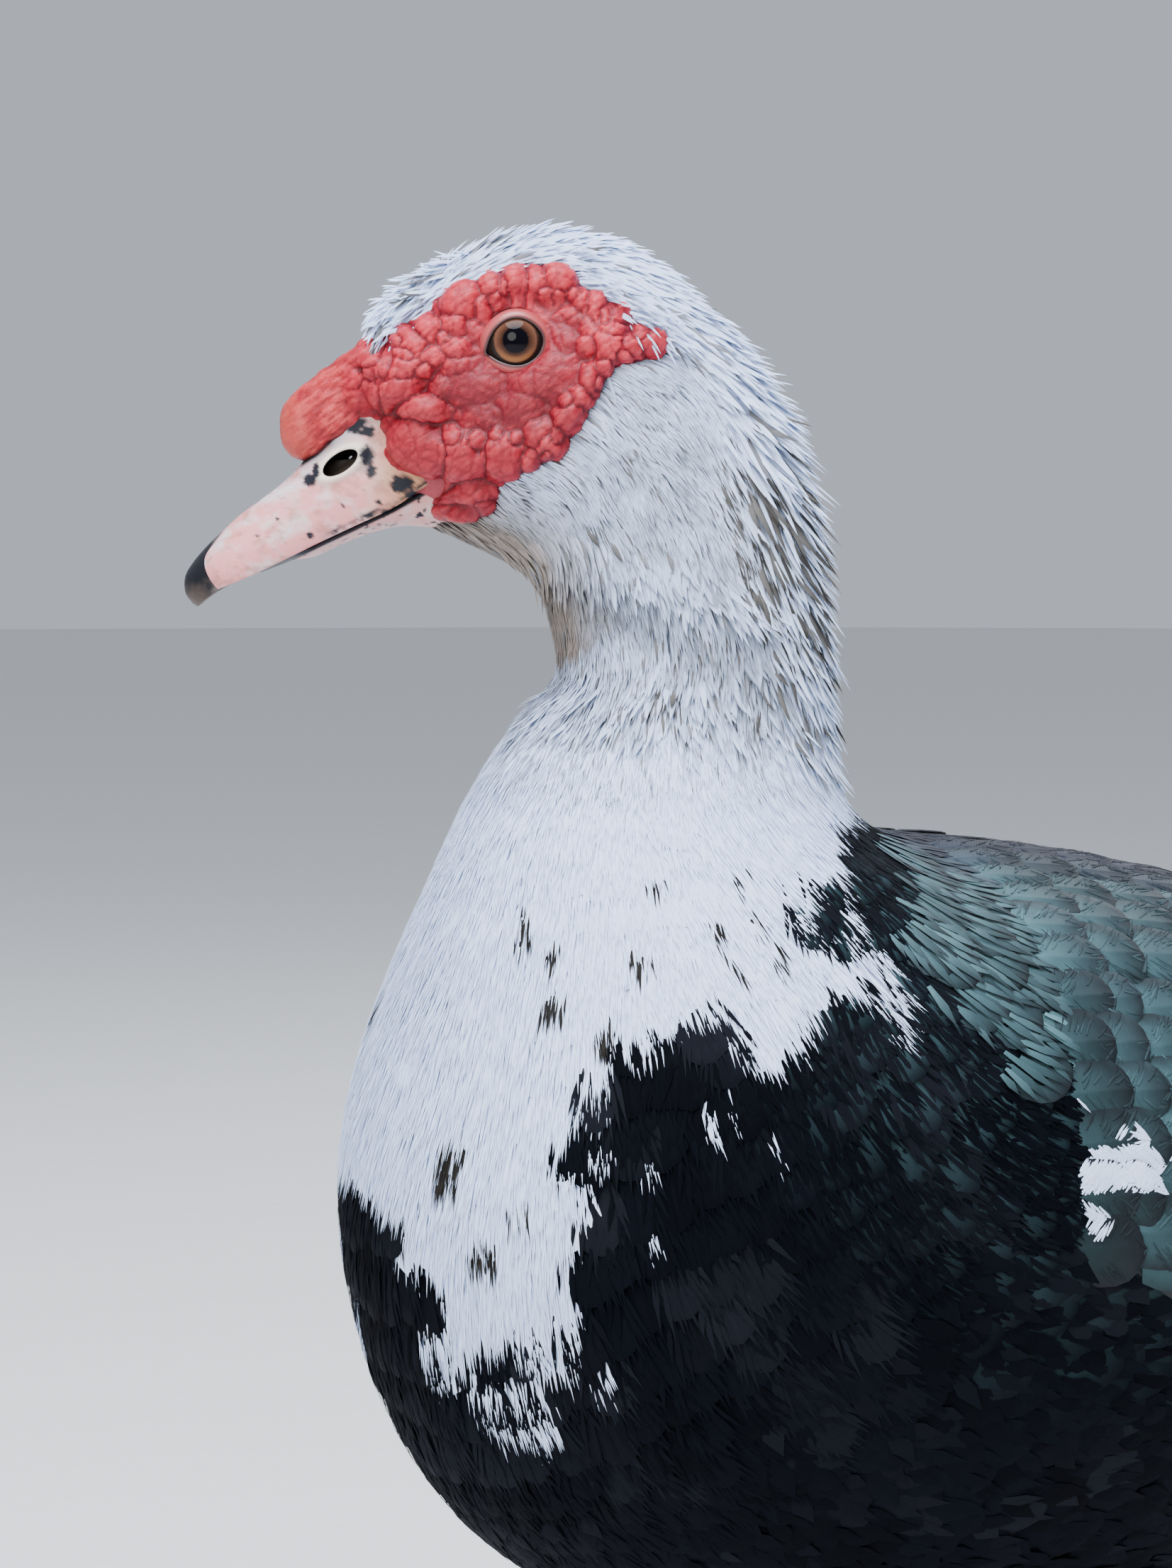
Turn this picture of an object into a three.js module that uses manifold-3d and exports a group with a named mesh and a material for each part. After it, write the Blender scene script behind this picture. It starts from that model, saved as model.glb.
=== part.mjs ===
// A muscovy drake, life size and standing, as a still museum model.
// Millimetres, +Z up. The bird faces -X, its left side is -Y, and its soles rest on Z = 0.

import * as THREE from 'three';
import { mergeVertices } from 'three/addons/utils/BufferGeometryUtils.js';
import Module from 'manifold-3d';

// Driving dimensions

const JOIN_GAP = 0.3;            // air between two parts that touch
const HEAD_TURN = -28;           // degrees that the head looks to the bird's right
const BODY_SIDES = 24;           // points round the body's outline
const EYE = { x: -45.2, z: 422, radius: 8.8, stand: 4.2 };
const NOSTRIL = { x: -90.9, z: 389.9, long: 10, high: 5.2, tilt: 30 };
const ANKLE = { x: 106, y: 50, z: 66 };
const FOOT = { x: 86, y: 54, turn: 9, web: 2.4 };
const TAIL = { x: 300, z: 193, length: 160, slope: -7 };

// The bird from the bill's root to the tail's root, one row for each section:
// back x, back z, underside x, underside z, half width, share of the head's turn.
const BODY_LINE = [
  [-86.0, 421.0, -70.0, 375.0, 15.0, 1.00],
  [-80.0, 432.0, -66.0, 373.5, 19.0, 1.00],
  [-62.0, 444.0, -60.9, 371.5, 23.0, 1.00],
  [-43.0, 450.5, -54.5, 368.5, 26.0, 1.00],
  [-29.6, 450.0, -47.6, 365.0, 28.5, 1.00],
  [-17.6, 446.0, -43.0, 362.0, 30.0, 1.00],
  [-6.0, 438.5, -40.0, 359.0, 31.0, 1.00],
  [5.5, 427.0, -38.2, 354.5, 31.5, 1.00],
  [16.0, 412.0, -37.0, 350.0, 32.0, 1.00],
  [24.5, 392.0, -35.6, 345.0, 32.3, 0.97],
  [30.0, 370.0, -34.8, 339.0, 33.0, 0.88],
  [33.5, 347.0, -36.0, 333.5, 34.5, 0.76],
  [35.5, 328.0, -43.0, 327.0, 38.0, 0.62],
  [36.5, 314.0, -52.0, 315.0, 44.0, 0.46],
  [38.0, 305.0, -61.0, 299.0, 53.0, 0.31],
  [41.0, 299.0, -70.0, 279.0, 65.0, 0.18],
  [46.0, 295.5, -79.0, 256.0, 78.0, 0.08],
  [53.5, 293.0, -87.0, 230.0, 90.0, 0.02],
  [63.0, 291.5, -92.5, 203.0, 98.0, 0.00],
  [76.0, 290.0, -92.0, 175.0, 103.0, 0.00],
  [93.0, 287.0, -84.0, 144.0, 106.0, 0.00],
  [114.0, 282.5, -66.0, 114.0, 107.0, 0.00],
  [137.0, 277.0, -35.0, 91.0, 107.0, 0.00],
  [163.0, 269.5, 12.0, 77.0, 105.0, 0.00],
  [191.0, 260.0, 68.0, 74.0, 100.0, 0.00],
  [219.0, 249.0, 126.0, 83.0, 91.0, 0.00],
  [246.0, 237.5, 180.0, 103.0, 78.0, 0.00],
  [270.0, 226.5, 225.0, 131.0, 61.0, 0.00],
  [288.0, 217.5, 259.0, 159.0, 44.0, 0.00],
  [301.0, 211.0, 281.0, 180.0, 30.0, 0.00],
];

// Where the body is parted, counted in rows of the outline
const HEAD_END = 8;
const NECK_MIDDLE = 12;
const NECK_END = 15;
const BREAST_END = 20;
const BELLY_END = 25;
const RUMP_END = BODY_LINE.length - 1;

// Solids

const wasm = await Module();
wasm.setup();

const vector = (x, y, z) => new THREE.Vector3(x, y, z);
const radians = THREE.MathUtils.degToRad;
const lerp = THREE.MathUtils.lerp;

function solid(geometry) {
  const bare = geometry.clone();
  bare.deleteAttribute('normal');
  bare.deleteAttribute('uv');
  const merged = mergeVertices(bare, 1e-4);
  return new wasm.Manifold(new wasm.Mesh({
    numProp: 3,
    vertProperties: Float32Array.from(merged.attributes.position.array),
    triVerts: Uint32Array.from(merged.index.array),
  }));
}

function largest(body) {
  const pieces = body.decompose();
  return pieces.reduce((best, piece) => (piece.volume() > best.volume() ? piece : best));
}

function geometryOf(body) {
  const mesh = largest(body).getMesh();
  const geometry = new THREE.BufferGeometry();
  geometry.setAttribute('position', new THREE.BufferAttribute(mesh.vertProperties.slice(), 3));
  geometry.setIndex(new THREE.BufferAttribute(mesh.triVerts.slice(), 1));
  geometry.computeVertexNormals();
  return geometry;
}

const union = (bodies) => bodies.reduce((whole, body) => whole.add(body));

// A closed geometry from points and triangles, turned so that its faces point out.
function closed(points, index) {
  const edge = [vector(), vector(), vector()];
  let volume = 0;
  for (let i = 0; i < index.length; i += 3) {
    for (let k = 0; k < 3; k++) edge[k].copy(points[index[i + k]]);
    volume += edge[0].dot(edge[1].cross(edge[2]));
  }
  const geometry = new THREE.BufferGeometry().setFromPoints(points);
  geometry.setIndex(volume < 0 ? index.slice().reverse() : index);
  return geometry;
}

// A skin through rings of points, all of one count, with a fan over each end to its middle or tip.
function loft(rings, tip = null) {
  const sides = rings[0].length;
  const points = rings.flat();
  const index = [];
  for (let j = 0; j + 1 < rings.length; j++) {
    for (let i = 0; i < sides; i++) {
      const a = j * sides + i;
      const b = j * sides + ((i + 1) % sides);
      index.push(a, b, b + sides, a, b + sides, a + sides);
    }
  }
  for (const [ring, first] of [[rings[0], 0], [rings.at(-1), (rings.length - 1) * sides]]) {
    const middle = ring.reduce((sum, point) => sum.add(point), vector(0, 0, 0));
    points.push(tip && first > 0 ? tip : middle.divideScalar(sides));
    for (let i = 0; i < sides; i++) {
      const pair = [first + i, first + ((i + 1) % sides)];
      if (first === 0) pair.reverse();
      index.push(points.length - 1, ...pair);
    }
  }
  return closed(points, index);
}

// A closed thin piece from a grid, with its two faces split alike.
// place(u, v, side) gives a point of the outer face (side 1) or the inner one (side -1).
function sheet(across, along, place) {
  const columns = across + 1;
  const face = columns * (along + 1);
  const points = [];
  const index = [];
  for (const side of [1, -1]) {
    for (let j = 0; j <= along; j++) {
      for (let i = 0; i <= across; i++) points.push(place(i / across, j / along, side));
    }
  }
  for (let j = 0; j < along; j++) {
    for (let i = 0; i < across; i++) {
      const a = j * columns + i;
      const d = a + columns + 1;
      index.push(a, a + 1, d, a, d, d - 1);
      index.push(face + a, face + d, face + a + 1, face + a, face + d - 1, face + d);
    }
  }
  const rim = [];
  for (let i = 0; i < across; i++) rim.push(i);
  for (let j = 0; j < along; j++) rim.push(j * columns + across);
  for (let i = across; i > 0; i--) rim.push(along * columns + i);
  for (let j = along; j > 0; j--) rim.push(j * columns);
  rim.forEach((p, k) => {
    const q = rim[(k + 1) % rim.length];
    index.push(p, face + p, face + q, p, face + q, q);
  });
  return closed(points, index);
}

function bulb(x, y, z, rx, ry, rz, turn = [0, 0, 0], detail = 1) {
  const ball = new THREE.IcosahedronGeometry(1, detail);
  ball.scale(rx, ry, rz);
  ball.rotateX(radians(turn[0]));
  ball.rotateY(radians(turn[1]));
  ball.rotateZ(radians(turn[2]));
  ball.translate(x, y, z);
  return ball;
}

const duck = new THREE.Group();
const headGroup = new THREE.Group();
headGroup.rotation.z = radians(HEAD_TURN);
duck.add(headGroup);

function addPart(group, name, geometry, color, roughness = 0.8, metalness = 0) {
  const material = new THREE.MeshStandardMaterial({ color, roughness, metalness });
  const mesh = new THREE.Mesh(geometry, material);
  mesh.name = name;
  group.add(mesh);
  return mesh;
}

const COLORS = {
  white: '#dde3ee', black: '#15181f', green: '#34514d', red: '#d0545c', knob: '#c8483f',
  bill: '#e2bdb5', nail: '#3b3e45', iris: '#8c7260', leg: '#5b5a55', web: '#6a675e', claw: '#2c2b2b',
};

// The body's outline, from head to tail

// The row at s, read off a smooth curve through the table's rows.
function sectionAt(s) {
  const i = Math.min(Math.floor(s), BODY_LINE.length - 2);
  const t = s - i;
  const row = (k) => BODY_LINE[THREE.MathUtils.clamp(i + k, 0, BODY_LINE.length - 1)];
  return row(0).map((value, k) => {
    const before = (row(1)[k] - row(-1)[k]) / 2;
    const after = (row(2)[k] - value) / 2;
    const gain = row(1)[k] - value;
    return value + before * t + (3 * gain - 2 * before - after) * t ** 2
      + (before + after - 2 * gain) * t ** 3;
  });
}

// A point of the section at s; angle 0 is the back and 180 the underside, left is negative.
function bodyPoint(s, angle, grow = 0, shift = 0) {
  const [backX, backZ, underX, underZ, half, share] = sectionAt(s);
  const back = vector(backX, 0, backZ);
  const under = vector(underX, 0, underZ);
  const spine = back.clone().sub(under);
  const reach = spine.length() / 2 + grow;
  const up = spine.normalize();
  const middle = back.add(under).multiplyScalar(0.5);
  const onward = vector(up.z, 0, -up.x);
  const bearing = radians(angle);
  return middle
    .addScaledVector(up, reach * Math.cos(bearing))
    .addScaledVector(onward, shift)
    .add(vector(0, (half + grow) * Math.sin(bearing), 0))
    .applyAxisAngle(vector(0, 0, 1), radians(HEAD_TURN * share));
}

function bodyRing(s, grow = 0, shift = 0) {
  return Array.from({ length: BODY_SIDES }, (_, i) => bodyPoint(s, (360 * i) / BODY_SIDES, grow, shift));
}

// The length of body from row first to row last, its ends drawn in by half a gap.
function bodyLength(first, last, grow = 0, ends = -JOIN_GAP / 2) {
  const rings = [bodyRing(first, grow, -ends)];
  for (let s = first + 1; s < last; s++) rings.push(bodyRing(s, grow));
  rings.push(bodyRing(last, grow, ends));
  return loft(rings);
}

const grownBody = solid(bodyLength(0, RUMP_END, JOIN_GAP, JOIN_GAP));
const unturn = (body) => body.rotate([0, 0, -HEAD_TURN]);
const grownHead = unturn(grownBody);

// Bill, in the head's own plane

// Rows from root to tip: ridge x, ridge z, lip x, lip z, half width.
const BILL_LINE = [
  [-83.0, 414.0, -68.0, 385.5, 14.5],
  [-91.0, 405.0, -77.0, 379.5, 15.0],
  [-98.5, 394.5, -87.0, 374.8, 14.5],
  [-105.0, 387.0, -96.0, 370.6, 13.5],
  [-111.5, 381.8, -104.5, 366.4, 13.0],
  [-118.0, 377.0, -112.0, 362.8, 13.2],
  [-123.5, 371.6, -119.0, 359.8, 12.8],
];

const NAIL_LINE = [
  [-123.8, 371.2, -119.4, 359.6, 12.6],
  [-128.6, 366.2, -124.8, 357.2, 11.0],
  [-131.6, 361.0, -128.6, 354.4, 7.0],
];

const LOWER_LINE = [
  [-68.5, 383.5, -67.0, 373.4, 12.5],
  [-77.0, 378.6, -76.0, 373.6, 12.8],
  [-87.0, 373.9, -86.0, 371.0, 12.4],
  [-96.0, 369.7, -95.4, 366.9, 11.8],
  [-104.5, 365.5, -104.0, 363.0, 11.2],
  [-112.5, 361.7, -112.0, 359.9, 9.2],
];

// A mandible's section: a dome over a flat lip, or a flat top over a shallow keel.
function mandible(rows, domed, sides = 14) {
  const rings = rows.map(([topX, topZ, lowX, lowZ, half], row) => Array.from({ length: sides }, (_, i) => {
    const bearing = (2 * Math.PI * i) / sides;
    const rise = Math.cos(bearing);
    const share = domed ? (rise > -0.3 ? (rise + 0.3) / 1.3 : 0) : (rise < 0.3 ? (rise + 1) / 1.3 : 1);
    return vector(lerp(lowX, topX, share), half * Math.sin(bearing), lerp(lowZ, topZ, share));
  }));
  return solid(loft(rings));
}

const nostrilBore = (() => {
  const bore = new THREE.CylinderGeometry(1, 1, 60, 12);
  bore.scale(NOSTRIL.long / 2, 1, NOSTRIL.high / 2);
  bore.rotateY(radians(NOSTRIL.tilt));
  bore.translate(NOSTRIL.x, 0, NOSTRIL.z);
  return solid(bore);
})();

const upperSolid = mandible(BILL_LINE, true).subtract(grownHead).subtract(nostrilBore);
addPart(headGroup, 'bill_upper', geometryOf(upperSolid), COLORS.bill, 0.45);
addPart(headGroup, 'bill_nail', geometryOf(mandible(NAIL_LINE, true)), COLORS.nail, 0.4);
addPart(headGroup, 'bill_lower', geometryOf(mandible(LOWER_LINE, false).subtract(grownHead)), COLORS.bill, 0.5);

// Knob, face skin and eyes

const grownLower = mandible(
  LOWER_LINE.map(([a, b, c, d, e]) => [a, b + JOIN_GAP, c, d - JOIN_GAP, e + JOIN_GAP]),
  false,
);
const grownBill = mandible(BILL_LINE.map(([a, b, c, d, e]) => [a, b + JOIN_GAP, c, d, e + JOIN_GAP]), true);

// Bulbs of the knob: x, y, z of the middle and the three half sizes.
const KNOB_BULBS = [
  [-98.0, 0.0, 400.6, 9.2, 8.8, 9.8],
  [-92.0, 4.6, 402.5, 7.4, 5.8, 7.6],
  [-92.0, -4.6, 402.5, 7.4, 5.8, 7.6],
  [-87.5, 0.0, 410.0, 7.8, 8.6, 7.4],
];
const knobWhole = (grow) => union(KNOB_BULBS.map(([x, y, z, rx, ry, rz], k) => solid(
  bulb(x, y, z, rx + grow, ry + grow, rz + grow, [11 * k, 7 * k, 0]),
)));
addPart(
  headGroup,
  'knob',
  geometryOf(knobWhole(0).subtract(grownHead).subtract(grownBill)),
  COLORS.knob,
  0.5,
);

const faceGround = [bodyLength(0, HEAD_END)].map((geometry) => new THREE.Mesh(
  geometry.applyMatrix4(new THREE.Matrix4().makeRotationZ(radians(-HEAD_TURN))),
  new THREE.MeshBasicMaterial({ side: THREE.DoubleSide }),
));
faceGround.push(new THREE.Mesh(geometryOf(grownBill), faceGround[0].material));

// The place and outward direction of the head's skin at x, z, on the side given.
function cheek(x, z, side) {
  const caster = new THREE.Raycaster(vector(x, side * 200, z), vector(0, -side, 0));
  const [hit] = caster.intersectObjects(faceGround);
  if (!hit) return null;
  const out = hit.face.normal.clone();
  if (out.y * side < 0) out.negate();
  return { point: hit.point, out };
}

const eyeSeat = cheek(EYE.x, EYE.z, 1).point.y + EYE.stand - EYE.radius;
const eyeBall = (side, grow = 0) => {
  const ball = new THREE.SphereGeometry(EYE.radius + grow, 12, 6);
  ball.rotateX((side * Math.PI) / 2);
  return ball.translate(EYE.x, side * eyeSeat, EYE.z);
};

const headSocketed = [1, -1].reduce(
  (head, side) => head.subtract(solid(eyeBall(side, JOIN_GAP))),
  unturn(solid(bodyLength(0, HEAD_END))),
);
addPart(headGroup, 'head', geometryOf(headSocketed), COLORS.white, 0.9);
addPart(headGroup, 'eye_left', eyeBall(-1), COLORS.iris, 0.15);
addPart(headGroup, 'eye_right', eyeBall(1), COLORS.iris, 0.15);

// Outline of a cheek's bare skin, from the knob over the brow to the rear tip and back under: x, z.
const FACE_EDGE = [
  [-86, 413], [-77, 421], [-67, 427], [-58, 434], [-46, 437.5], [-34, 436.5], [-22, 429], [-10, 421],
  [-20, 415], [-28, 405], [-34, 395], [-45, 388.5], [-55, 383], [-66, 378.5], [-70, 388], [-80, 399],
];
const FACE_MIDDLE = [-54, 408];
const CARUNCLE_RINGS = [
  { share: 0.9, count: 13, radius: 7.2, rise: 5.0 },
  { share: 0.48, count: 5, radius: 7.8, rise: 4.4 },
];

const BULB_FOOT = 0.8;

// Rings of the bare skin that carries the bulbs: share of the outline, height over the head.
const SKIN_RINGS = [[1, -2.5], [1, 1.2], [0.6, 2.2]];
const SKIN_SIDES = 14;

// The ring of the lids round the eyeball: its size, stretch and place along the ball's radius.
const LIDS = { radius: 7.2, thick: 1.8, long: 1.06, high: 0.92, out: 0.68 };

// Rows of a caruncle's bulb from its foot to its shoulder: share of the radius, share of the rise.
const BULB_ROWS = [[1, 0], [0.8, 0.7]];

function lobe(x, z, side, radius, rise) {
  const ground = cheek(x, z, side);
  if (!ground) return null;
  const sides = 6;
  const turn = new THREE.Quaternion().setFromUnitVectors(vector(0, 1, 0), ground.out);
  const place = (share, high, i) => {
    const bearing = (2 * Math.PI * i) / sides;
    const wide = radius * share;
    const point = vector(wide * Math.cos(bearing), lerp(BULB_FOOT, rise, high), 0.86 * wide * Math.sin(bearing));
    return point.applyQuaternion(turn).add(ground.point);
  };
  const rings = BULB_ROWS.map(([share, high]) => Array.from({ length: sides }, (_, i) => place(share, high, i)));
  return solid(loft(rings, place(0, 1, 0)));
}

// A point over the cheek at a share of the way from its middle to its outline.
function facePoint(edgePoint, share, height, side) {
  for (let pull = 1; pull > 0; pull -= 0.02) {
    const x = lerp(FACE_MIDDLE[0], edgePoint.x, share * pull);
    const z = lerp(FACE_MIDDLE[1], edgePoint.z, share * pull);
    const ground = cheek(x, z, side);
    if (ground) return ground.point.clone().addScaledVector(ground.out, height);
  }
  return null;
}

// A cheek's bare skin: a thin bed, rings of bulbs from its outline inwards, and the ring of the lids.
function faceSkin(side) {
  const edge = new THREE.CatmullRomCurve3(FACE_EDGE.map(([x, z]) => vector(x, 0, z)), true);
  const rim = edge.getSpacedPoints(SKIN_SIDES).slice(1);
  const skinRings = SKIN_RINGS.map(([share, high]) => rim.map((place) => facePoint(place, share, high, side)));
  const bulbs = [solid(loft(skinRings, facePoint(rim[0], 0, SKIN_RINGS.at(-1)[1], side)))];
  for (const { share, count, radius, rise } of CARUNCLE_RINGS) {
    for (let i = 0; i < count; i++) {
      const { x: edgeX, z: edgeZ } = edge.getPointAt((i + share) % count / count);
      const x = lerp(FACE_MIDDLE[0], edgeX, share);
      const z = lerp(FACE_MIDDLE[1], edgeZ, share);
      const swell = 1 + 0.16 * Math.sin(2.4 * i + 5 * share);
      if (Math.hypot(x - EYE.x, z - EYE.z) < EYE.radius) continue;
      const ball = lobe(x, z, side, radius * swell, rise * swell);
      if (ball) bulbs.push(ball);
    }
  }
  const lids = new THREE.TorusGeometry(LIDS.radius, LIDS.thick, 5, 10);
  lids.scale(LIDS.long, LIDS.high, 1);
  lids.rotateX(Math.PI / 2);
  lids.translate(EYE.x, side * (eyeSeat + EYE.radius * LIDS.out), EYE.z);
  bulbs.push(solid(lids));
  const cutters = [grownHead, grownBill, grownLower, solid(eyeBall(side, JOIN_GAP)), knobWhole(JOIN_GAP)];
  return cutters.reduce((skin, cutter) => skin.subtract(cutter), union(bulbs));
}

addPart(headGroup, 'face_left', geometryOf(faceSkin(-1)), COLORS.red, 0.55);
addPart(headGroup, 'face_right', geometryOf(faceSkin(1)), COLORS.red, 0.55);

// Neck and trunk

addPart(duck, 'neck_upper', bodyLength(HEAD_END, NECK_MIDDLE), COLORS.white, 0.9);
addPart(duck, 'neck_lower', bodyLength(NECK_MIDDLE, NECK_END), COLORS.white, 0.9);
addPart(duck, 'breast', bodyLength(NECK_END, BREAST_END), COLORS.black, 0.85);
addPart(duck, 'belly', bodyLength(BREAST_END, BELLY_END), COLORS.black, 0.85);
addPart(duck, 'rump', bodyLength(BELLY_END, RUMP_END), COLORS.black, 0.85);

// Crest and nape: tapered locks on a thin bed down the back of head and neck

// The row reached from s after a length over the skin at an angle.
function onward(s, angle, length) {
  const step = 2;
  let place = s;
  for (let gone = 0; gone < length; gone += step) {
    const pace = bodyPoint(place + 0.02, angle).distanceTo(bodyPoint(place, angle)) / 0.02;
    place = Math.min(place + Math.min(step, length - gone) / pace, RUMP_END - 0.1);
  }
  return place;
}

const BED_RISE = 1.2;

// Each row: share of the length, share of the width, height over the skin, thickness.
const LOCK_SHAPE = [[0, 0.6, 0.6, 0.5], [0.4, 1, 1.7, 1.8], [0.76, 0.72, 2.5, 1.5], [1, 0.1, 3.1, 0.5]];

function lock(s, angle, length, width, lift, drift) {
  const rows = LOCK_SHAPE.map(([share, wide, height, thick]) => {
    const at = onward(s, angle, length * share);
    const girth = sectionAt(at)[4];
    const heading = angle + (drift * share * 180) / Math.PI / girth;
    const half = (wide * width * 90) / Math.PI / girth;
    const low = height * (1 + lift * share);
    return [
      bodyPoint(at, heading - half, low),
      bodyPoint(at, heading, low + thick),
      bodyPoint(at, heading + half, low),
    ];
  });
  return solid(loft(rows));
}

// A thin bed over the rows and angles of the body's own outline, so that it lies evenly on it.
function bed(first, last, spread) {
  const pitch = 360 / BODY_SIDES;
  const columns = (2 * spread) / pitch;
  return solid(sheet(columns, last - first, (u, v, side) => bodyPoint(
    lerp(first, last, v),
    lerp(-spread, spread, u),
    side < 0 ? JOIN_GAP : BED_RISE,
    v === 0 ? JOIN_GAP / 2 : v === 1 ? -JOIN_GAP / 2 : 0,
  )));
}

// Rows of locks: first row, angle reached to each side, count, length, width, lift.
const CROWN_ROWS = [
  [1.05, 24, 4, 20, 8.6, 0.9],
  [2.1, 30, 3, 24, 10.4, 0.3],
  [3.6, 30, 4, 26, 9.6, 0.3],
  [5.2, 30, 4, 34, 9.6, 0.4],
];
const NAPE_ROWS = [
  [8.1, 44, 5, 32, 9.4, 0.7],
  [9.0, 50, 5, 34, 10.4, 0.8],
  [9.9, 52, 4, 32, 11.0, 0.8],
  [10.8, 52, 5, 27, 11.0, 0.6],
];

function locks(rows) {
  return rows.flatMap(([s, spread, count, length, width, lift], row) => Array.from({ length: count }, (_, i) => {
    const vary = Math.sin(3.1 * i + 1.7 * row);
    return lock(
      s + 0.12 * vary,
      lerp(-spread, spread, (i + 0.5) / count),
      length * (1 + 0.12 * vary),
      width,
      lift * (1 + 0.5 * Math.cos(2.3 * i + row)),
      1.5 * vary,
    );
  }));
}

// The beds' first and last rows and the angle that they reach on each side
const CROWN_BED = [1, HEAD_END, 30];
const NAPE_BED = [HEAD_END, NECK_END - 2, 60];

const crown = union([bed(...CROWN_BED), ...locks(CROWN_ROWS)]);
addPart(headGroup, 'crest_crown', geometryOf(unturn(crown)), COLORS.white, 0.9);
const nape = union([bed(...NAPE_BED), ...locks(NAPE_ROWS)]);
addPart(duck, 'crest_nape', geometryOf(nape), COLORS.white, 0.9);

// Wings, folded against the sides

const bodyMesh = new THREE.Mesh(
  bodyLength(NECK_END, RUMP_END),
  new THREE.MeshBasicMaterial({ side: THREE.DoubleSide }),
);

// Rows of the space that a folded wing needs past the flank: x, half width, half height, middle z.
const WING_SPACE = [
  [40, 60, 60, 200],
  [150, 90, 62, 196],
  [220, 88, 54, 197],
  [290, 66, 38, 203],
  [350, 44, 22, 205],
  [410, 28, 14, 206],
];

function wingSpace(x) {
  const found = WING_SPACE.findIndex((row) => row[0] >= x);
  const k = found < 0 ? WING_SPACE.length - 1 : Math.max(found, 1);
  const t = (x - WING_SPACE[k - 1][0]) / (WING_SPACE[k][0] - WING_SPACE[k - 1][0]);
  return WING_SPACE[k - 1].map((value, i) => lerp(value, WING_SPACE[k][i], t));
}

// A point over the bird's flank at x; angle 0 is level and 90 the back, side -1 the left.
function sidePoint(x, angle, height, side) {
  const [, half, high, middle] = wingSpace(x);
  const bearing = radians(angle);
  const out = vector(0, Math.cos(bearing), Math.sin(bearing));
  const origin = vector(x, 0, middle);
  const hits = new THREE.Raycaster(origin, out).intersectObject(bodyMesh);
  const flank = hits.length ? hits.at(-1).distance : 0;
  const wing = 1 / Math.hypot(out.y / half, out.z / high);
  const point = origin.addScaledVector(out, Math.max(flank, wing) + height);
  return point.multiply(vector(1, side, 1));
}

// Share of the width along a feather, root to tip: broad and round, or long and narrow.
const ROUND_VANE = [[0, 0.66], [0.58, 1], [1, 0.34]];
const LONG_VANE = [[0, 0.55], [0.4, 0.95], [0.85, 0.9], [1, 0.26]];
const VANE_THICK = 0.6;
const VANE_AIR = 0.4;
const VANE_ROOT = 0.85;
const FLANK_GIRTH = 95;

// Height of a vane at a share of its length: rooted low, lifted by its middle, then level to its tip.
function vaneHeight(share, knee, root, mid, tip) {
  return share < knee ? lerp(root, mid, share / knee) : lerp(mid, tip, (share - knee) / (1 - knee));
}

// A feather laid on the flank from its root: aim is the rise of its shaft in degrees.
function wingVane({ x, angle, aim, length, width, mid, tip, roll, shape }, side) {
  const slope = radians(aim);
  const knee = shape[1][0];
  return solid(sheet(2, shape.length - 1, (u, v, face) => {
    const [share, wide] = shape[Math.round(v * (shape.length - 1))];
    const along = length * share;
    const across = (u - 0.5) * width * wide;
    const turned = along * Math.sin(slope) + across * Math.cos(slope);
    const lean = ((roll * across) / width) * Math.min(1, share / knee);
    return sidePoint(
      x + along * Math.cos(slope) - across * Math.sin(slope),
      angle + (turned * 180) / Math.PI / FLANK_GIRTH,
      vaneHeight(share, knee, VANE_ROOT, mid, tip) + lean + (face * VANE_THICK) / 2,
      side,
    );
  }));
}

// Feather tracts of a wing. Each row runs from its first root to its last: x and angle.
const WING_TRACTS = [
  { name: 'primaries', count: 3, from: [192, 38], to: [172, 12], aim: [2, 8], length: [156, 214],
    width: [24, 18], mid: [4.0, 1.9], tip: [4.6, 1.0], roll: 0, shape: LONG_VANE },
  { name: 'secondaries', count: 4, from: [114, -8], to: [166, 23], aim: [7, 6], length: [104, 116],
    width: [24, 24], mid: [2.7, 3.4], tip: [3.8, 6.0], shape: LONG_VANE },
  { name: 'tertials', count: 3, from: [146, 33], to: [134, 60], aim: [4, -2], length: [132, 146],
    width: [30, 30], mid: [3.4, 3.4], tip: [7.6, 7.6], shape: LONG_VANE },
  { name: 'greater coverts', count: 4, from: [92, -8], to: [114, 30], aim: [4, 5], length: [56, 60],
    width: [27, 27], mid: [2.7, 2.7], tip: [4.6, 5.0], shape: ROUND_VANE },
  { name: 'median coverts', count: 3, from: [68, -3], to: [80, 29], aim: [2, 4], length: [48, 50],
    width: [32, 32], mid: [2.7, 2.7], tip: [4.5, 4.5], shape: ROUND_VANE },
  { name: 'lesser coverts', count: 3, from: [57, 6], to: [59, 31], aim: [0, 4], length: [34, 38],
    width: [27, 27], mid: [2.7, 2.7], tip: [4.4, 4.4], shape: ROUND_VANE },
  { name: 'rear scapulars', count: 3, from: [118, 46], to: [116, 74], aim: [1, -3], length: [78, 80],
    width: [31, 31], mid: [2.8, 2.8], tip: [6.0, 6.0], shape: ROUND_VANE },
  { name: 'middle scapulars', count: 3, from: [84, 46], to: [82, 74], aim: [1, -2], length: [58, 60],
    width: [31, 30], mid: [2.8, 2.8], tip: [4.8, 4.8], shape: ROUND_VANE },
  { name: 'front scapulars', count: 3, from: [59, 46], to: [59, 70], aim: [1, -1], length: [48, 48],
    width: [30, 27], mid: [2.8, 2.8], tip: [4.6, 4.6], shape: ROUND_VANE },
];

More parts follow.
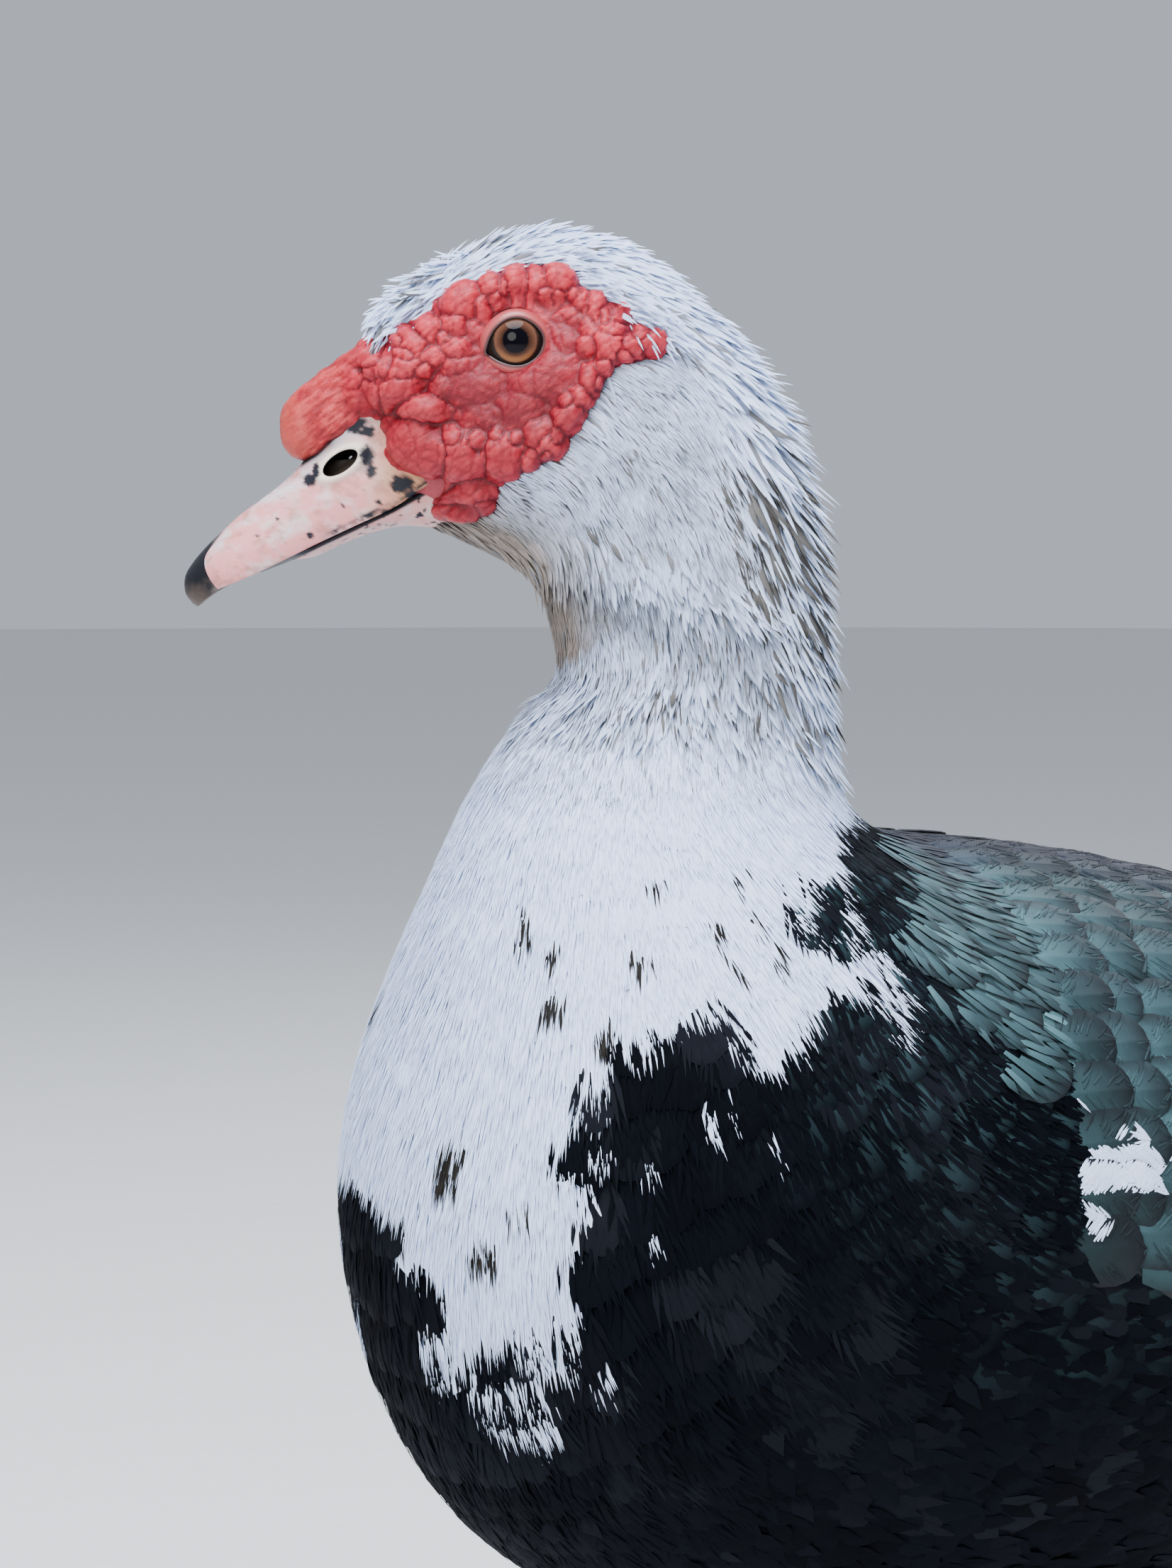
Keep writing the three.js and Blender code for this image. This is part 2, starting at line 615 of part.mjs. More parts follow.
// A row's feathers lean just enough to pass over their neighbours.
function tractVanes(tract, side) {
  const { count, from, to, aim, length, width, mid, tip, shape } = tract;
  const slope = radians((aim[0] + aim[1]) / 2);
  const rise = radians(Math.abs(to[1] - from[1])) * FLANK_GIRTH;
  const pitch = (rise * Math.cos(slope) - Math.abs(to[0] - from[0]) * Math.sin(slope)) / (count - 1);
  const roll = tract.roll ?? ((VANE_THICK + VANE_AIR) * width[0]) / pitch;
  return Array.from({ length: count }, (_, i) => {
    const t = i / (count - 1);
    const vary = Math.sin(4.3 * i + count);
    return wingVane({
      x: lerp(from[0], to[0], t) + vary,
      angle: lerp(from[1], to[1], t),
      aim: lerp(aim[0], aim[1], t),
      length: lerp(length[0], length[1], t) + 1.5 * vary,
      width: lerp(width[0], width[1], t),
      mid: lerp(mid[0], mid[1], t),
      tip: lerp(tip[0], tip[1], t),
      roll,
      shape,
    }, side);
  });
}

// Rows of the bed that the feathers grow from: x, lower angle, upper angle.
const WING_BED = [
  [56, 0, 69],
  [84, -11, 77],
  [115, -15, 78],
  [139, -11, 75],
  [164, -5, 71],
  [204, 8, 62],
];
const WING_BED_RISE = 1.5;

function wing(side) {
  const plate = sheet(4, WING_BED.length - 1, (u, v, face) => {
    const [x, low, high] = WING_BED[Math.round(v * (WING_BED.length - 1))];
    return sidePoint(x, lerp(low, high, u), face > 0 ? WING_BED_RISE : -2, side);
  });
  const vanes = WING_TRACTS.flatMap((tract) => tractVanes(tract, side));
  return union([solid(plate), ...vanes]).subtract(grownBody);
}

addPart(duck, 'wing_left', geometryOf(wing(-1)), COLORS.green, 0.5);
addPart(duck, 'wing_right', geometryOf(wing(1)), COLORS.green, 0.5);

// Tail

const TAIL_PAIRS = 5;
const TAIL_ROOT_SPREAD = 4.4;
const TAIL_FAN = 3.7;
const TAIL_LAYER = 1.3;
const TAIL_VANE = { root: 18, width: 33, level: 1.2, rounding: 0.6 };
const COVERT_VANE = { width: 28, fan: 12, rounding: 3 };
const tailAxis = vector(Math.cos(radians(TAIL.slope)), 0, Math.sin(radians(TAIL.slope)));
const tailUp = vector(-tailAxis.z, 0, tailAxis.x);

// A point of the tail's own frame: along its axis from the rump's end, across, and up.
function tailPoint(along, across, up) {
  return vector(TAIL.x, across, TAIL.z).addScaledVector(tailAxis, along).addScaledVector(tailUp, up);
}

// A feather of the tail or its coverts. A half set to 1 or -1 keeps it on that side of the midline.
function tailVane({ root, across, fan, length, width, low, high, roll = 0, shape = LONG_VANE, half = 0 }) {
  const turn = radians(fan);
  return solid(sheet(1, shape.length - 1, (u, v, face) => {
    const [share, wide] = shape[Math.round(v * (shape.length - 1))];
    const out = length * share;
    const off = (u - 0.5) * width * wide;
    const free = across + out * Math.sin(turn) + off * Math.cos(turn);
    const inner = half > 0 ? 0.5 + 2 * u : 0.5 + 2 * (1 - u);
    const y = half === 0 ? free : half * Math.max(half * free, inner);
    const lean = (roll * off) / width;
    return tailPoint(
      root + out * Math.cos(turn) - off * Math.sin(turn),
      y,
      lerp(low, high, share) + lean + (face * VANE_THICK) / 2,
    );
  }));
}

// Rows of the tail's root: along, half width, half height, rise.
const TAIL_ROOT = [[-26, 24, 13, 0], [-4, 25, 12.5, 0], [14, 24, 10, 0], [34, 22, 6.5, -1], [48, 16, 3, -2]];

// Rows of coverts: over or under, count, root, length, spread, height at the root and at the tip.
const TAIL_COVERTS = [
  [1, 3, 12, 58, 15, 4.5, 7.5],
  [1, 2, -8, 52, 9, 7, 10.5],
  [-1, 3, 8, 60, 15, -5, -11.5],
  [-1, 2, -12, 52, 9, -9, -14],
];

function tail() {
  const sides = 12;
  const root = solid(loft(TAIL_ROOT.map(([along, half, high, up]) => Array.from({ length: sides }, (_, i) => {
    const bearing = (2 * Math.PI * i) / sides;
    return tailPoint(along, half * Math.cos(bearing), up + high * Math.sin(bearing));
  }))));
  const vanes = [];
  for (let i = 0; i < TAIL_PAIRS; i++) {
    for (const side of [1, -1]) {
      const place = i + 0.5;
      const top = i === 0 && side > 0;
      const layer = TAIL_VANE.level - TAIL_LAYER * (top ? -1 : i);
      vanes.push(tailVane({
        root: TAIL_VANE.root,
        across: side * place * TAIL_ROOT_SPREAD,
        fan: side * place * TAIL_FAN,
        length: TAIL.length - TAIL_VANE.root - TAIL_VANE.rounding * place ** 2,
        width: TAIL_VANE.width,
        low: layer,
        high: layer,
        half: top ? 0 : side,
      }));
    }
  }
  for (const [over, count, from, length, spread, low, high] of TAIL_COVERTS) {
    const { width, fan, rounding } = COVERT_VANE;
    const roll = ((VANE_THICK + VANE_AIR) * width * (count - 1)) / (2 * spread);
    for (let i = 0; i < count; i++) {
      const place = (2 * i) / (count - 1) - 1;
      vanes.push(tailVane({
        root: from - rounding * place ** 2,
        across: place * spread,
        fan: place * fan,
        length,
        width,
        low,
        high,
        roll,
        shape: ROUND_VANE,
      }));
    }
  }
  return union([root, ...vanes]).subtract(grownBody);
}

addPart(duck, 'tail', geometryOf(tail()), COLORS.black, 0.6);

// Legs

const TOES = [
  { name: 'middle', angle: 0, length: 70, stout: 1.0 },
  { name: 'outer', angle: 27, length: 64, stout: 0.92 },
  { name: 'inner', angle: -25, length: 55, stout: 0.88 },
  { name: 'hind', angle: 196, length: 21, stout: 0.62 },
];
const TOE_KNUCKLES = [[0.0, 6.2], [0.32, 5.7], [0.47, 4.5], [0.63, 5.1], [0.8, 4.0], [1.0, 2.8]];
const CLAW_LENGTH = 11;

// A point of the foot: forward along its middle toe, then outward from it, then up.
function footPoint(side, forward, outward, z) {
  const turn = radians(FOOT.turn);
  return vector(
    FOOT.x - forward * Math.cos(turn) + outward * Math.sin(turn),
    side * (FOOT.y + forward * Math.sin(turn) + outward * Math.cos(turn)),
    z,
  );
}

function toePoint(side, angle, along, across, z) {
  const a = radians(angle);
  return footPoint(
    side,
    along * Math.cos(a) - across * Math.sin(a),
    along * Math.sin(a) + across * Math.cos(a),
    z,
  );
}

function toeSolid({ angle, length, stout }, side) {
  const sides = 6;
  return solid(loft(TOE_KNUCKLES.map(([t, radius]) => Array.from({ length: sides }, (_, i) => {
    const bearing = (2 * Math.PI * (i + 0.5)) / sides;
    const r = radius * stout;
    return toePoint(side, angle, length * t, r * Math.cos(bearing), r * (0.78 + Math.sin(bearing)));
  }))));
}

function webSolid(first, second, side) {
  return solid(sheet(4, 3, (u, v, face) => {
    const angle = lerp(first.angle, second.angle, u);
    const edge = lerp(first.length, second.length, u) * (0.95 - 0.17 * Math.sin(Math.PI * u));
    return toePoint(side, angle, lerp(4, edge, v), 0, face > 0 ? lerp(FOOT.web + 1.2, FOOT.web, v) : -0.6);
  }));
}

function webbedFoot(side) {
  const [middleToe, outer, inner] = TOES;
  const heel = solid(limb([
    [FOOT.x + 2.0, side * FOOT.y, -0.6, 9.5, 8],
    [FOOT.x + 2.4, side * FOOT.y, 6, 9.5, 8.2],
    [FOOT.x + 4.5, side * FOOT.y, 12.6, 7.6, 7.4],
  ]));
  const floor = new THREE.BoxGeometry(400, 400, 20);
  floor.translate(0, 0, -10);
  return union([
    heel,
    ...TOES.map((toe) => toeSolid(toe, side)),
    webSolid(middleToe, outer, side),
    webSolid(inner, middleToe, side),
  ]).subtract(solid(floor));
}

function claw({ angle, length, stout }, side) {
  const sides = 5;
  const steps = 2;
  return loft(Array.from({ length: steps + 1 }, (_, j) => {
    const t = j / steps;
    const r = lerp(2.3, 0.35, t) * stout;
    const rise = lerp(2.5 * stout + 0.4, 0.8, t) + 1.6 * stout * Math.sin(Math.PI * t);
    return Array.from({ length: sides }, (_, i) => {
      const bearing = (2 * Math.PI * i) / sides;
      const along = length + JOIN_GAP + CLAW_LENGTH * stout * t;
      return toePoint(side, angle, along, 0.8 * r * Math.cos(bearing), rise + r * Math.sin(bearing));
    });
  }));
}

// A limb's length from rows of x, y, z, half width along x and y.
function limb(rows, sides = 10) {
  return loft(rows.map(([x, y, z, rx, ry]) => Array.from({ length: sides }, (_, i) => {
    const bearing = (2 * Math.PI * i) / sides;
    return vector(x + rx * Math.cos(bearing), y + ry * Math.sin(bearing), z);
  })));
}

for (const [name, side] of [['left', -1], ['right', 1]]) {
  const y = side * ANKLE.y;
  const footY = side * FOOT.y;
  const thigh = limb([
    [88, side * 46, 150, 38, 26],
    [90, side * 47, 118, 36, 25],
    [95, side * 48, 92, 25, 20],
    [100, side * 49, 76, 15, 14],
    [103, y, ANKLE.z + 1, 10, 10],
  ]);
  addPart(duck, `thigh_${name}`, geometryOf(solid(thigh).subtract(grownBody)), COLORS.black, 0.85);
  const tarsus = limb([
    [ANKLE.x, y, ANKLE.z, 9, 8.5],
    [ANKLE.x - 1, y, ANKLE.z - 10, 8, 7.5],
    [ANKLE.x - 6, side * 51, 44, 6.6, 6.2],
    [ANKLE.x - 13, side * 52.5, 24, 6.6, 6.4],
    [ANKLE.x - 19, footY, 13, 8, 8],
  ]);
  addPart(duck, `tarsus_${name}`, tarsus, COLORS.leg, 0.7);
  const foot = webbedFoot(side);
  addPart(duck, `foot_${name}`, geometryOf(foot), COLORS.web, 0.75);
  TOES.forEach((toe) => addPart(duck, `claw_${name}_${toe.name}`, claw(toe, side), COLORS.claw, 0.4));
}

// The origin is the middle of the whole bird's footprint, on the floor.

const extent = new THREE.Box3().setFromObject(duck);
const middle = extent.getCenter(vector(0, 0, 0));
duck.position.set(-middle.x, -middle.y, -extent.min.z);

export default duck;
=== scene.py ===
# A muscovy drake, life size and standing, as a still museum model.
# Lengths are millimetres from the foot of the bird's neck, and become metres when a mesh is made.

import math

import bmesh
import bpy
import numpy as np
from mathutils import Matrix, Vector, noise
from mathutils.bvhtree import BVHTree


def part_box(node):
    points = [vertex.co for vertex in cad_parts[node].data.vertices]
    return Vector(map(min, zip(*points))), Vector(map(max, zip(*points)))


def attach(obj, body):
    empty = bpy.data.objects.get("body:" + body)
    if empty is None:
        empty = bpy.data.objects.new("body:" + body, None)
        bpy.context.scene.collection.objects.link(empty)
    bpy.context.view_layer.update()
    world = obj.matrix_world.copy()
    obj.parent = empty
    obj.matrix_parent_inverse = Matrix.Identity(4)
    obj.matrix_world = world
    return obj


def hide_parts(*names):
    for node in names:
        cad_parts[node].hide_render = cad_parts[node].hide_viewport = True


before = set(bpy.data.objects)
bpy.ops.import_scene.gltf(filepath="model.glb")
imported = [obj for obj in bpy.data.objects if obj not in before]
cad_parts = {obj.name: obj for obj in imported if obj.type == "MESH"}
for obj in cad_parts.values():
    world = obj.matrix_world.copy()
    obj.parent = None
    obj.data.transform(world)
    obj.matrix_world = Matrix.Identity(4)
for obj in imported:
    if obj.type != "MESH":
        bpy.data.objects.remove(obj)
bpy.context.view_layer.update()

# Where the bird stands: the point between its eyes is known in the frame and on the bird.

MM = 0.001
HEAD_TURN = math.radians(-28)
EYE_AHEAD = -45.2
EYE_HEIGHT = 422.0
eye_corners = [np.array(corner) for side in ("left", "right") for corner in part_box("eye_" + side)]
between_eyes = [EYE_AHEAD * math.cos(HEAD_TURN), EYE_AHEAD * math.sin(HEAD_TURN), EYE_HEIGHT]
BIRD_ORIGIN = np.mean(eye_corners, axis=0) - MM * np.array(between_eyes)


def metres(points):
    return np.asarray(points, float) * MM + BIRD_ORIGIN


# Camera: the photograph's view, from the bird's left front and a little above its back.

PHOTO_PIXELS = (1653, 2212)
PIXELS_PER_MM = 5.4
VIEW_SIDE = math.radians(-28)
VIEW_RISE = math.radians(4)
VIEW_DISTANCE = 1300
VIEW_AHEAD = -27.5
VIEW_HEIGHT = 307.2
SENSOR = 36

view_target = [VIEW_AHEAD * math.cos(VIEW_SIDE), VIEW_AHEAD * math.sin(VIEW_SIDE), VIEW_HEIGHT]
view_back = Vector((
    math.sin(VIEW_SIDE) * math.cos(VIEW_RISE),
    -math.cos(VIEW_SIDE) * math.cos(VIEW_RISE),
    math.sin(VIEW_RISE),
))
view_right = Vector((math.cos(VIEW_SIDE), math.sin(VIEW_SIDE), 0))
camera_data = bpy.data.cameras.new("camera")
camera_data.sensor_fit = "VERTICAL"
camera_data.sensor_height = SENSOR
camera_data.lens = SENSOR * VIEW_DISTANCE * PIXELS_PER_MM / PHOTO_PIXELS[1]
camera = bpy.data.objects.new("camera", camera_data)
camera.matrix_world = Matrix((view_right, view_back.cross(view_right), view_back)).transposed().to_4x4()
camera.location = Vector(metres(view_target)) + view_back * VIEW_DISTANCE * MM
bpy.context.scene.collection.objects.link(camera)
bpy.context.scene.camera = camera

# Light and floor: soft daylight from above and ahead, over a plain pale floor.


def linear(hex_color):
    """The linear red, green, blue and alpha of an sRGB hex colour."""
    channels = [int(hex_color[i:i + 2], 16) / 255 for i in (1, 3, 5)]
    return [c / 12.92 if c <= 0.04045 else ((c + 0.055) / 1.055) ** 2.4 for c in channels] + [1.0]


def add_node(tree, kind, settings=None, links=None):
    """A shader node, with its settings by property or socket and its links by socket."""
    made = tree.nodes.new(kind)
    for name, value in (settings or {}).items():
        if isinstance(name, str) and hasattr(made, name):
            setattr(made, name, value)
        else:
            made.inputs[name].default_value = value
    for name, source in (links or {}).items():
        tree.links.new(source, made.inputs[name])
    return made


def finish_material(name):
    """A new material, its emptied tree, and a function that adds its surface."""
    material = bpy.data.materials.new(name)
    material.use_nodes = True
    tree = material.node_tree
    tree.nodes.clear()
    output = tree.nodes.new("ShaderNodeOutputMaterial")

    def surface(settings, links):
        shader = add_node(tree, "ShaderNodeBsdfPrincipled", settings, links)
        tree.links.new(shader.outputs[0], output.inputs[0])

    return material, tree, surface


def pattern(tree, kind, size, output, **settings):
    """A pattern through the piece's own space, with features of a size in millimetres."""
    place = add_node(tree, "ShaderNodeTexCoord")
    return add_node(tree, kind, {"Scale": 1 / (size * MM), **settings},
                    {"Vector": place.outputs["Object"]}).outputs[output]


def grains(tree, size, detail, roughness=0.5):
    """Noise with grains of a size in millimetres."""
    return pattern(tree, "ShaderNodeTexNoise", size, "Fac", Detail=detail, Roughness=roughness)


def mix_colors(tree, share, first, second, blend="MIX"):
    """One colour mixed with another, each a value or another node's output."""
    settings, links = {"data_type": "RGBA", "blend_type": blend}, {}
    for socket, given in ((0, share), (6, first), (7, second)):
        (links if isinstance(given, bpy.types.NodeSocket) else settings)[socket] = given
    return add_node(tree, "ShaderNodeMix", settings, links).outputs[2]


# Lamps: place, size, power in watts and colour
LAMP_AIM = (40, 0, 230)
LAMPS = {
    "sky": ((-500, -500, 1900), 1500, 100, "#ECF2FF"),
    "front": ((-1500, -1500, 1000), 1100, 30, "#FCFAF6"),
    "rear": ((1500, 900, 1300), 1500, 20, "#F2F6FF"),
}
for lamp_name, (place, size, power, color) in LAMPS.items():
    lamp = bpy.data.lights.new(lamp_name, "AREA")
    lamp.shape = "DISK"
    lamp.size = size * MM
    lamp.energy = power
    lamp.color = linear(color)[:3]
    lamp_object = bpy.data.objects.new(lamp_name, lamp)
    lamp_object.location = metres(place)
    aim = Vector(metres(LAMP_AIM)) - lamp_object.location
    lamp_object.rotation_euler = aim.to_track_quat("-Z", "Y").to_euler()
    bpy.context.scene.collection.objects.link(lamp_object)

DAYLIGHT = "#D5DCE9"
DAYLIGHT_STRENGTH = 0.74
world = bpy.data.worlds.new("daylight")
world.use_nodes = True
world.node_tree.nodes["Background"].inputs["Color"].default_value = linear(DAYLIGHT)
world.node_tree.nodes["Background"].inputs["Strength"].default_value = DAYLIGHT_STRENGTH
bpy.context.scene.world = world

FLOOR_RADIUS = 9000
FLOOR_GRAIN = 11.11
FLOOR_TONES = ("#DFDFDD", "#E7E7E5")
floor_mesh = bmesh.new()
bmesh.ops.create_circle(floor_mesh, cap_ends=True, radius=FLOOR_RADIUS * MM, segments=96)
floor_data = bpy.data.meshes.new("floor")
floor_mesh.to_mesh(floor_data)
floor_mesh.free()
floor = bpy.data.objects.new("floor", floor_data)
bpy.context.scene.collection.objects.link(floor)
# Smooth pale studio floor, matt and faintly mottled
floor_finish, tree, surface = finish_material("matt_pale_floor")
surface({"Roughness": 0.9}, {
    "Base Color": mix_colors(tree, grains(tree, FLOOR_GRAIN, 3.0), *map(linear, FLOOR_TONES))})
floor_data.materials.append(floor_finish)

# Body: the one skin under the plumage, from the bill's root to the tail's, closed at both ends.
# It is the whole of head, neck and trunk without a seam, and lies inside them by the coat's depth.

# Rows from bill to tail: back x, back z, underside x, underside z, half width, share of the head's turn
BODY_LINE = np.array([
    [-86.0, 421.0, -70.0, 375.0, 15.0, 1.00],
    [-80.0, 432.0, -66.0, 373.5, 19.0, 1.00],
    [-62.0, 444.0, -60.9, 371.5, 23.0, 1.00],
    [-43.0, 450.5, -54.5, 368.5, 26.0, 1.00],
    [-29.6, 450.0, -47.6, 365.0, 28.5, 1.00],
    [-17.6, 446.0, -43.0, 362.0, 30.0, 1.00],
    [-6.0, 438.5, -40.0, 359.0, 31.0, 1.00],
    [5.5, 427.0, -38.2, 354.5, 31.5, 1.00],
    [16.0, 412.0, -37.0, 350.0, 32.0, 1.00],
    [24.5, 392.0, -35.6, 345.0, 32.3, 0.97],
    [30.0, 370.0, -34.8, 339.0, 33.0, 0.88],
    [33.5, 347.0, -36.0, 333.5, 34.5, 0.76],
    [35.5, 328.0, -43.0, 327.0, 38.0, 0.62],
    [36.5, 314.0, -52.0, 315.0, 44.0, 0.46],
    [38.0, 305.0, -61.0, 299.0, 53.0, 0.31],
    [41.0, 299.0, -70.0, 279.0, 65.0, 0.18],
    [46.0, 295.5, -79.0, 256.0, 78.0, 0.08],
    [53.5, 293.0, -87.0, 230.0, 90.0, 0.02],
    [63.0, 291.5, -92.5, 203.0, 98.0, 0.00],
    [76.0, 290.0, -92.0, 175.0, 103.0, 0.00],
    [93.0, 287.0, -84.0, 144.0, 106.0, 0.00],
    [114.0, 282.5, -66.0, 114.0, 107.0, 0.00],
    [137.0, 277.0, -35.0, 91.0, 107.0, 0.00],
    [163.0, 269.5, 12.0, 77.0, 105.0, 0.00],
    [191.0, 260.0, 68.0, 74.0, 100.0, 0.00],
    [219.0, 249.0, 126.0, 83.0, 91.0, 0.00],
    [246.0, 237.5, 180.0, 103.0, 78.0, 0.00],
    [270.0, 226.5, 225.0, 131.0, 61.0, 0.00],
    [288.0, 217.5, 259.0, 159.0, 44.0, 0.00],
    [301.0, 211.0, 281.0, 180.0, 30.0, 0.00],
])
LAST_ROW = len(BODY_LINE) - 1


def read_rows(table, s):
    """A table's rows read at s off a smooth curve, and straight on past its ends."""
    s = np.asarray(s, float)
    last = len(table) - 1
    first = np.clip(np.floor(s).astype(int), 0, last - 1)
    t = np.clip(s - first, 0, 1)[..., None]
    past = (s - first)[..., None] - t

    def row(k):
        return table[np.clip(first + k, 0, last)]

    before = (row(1) - row(-1)) / 2
    after = (row(2) - row(0)) / 2
    gain = row(1) - row(0)
    square = 3 * gain - 2 * before - after
    cube = before + after - 2 * gain
    slope = before + 2 * square * t + 3 * cube * t ** 2
    return row(0) + before * t + square * t ** 2 + cube * t ** 3 + slope * past


# The coat lies closer on the breast's front than the solids' tracts do: rows, and how much closer
BREAST_TRIM = ([14, 16, 18, 22, 25], [0, 2.6, 4.2, 5.2, 0])


def body(s, angle, rise=0.0):
    """Points over the body at row s. Angle is in degrees, 0 at the back, 180 below, negative on the left."""
    rows = read_rows(BODY_LINE, s)
    angle = np.radians(np.asarray(angle, float))
    back = np.stack([rows[..., 0], rows[..., 1]], -1)
    under = np.stack([rows[..., 2], rows[..., 3]], -1)
    spine = back - under
    high = np.linalg.norm(spine, axis=-1)
    up = spine / high[..., None]
    rise = rise - np.interp(s, *BREAST_TRIM) * np.clip(-1.4 * np.cos(angle), 0, 1)
    reach = (high / 2 + rise) * np.cos(angle)
    flat = (back + under) / 2 + up * reach[..., None]
    side = (rows[..., 4] + rise) * np.sin(angle)
    turn = HEAD_TURN * np.clip(rows[..., 5], 0, 1)
    return np.stack([
        flat[..., 0] * np.cos(turn) - side * np.sin(turn),
        flat[..., 0] * np.sin(turn) + side * np.cos(turn),
        flat[..., 1],
    ], -1)


def turned(points, turn=HEAD_TURN):
    """Points of the head's own plane, turned to where the bird looks."""
    points = np.asarray(points, float)
    c, s = math.cos(turn), math.sin(turn)
    return np.stack([points[..., 0] * c - points[..., 1] * s,
                     points[..., 0] * s + points[..., 1] * c, points[..., 2]], -1)


def head_plane(points):
    """Points turned back by the head's turn, so that x runs along the bill and y across it."""
    return turned(points, -HEAD_TURN)


def mesh_points(data):
    """A mesh's points, one to a row."""
    places = np.empty(len(data.vertices) * 3)
    data.vertices.foreach_get("co", places)
    return places.reshape(-1, 3)


def move_points(data, points):
    data.vertices.foreach_set("co", np.asarray(points, float).ravel())
    data.update()


def as_mesh(made, name="work"):
    """A mesh from a bmesh, which is freed."""
    data = bpy.data.meshes.new(name)
    made.to_mesh(data)
    made.free()
    return data


def as_object(data):
    made = bpy.data.objects.new(data.name, data)
    bpy.context.scene.collection.objects.link(made)
    return made


def ray_tree(data):
    """A mesh's surface, for casting rays at it."""
    return BVHTree.FromPolygons([tuple(p) for p in mesh_points(data)],
                                [tuple(face.vertices) for face in data.polygons])


def rolled(columns, rows, place):
    """A flat grid rolled up by place(u, v), joined along its seam, with its open ends closed."""
    made = bmesh.new()
    bmesh.ops.create_grid(made, x_segments=columns, y_segments=rows, size=0.5)
    flat = np.array([vert.co[:2] for vert in made.verts]) + 0.5
    sheet_uv = made.loops.layers.uv.new("OFBake")
    spot = made.verts.layers.float_vector.new("spot")
    for face in made.faces:
        for loop in face.loops:
            loop[sheet_uv].uv = (loop.vert.co[0] + 0.5, loop.vert.co[1] + 0.5)
    for vert in made.verts:
        vert[spot] = vert.co + Vector((0.5, 0.5, 0))
    for vert, point in zip(made.verts, place(flat[:, 0], flat[:, 1])):
        vert.co = point
    bmesh.ops.remove_doubles(made, verts=made.verts, dist=1e-4)
    bmesh.ops.holes_fill(made, edges=[edge for edge in made.edges if edge.is_boundary])
    bmesh.ops.recalc_face_normals(made, faces=made.faces)
    return made


def add_piece(made, name, finish):
    """A piece in metres from a mesh in millimetres, riding on the bird's one body."""
    data = as_mesh(made) if isinstance(made, bmesh.types.BMesh) else made
    data.name = name
    data.polygons.foreach_set("use_smooth", [True] * len(data.polygons))
    move_points(data, metres(mesh_points(data)))
    data.materials.clear()
    data.materials.append(finish)
    piece = as_object(data)
    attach(piece, "root")
    return piece


def take_spots(data):
    """Each vertex's place on the flat sheet that a rolled mesh was made from, taken off the mesh."""
    places = np.empty(len(data.vertices) * 3)
    data.attributes["spot"].data.foreach_get("vector", places)
    data.attributes.remove(data.attributes["spot"])
    return places.reshape(-1, 3)


# Markings: sRGB colours of the pied plumage, and where each lies on the body

# The white plumage's colour, with a painted blue cast of the cool daylight in it
WHITE_WITH_SKY_CAST = "#D5E4FF"
STREAK = "#3B3834"
BLACK = "#06080E"
TEAL = "#4C6C70"
SLATE = "#3E4358"

# The white's lower edge down the left side: degrees from the back, and row. The last lie past the middle below.
WHITE_EDGE = np.array([
    [52, 14.8], [65, 15.75], [71, 16.6], [70, 17.15], [73, 18.15], [77, 18.4], [79, 18.1], [79, 17.65],
    [84, 17.2], [81, 17.0], [73, 16.5], [67, 15.65], [70, 15.4], [80, 15.85], [83, 16.45], [82, 16.9],
    [86, 17.1], [92, 17.4], [96, 17.7], [101, 17.65], [107, 17.2], [107, 16.8], [113, 16.7], [120, 16.85],
    [127, 16.9], [130, 17.0], [134, 17.25], [137, 17.4], [140, 17.8], [135, 18.0], [135, 18.3], [138, 18.5],
    [139, 18.95], [140, 19.4], [143, 19.75], [150, 19.6], [152, 19.4], [161, 19.4], [167, 19.55],
    [165, 19.05], [165, 18.7], [172, 18.5], [175, 18.25], [184, 18.05], [192, 17.9],
])
# The right side's edge is like the left's, moved by this many rows and degrees in slow waves
MIRROR_FROM = 137
MIRROR_ROWS = 0.28
MIRROR_DEGREES = 4.0

# Spots of the other colour: row, angle, half length in rows, half width in degrees, white or not
SPOTS = [
    (17.65, -163, 0.22, 3.7, False), (18.55, -155, 0.13, 3.4, False), (18.25, -148, 0.08, 2.2, False),
    (16.25, -141, 0.12, 3.0, False), (16.65, -130, 0.14, 2.2, False), (15.3, -149, 0.25, 2.1, False),
    (15.6, -140, 0.13, 1.4, False), (12.1, -117, 0.1, 3.6, False), (15.1, -92, 0.12, 3.4, False),
    (15.9, -120, 0.09, 1.8, False), (15.75, -102, 0.14, 1.7, False), (16.3, -101, 0.11, 1.5, False),
    (16.45, -92, 0.11, 1.5, False), (15.75, -93, 0.11, 1.5, False), (15.0, -113, 0.07, 3.1, False),
    (17.9, -113, 0.22, 1.3, True), (17.9, -109, 0.19, 0.8, True), (18.65, -104, 0.09, 1.0, True),
    (18.95, -126, 0.07, 1.4, True), (17.15, -132, 0.13, 2.4, True), (17.8, -132, 0.15, 2.8, True),
    (18.1, -124, 0.09, 1.0, True), (19.9, -140, 0.06, 1.4, True), (19.75, -161, 0.08, 2.9, True),
    (20.0, -158, 0.13, 3.9, True), (20.1, -153, 0.11, 3.3, True), (19.85, -155, 0.11, 6.8, True),
    (19.35, -170, 0.17, 3.5, True), (18.25, -79, 0.19, 2.3, True),
    (15.4, 95, 0.14, 3.2, False), (16.0, 108, 0.12, 2.4, False), (15.2, 134, 0.2, 2.4, False),
    (16.5, 150, 0.16, 3.0, False), (12.6, 104, 0.1, 3.2, False), (18.3, 118, 0.16, 2.0, True),
    (18.9, 150, 0.2, 4.5, True), (19.5, 160, 0.12, 3.5, True), (17.6, 92, 0.14, 2.0, True),
]


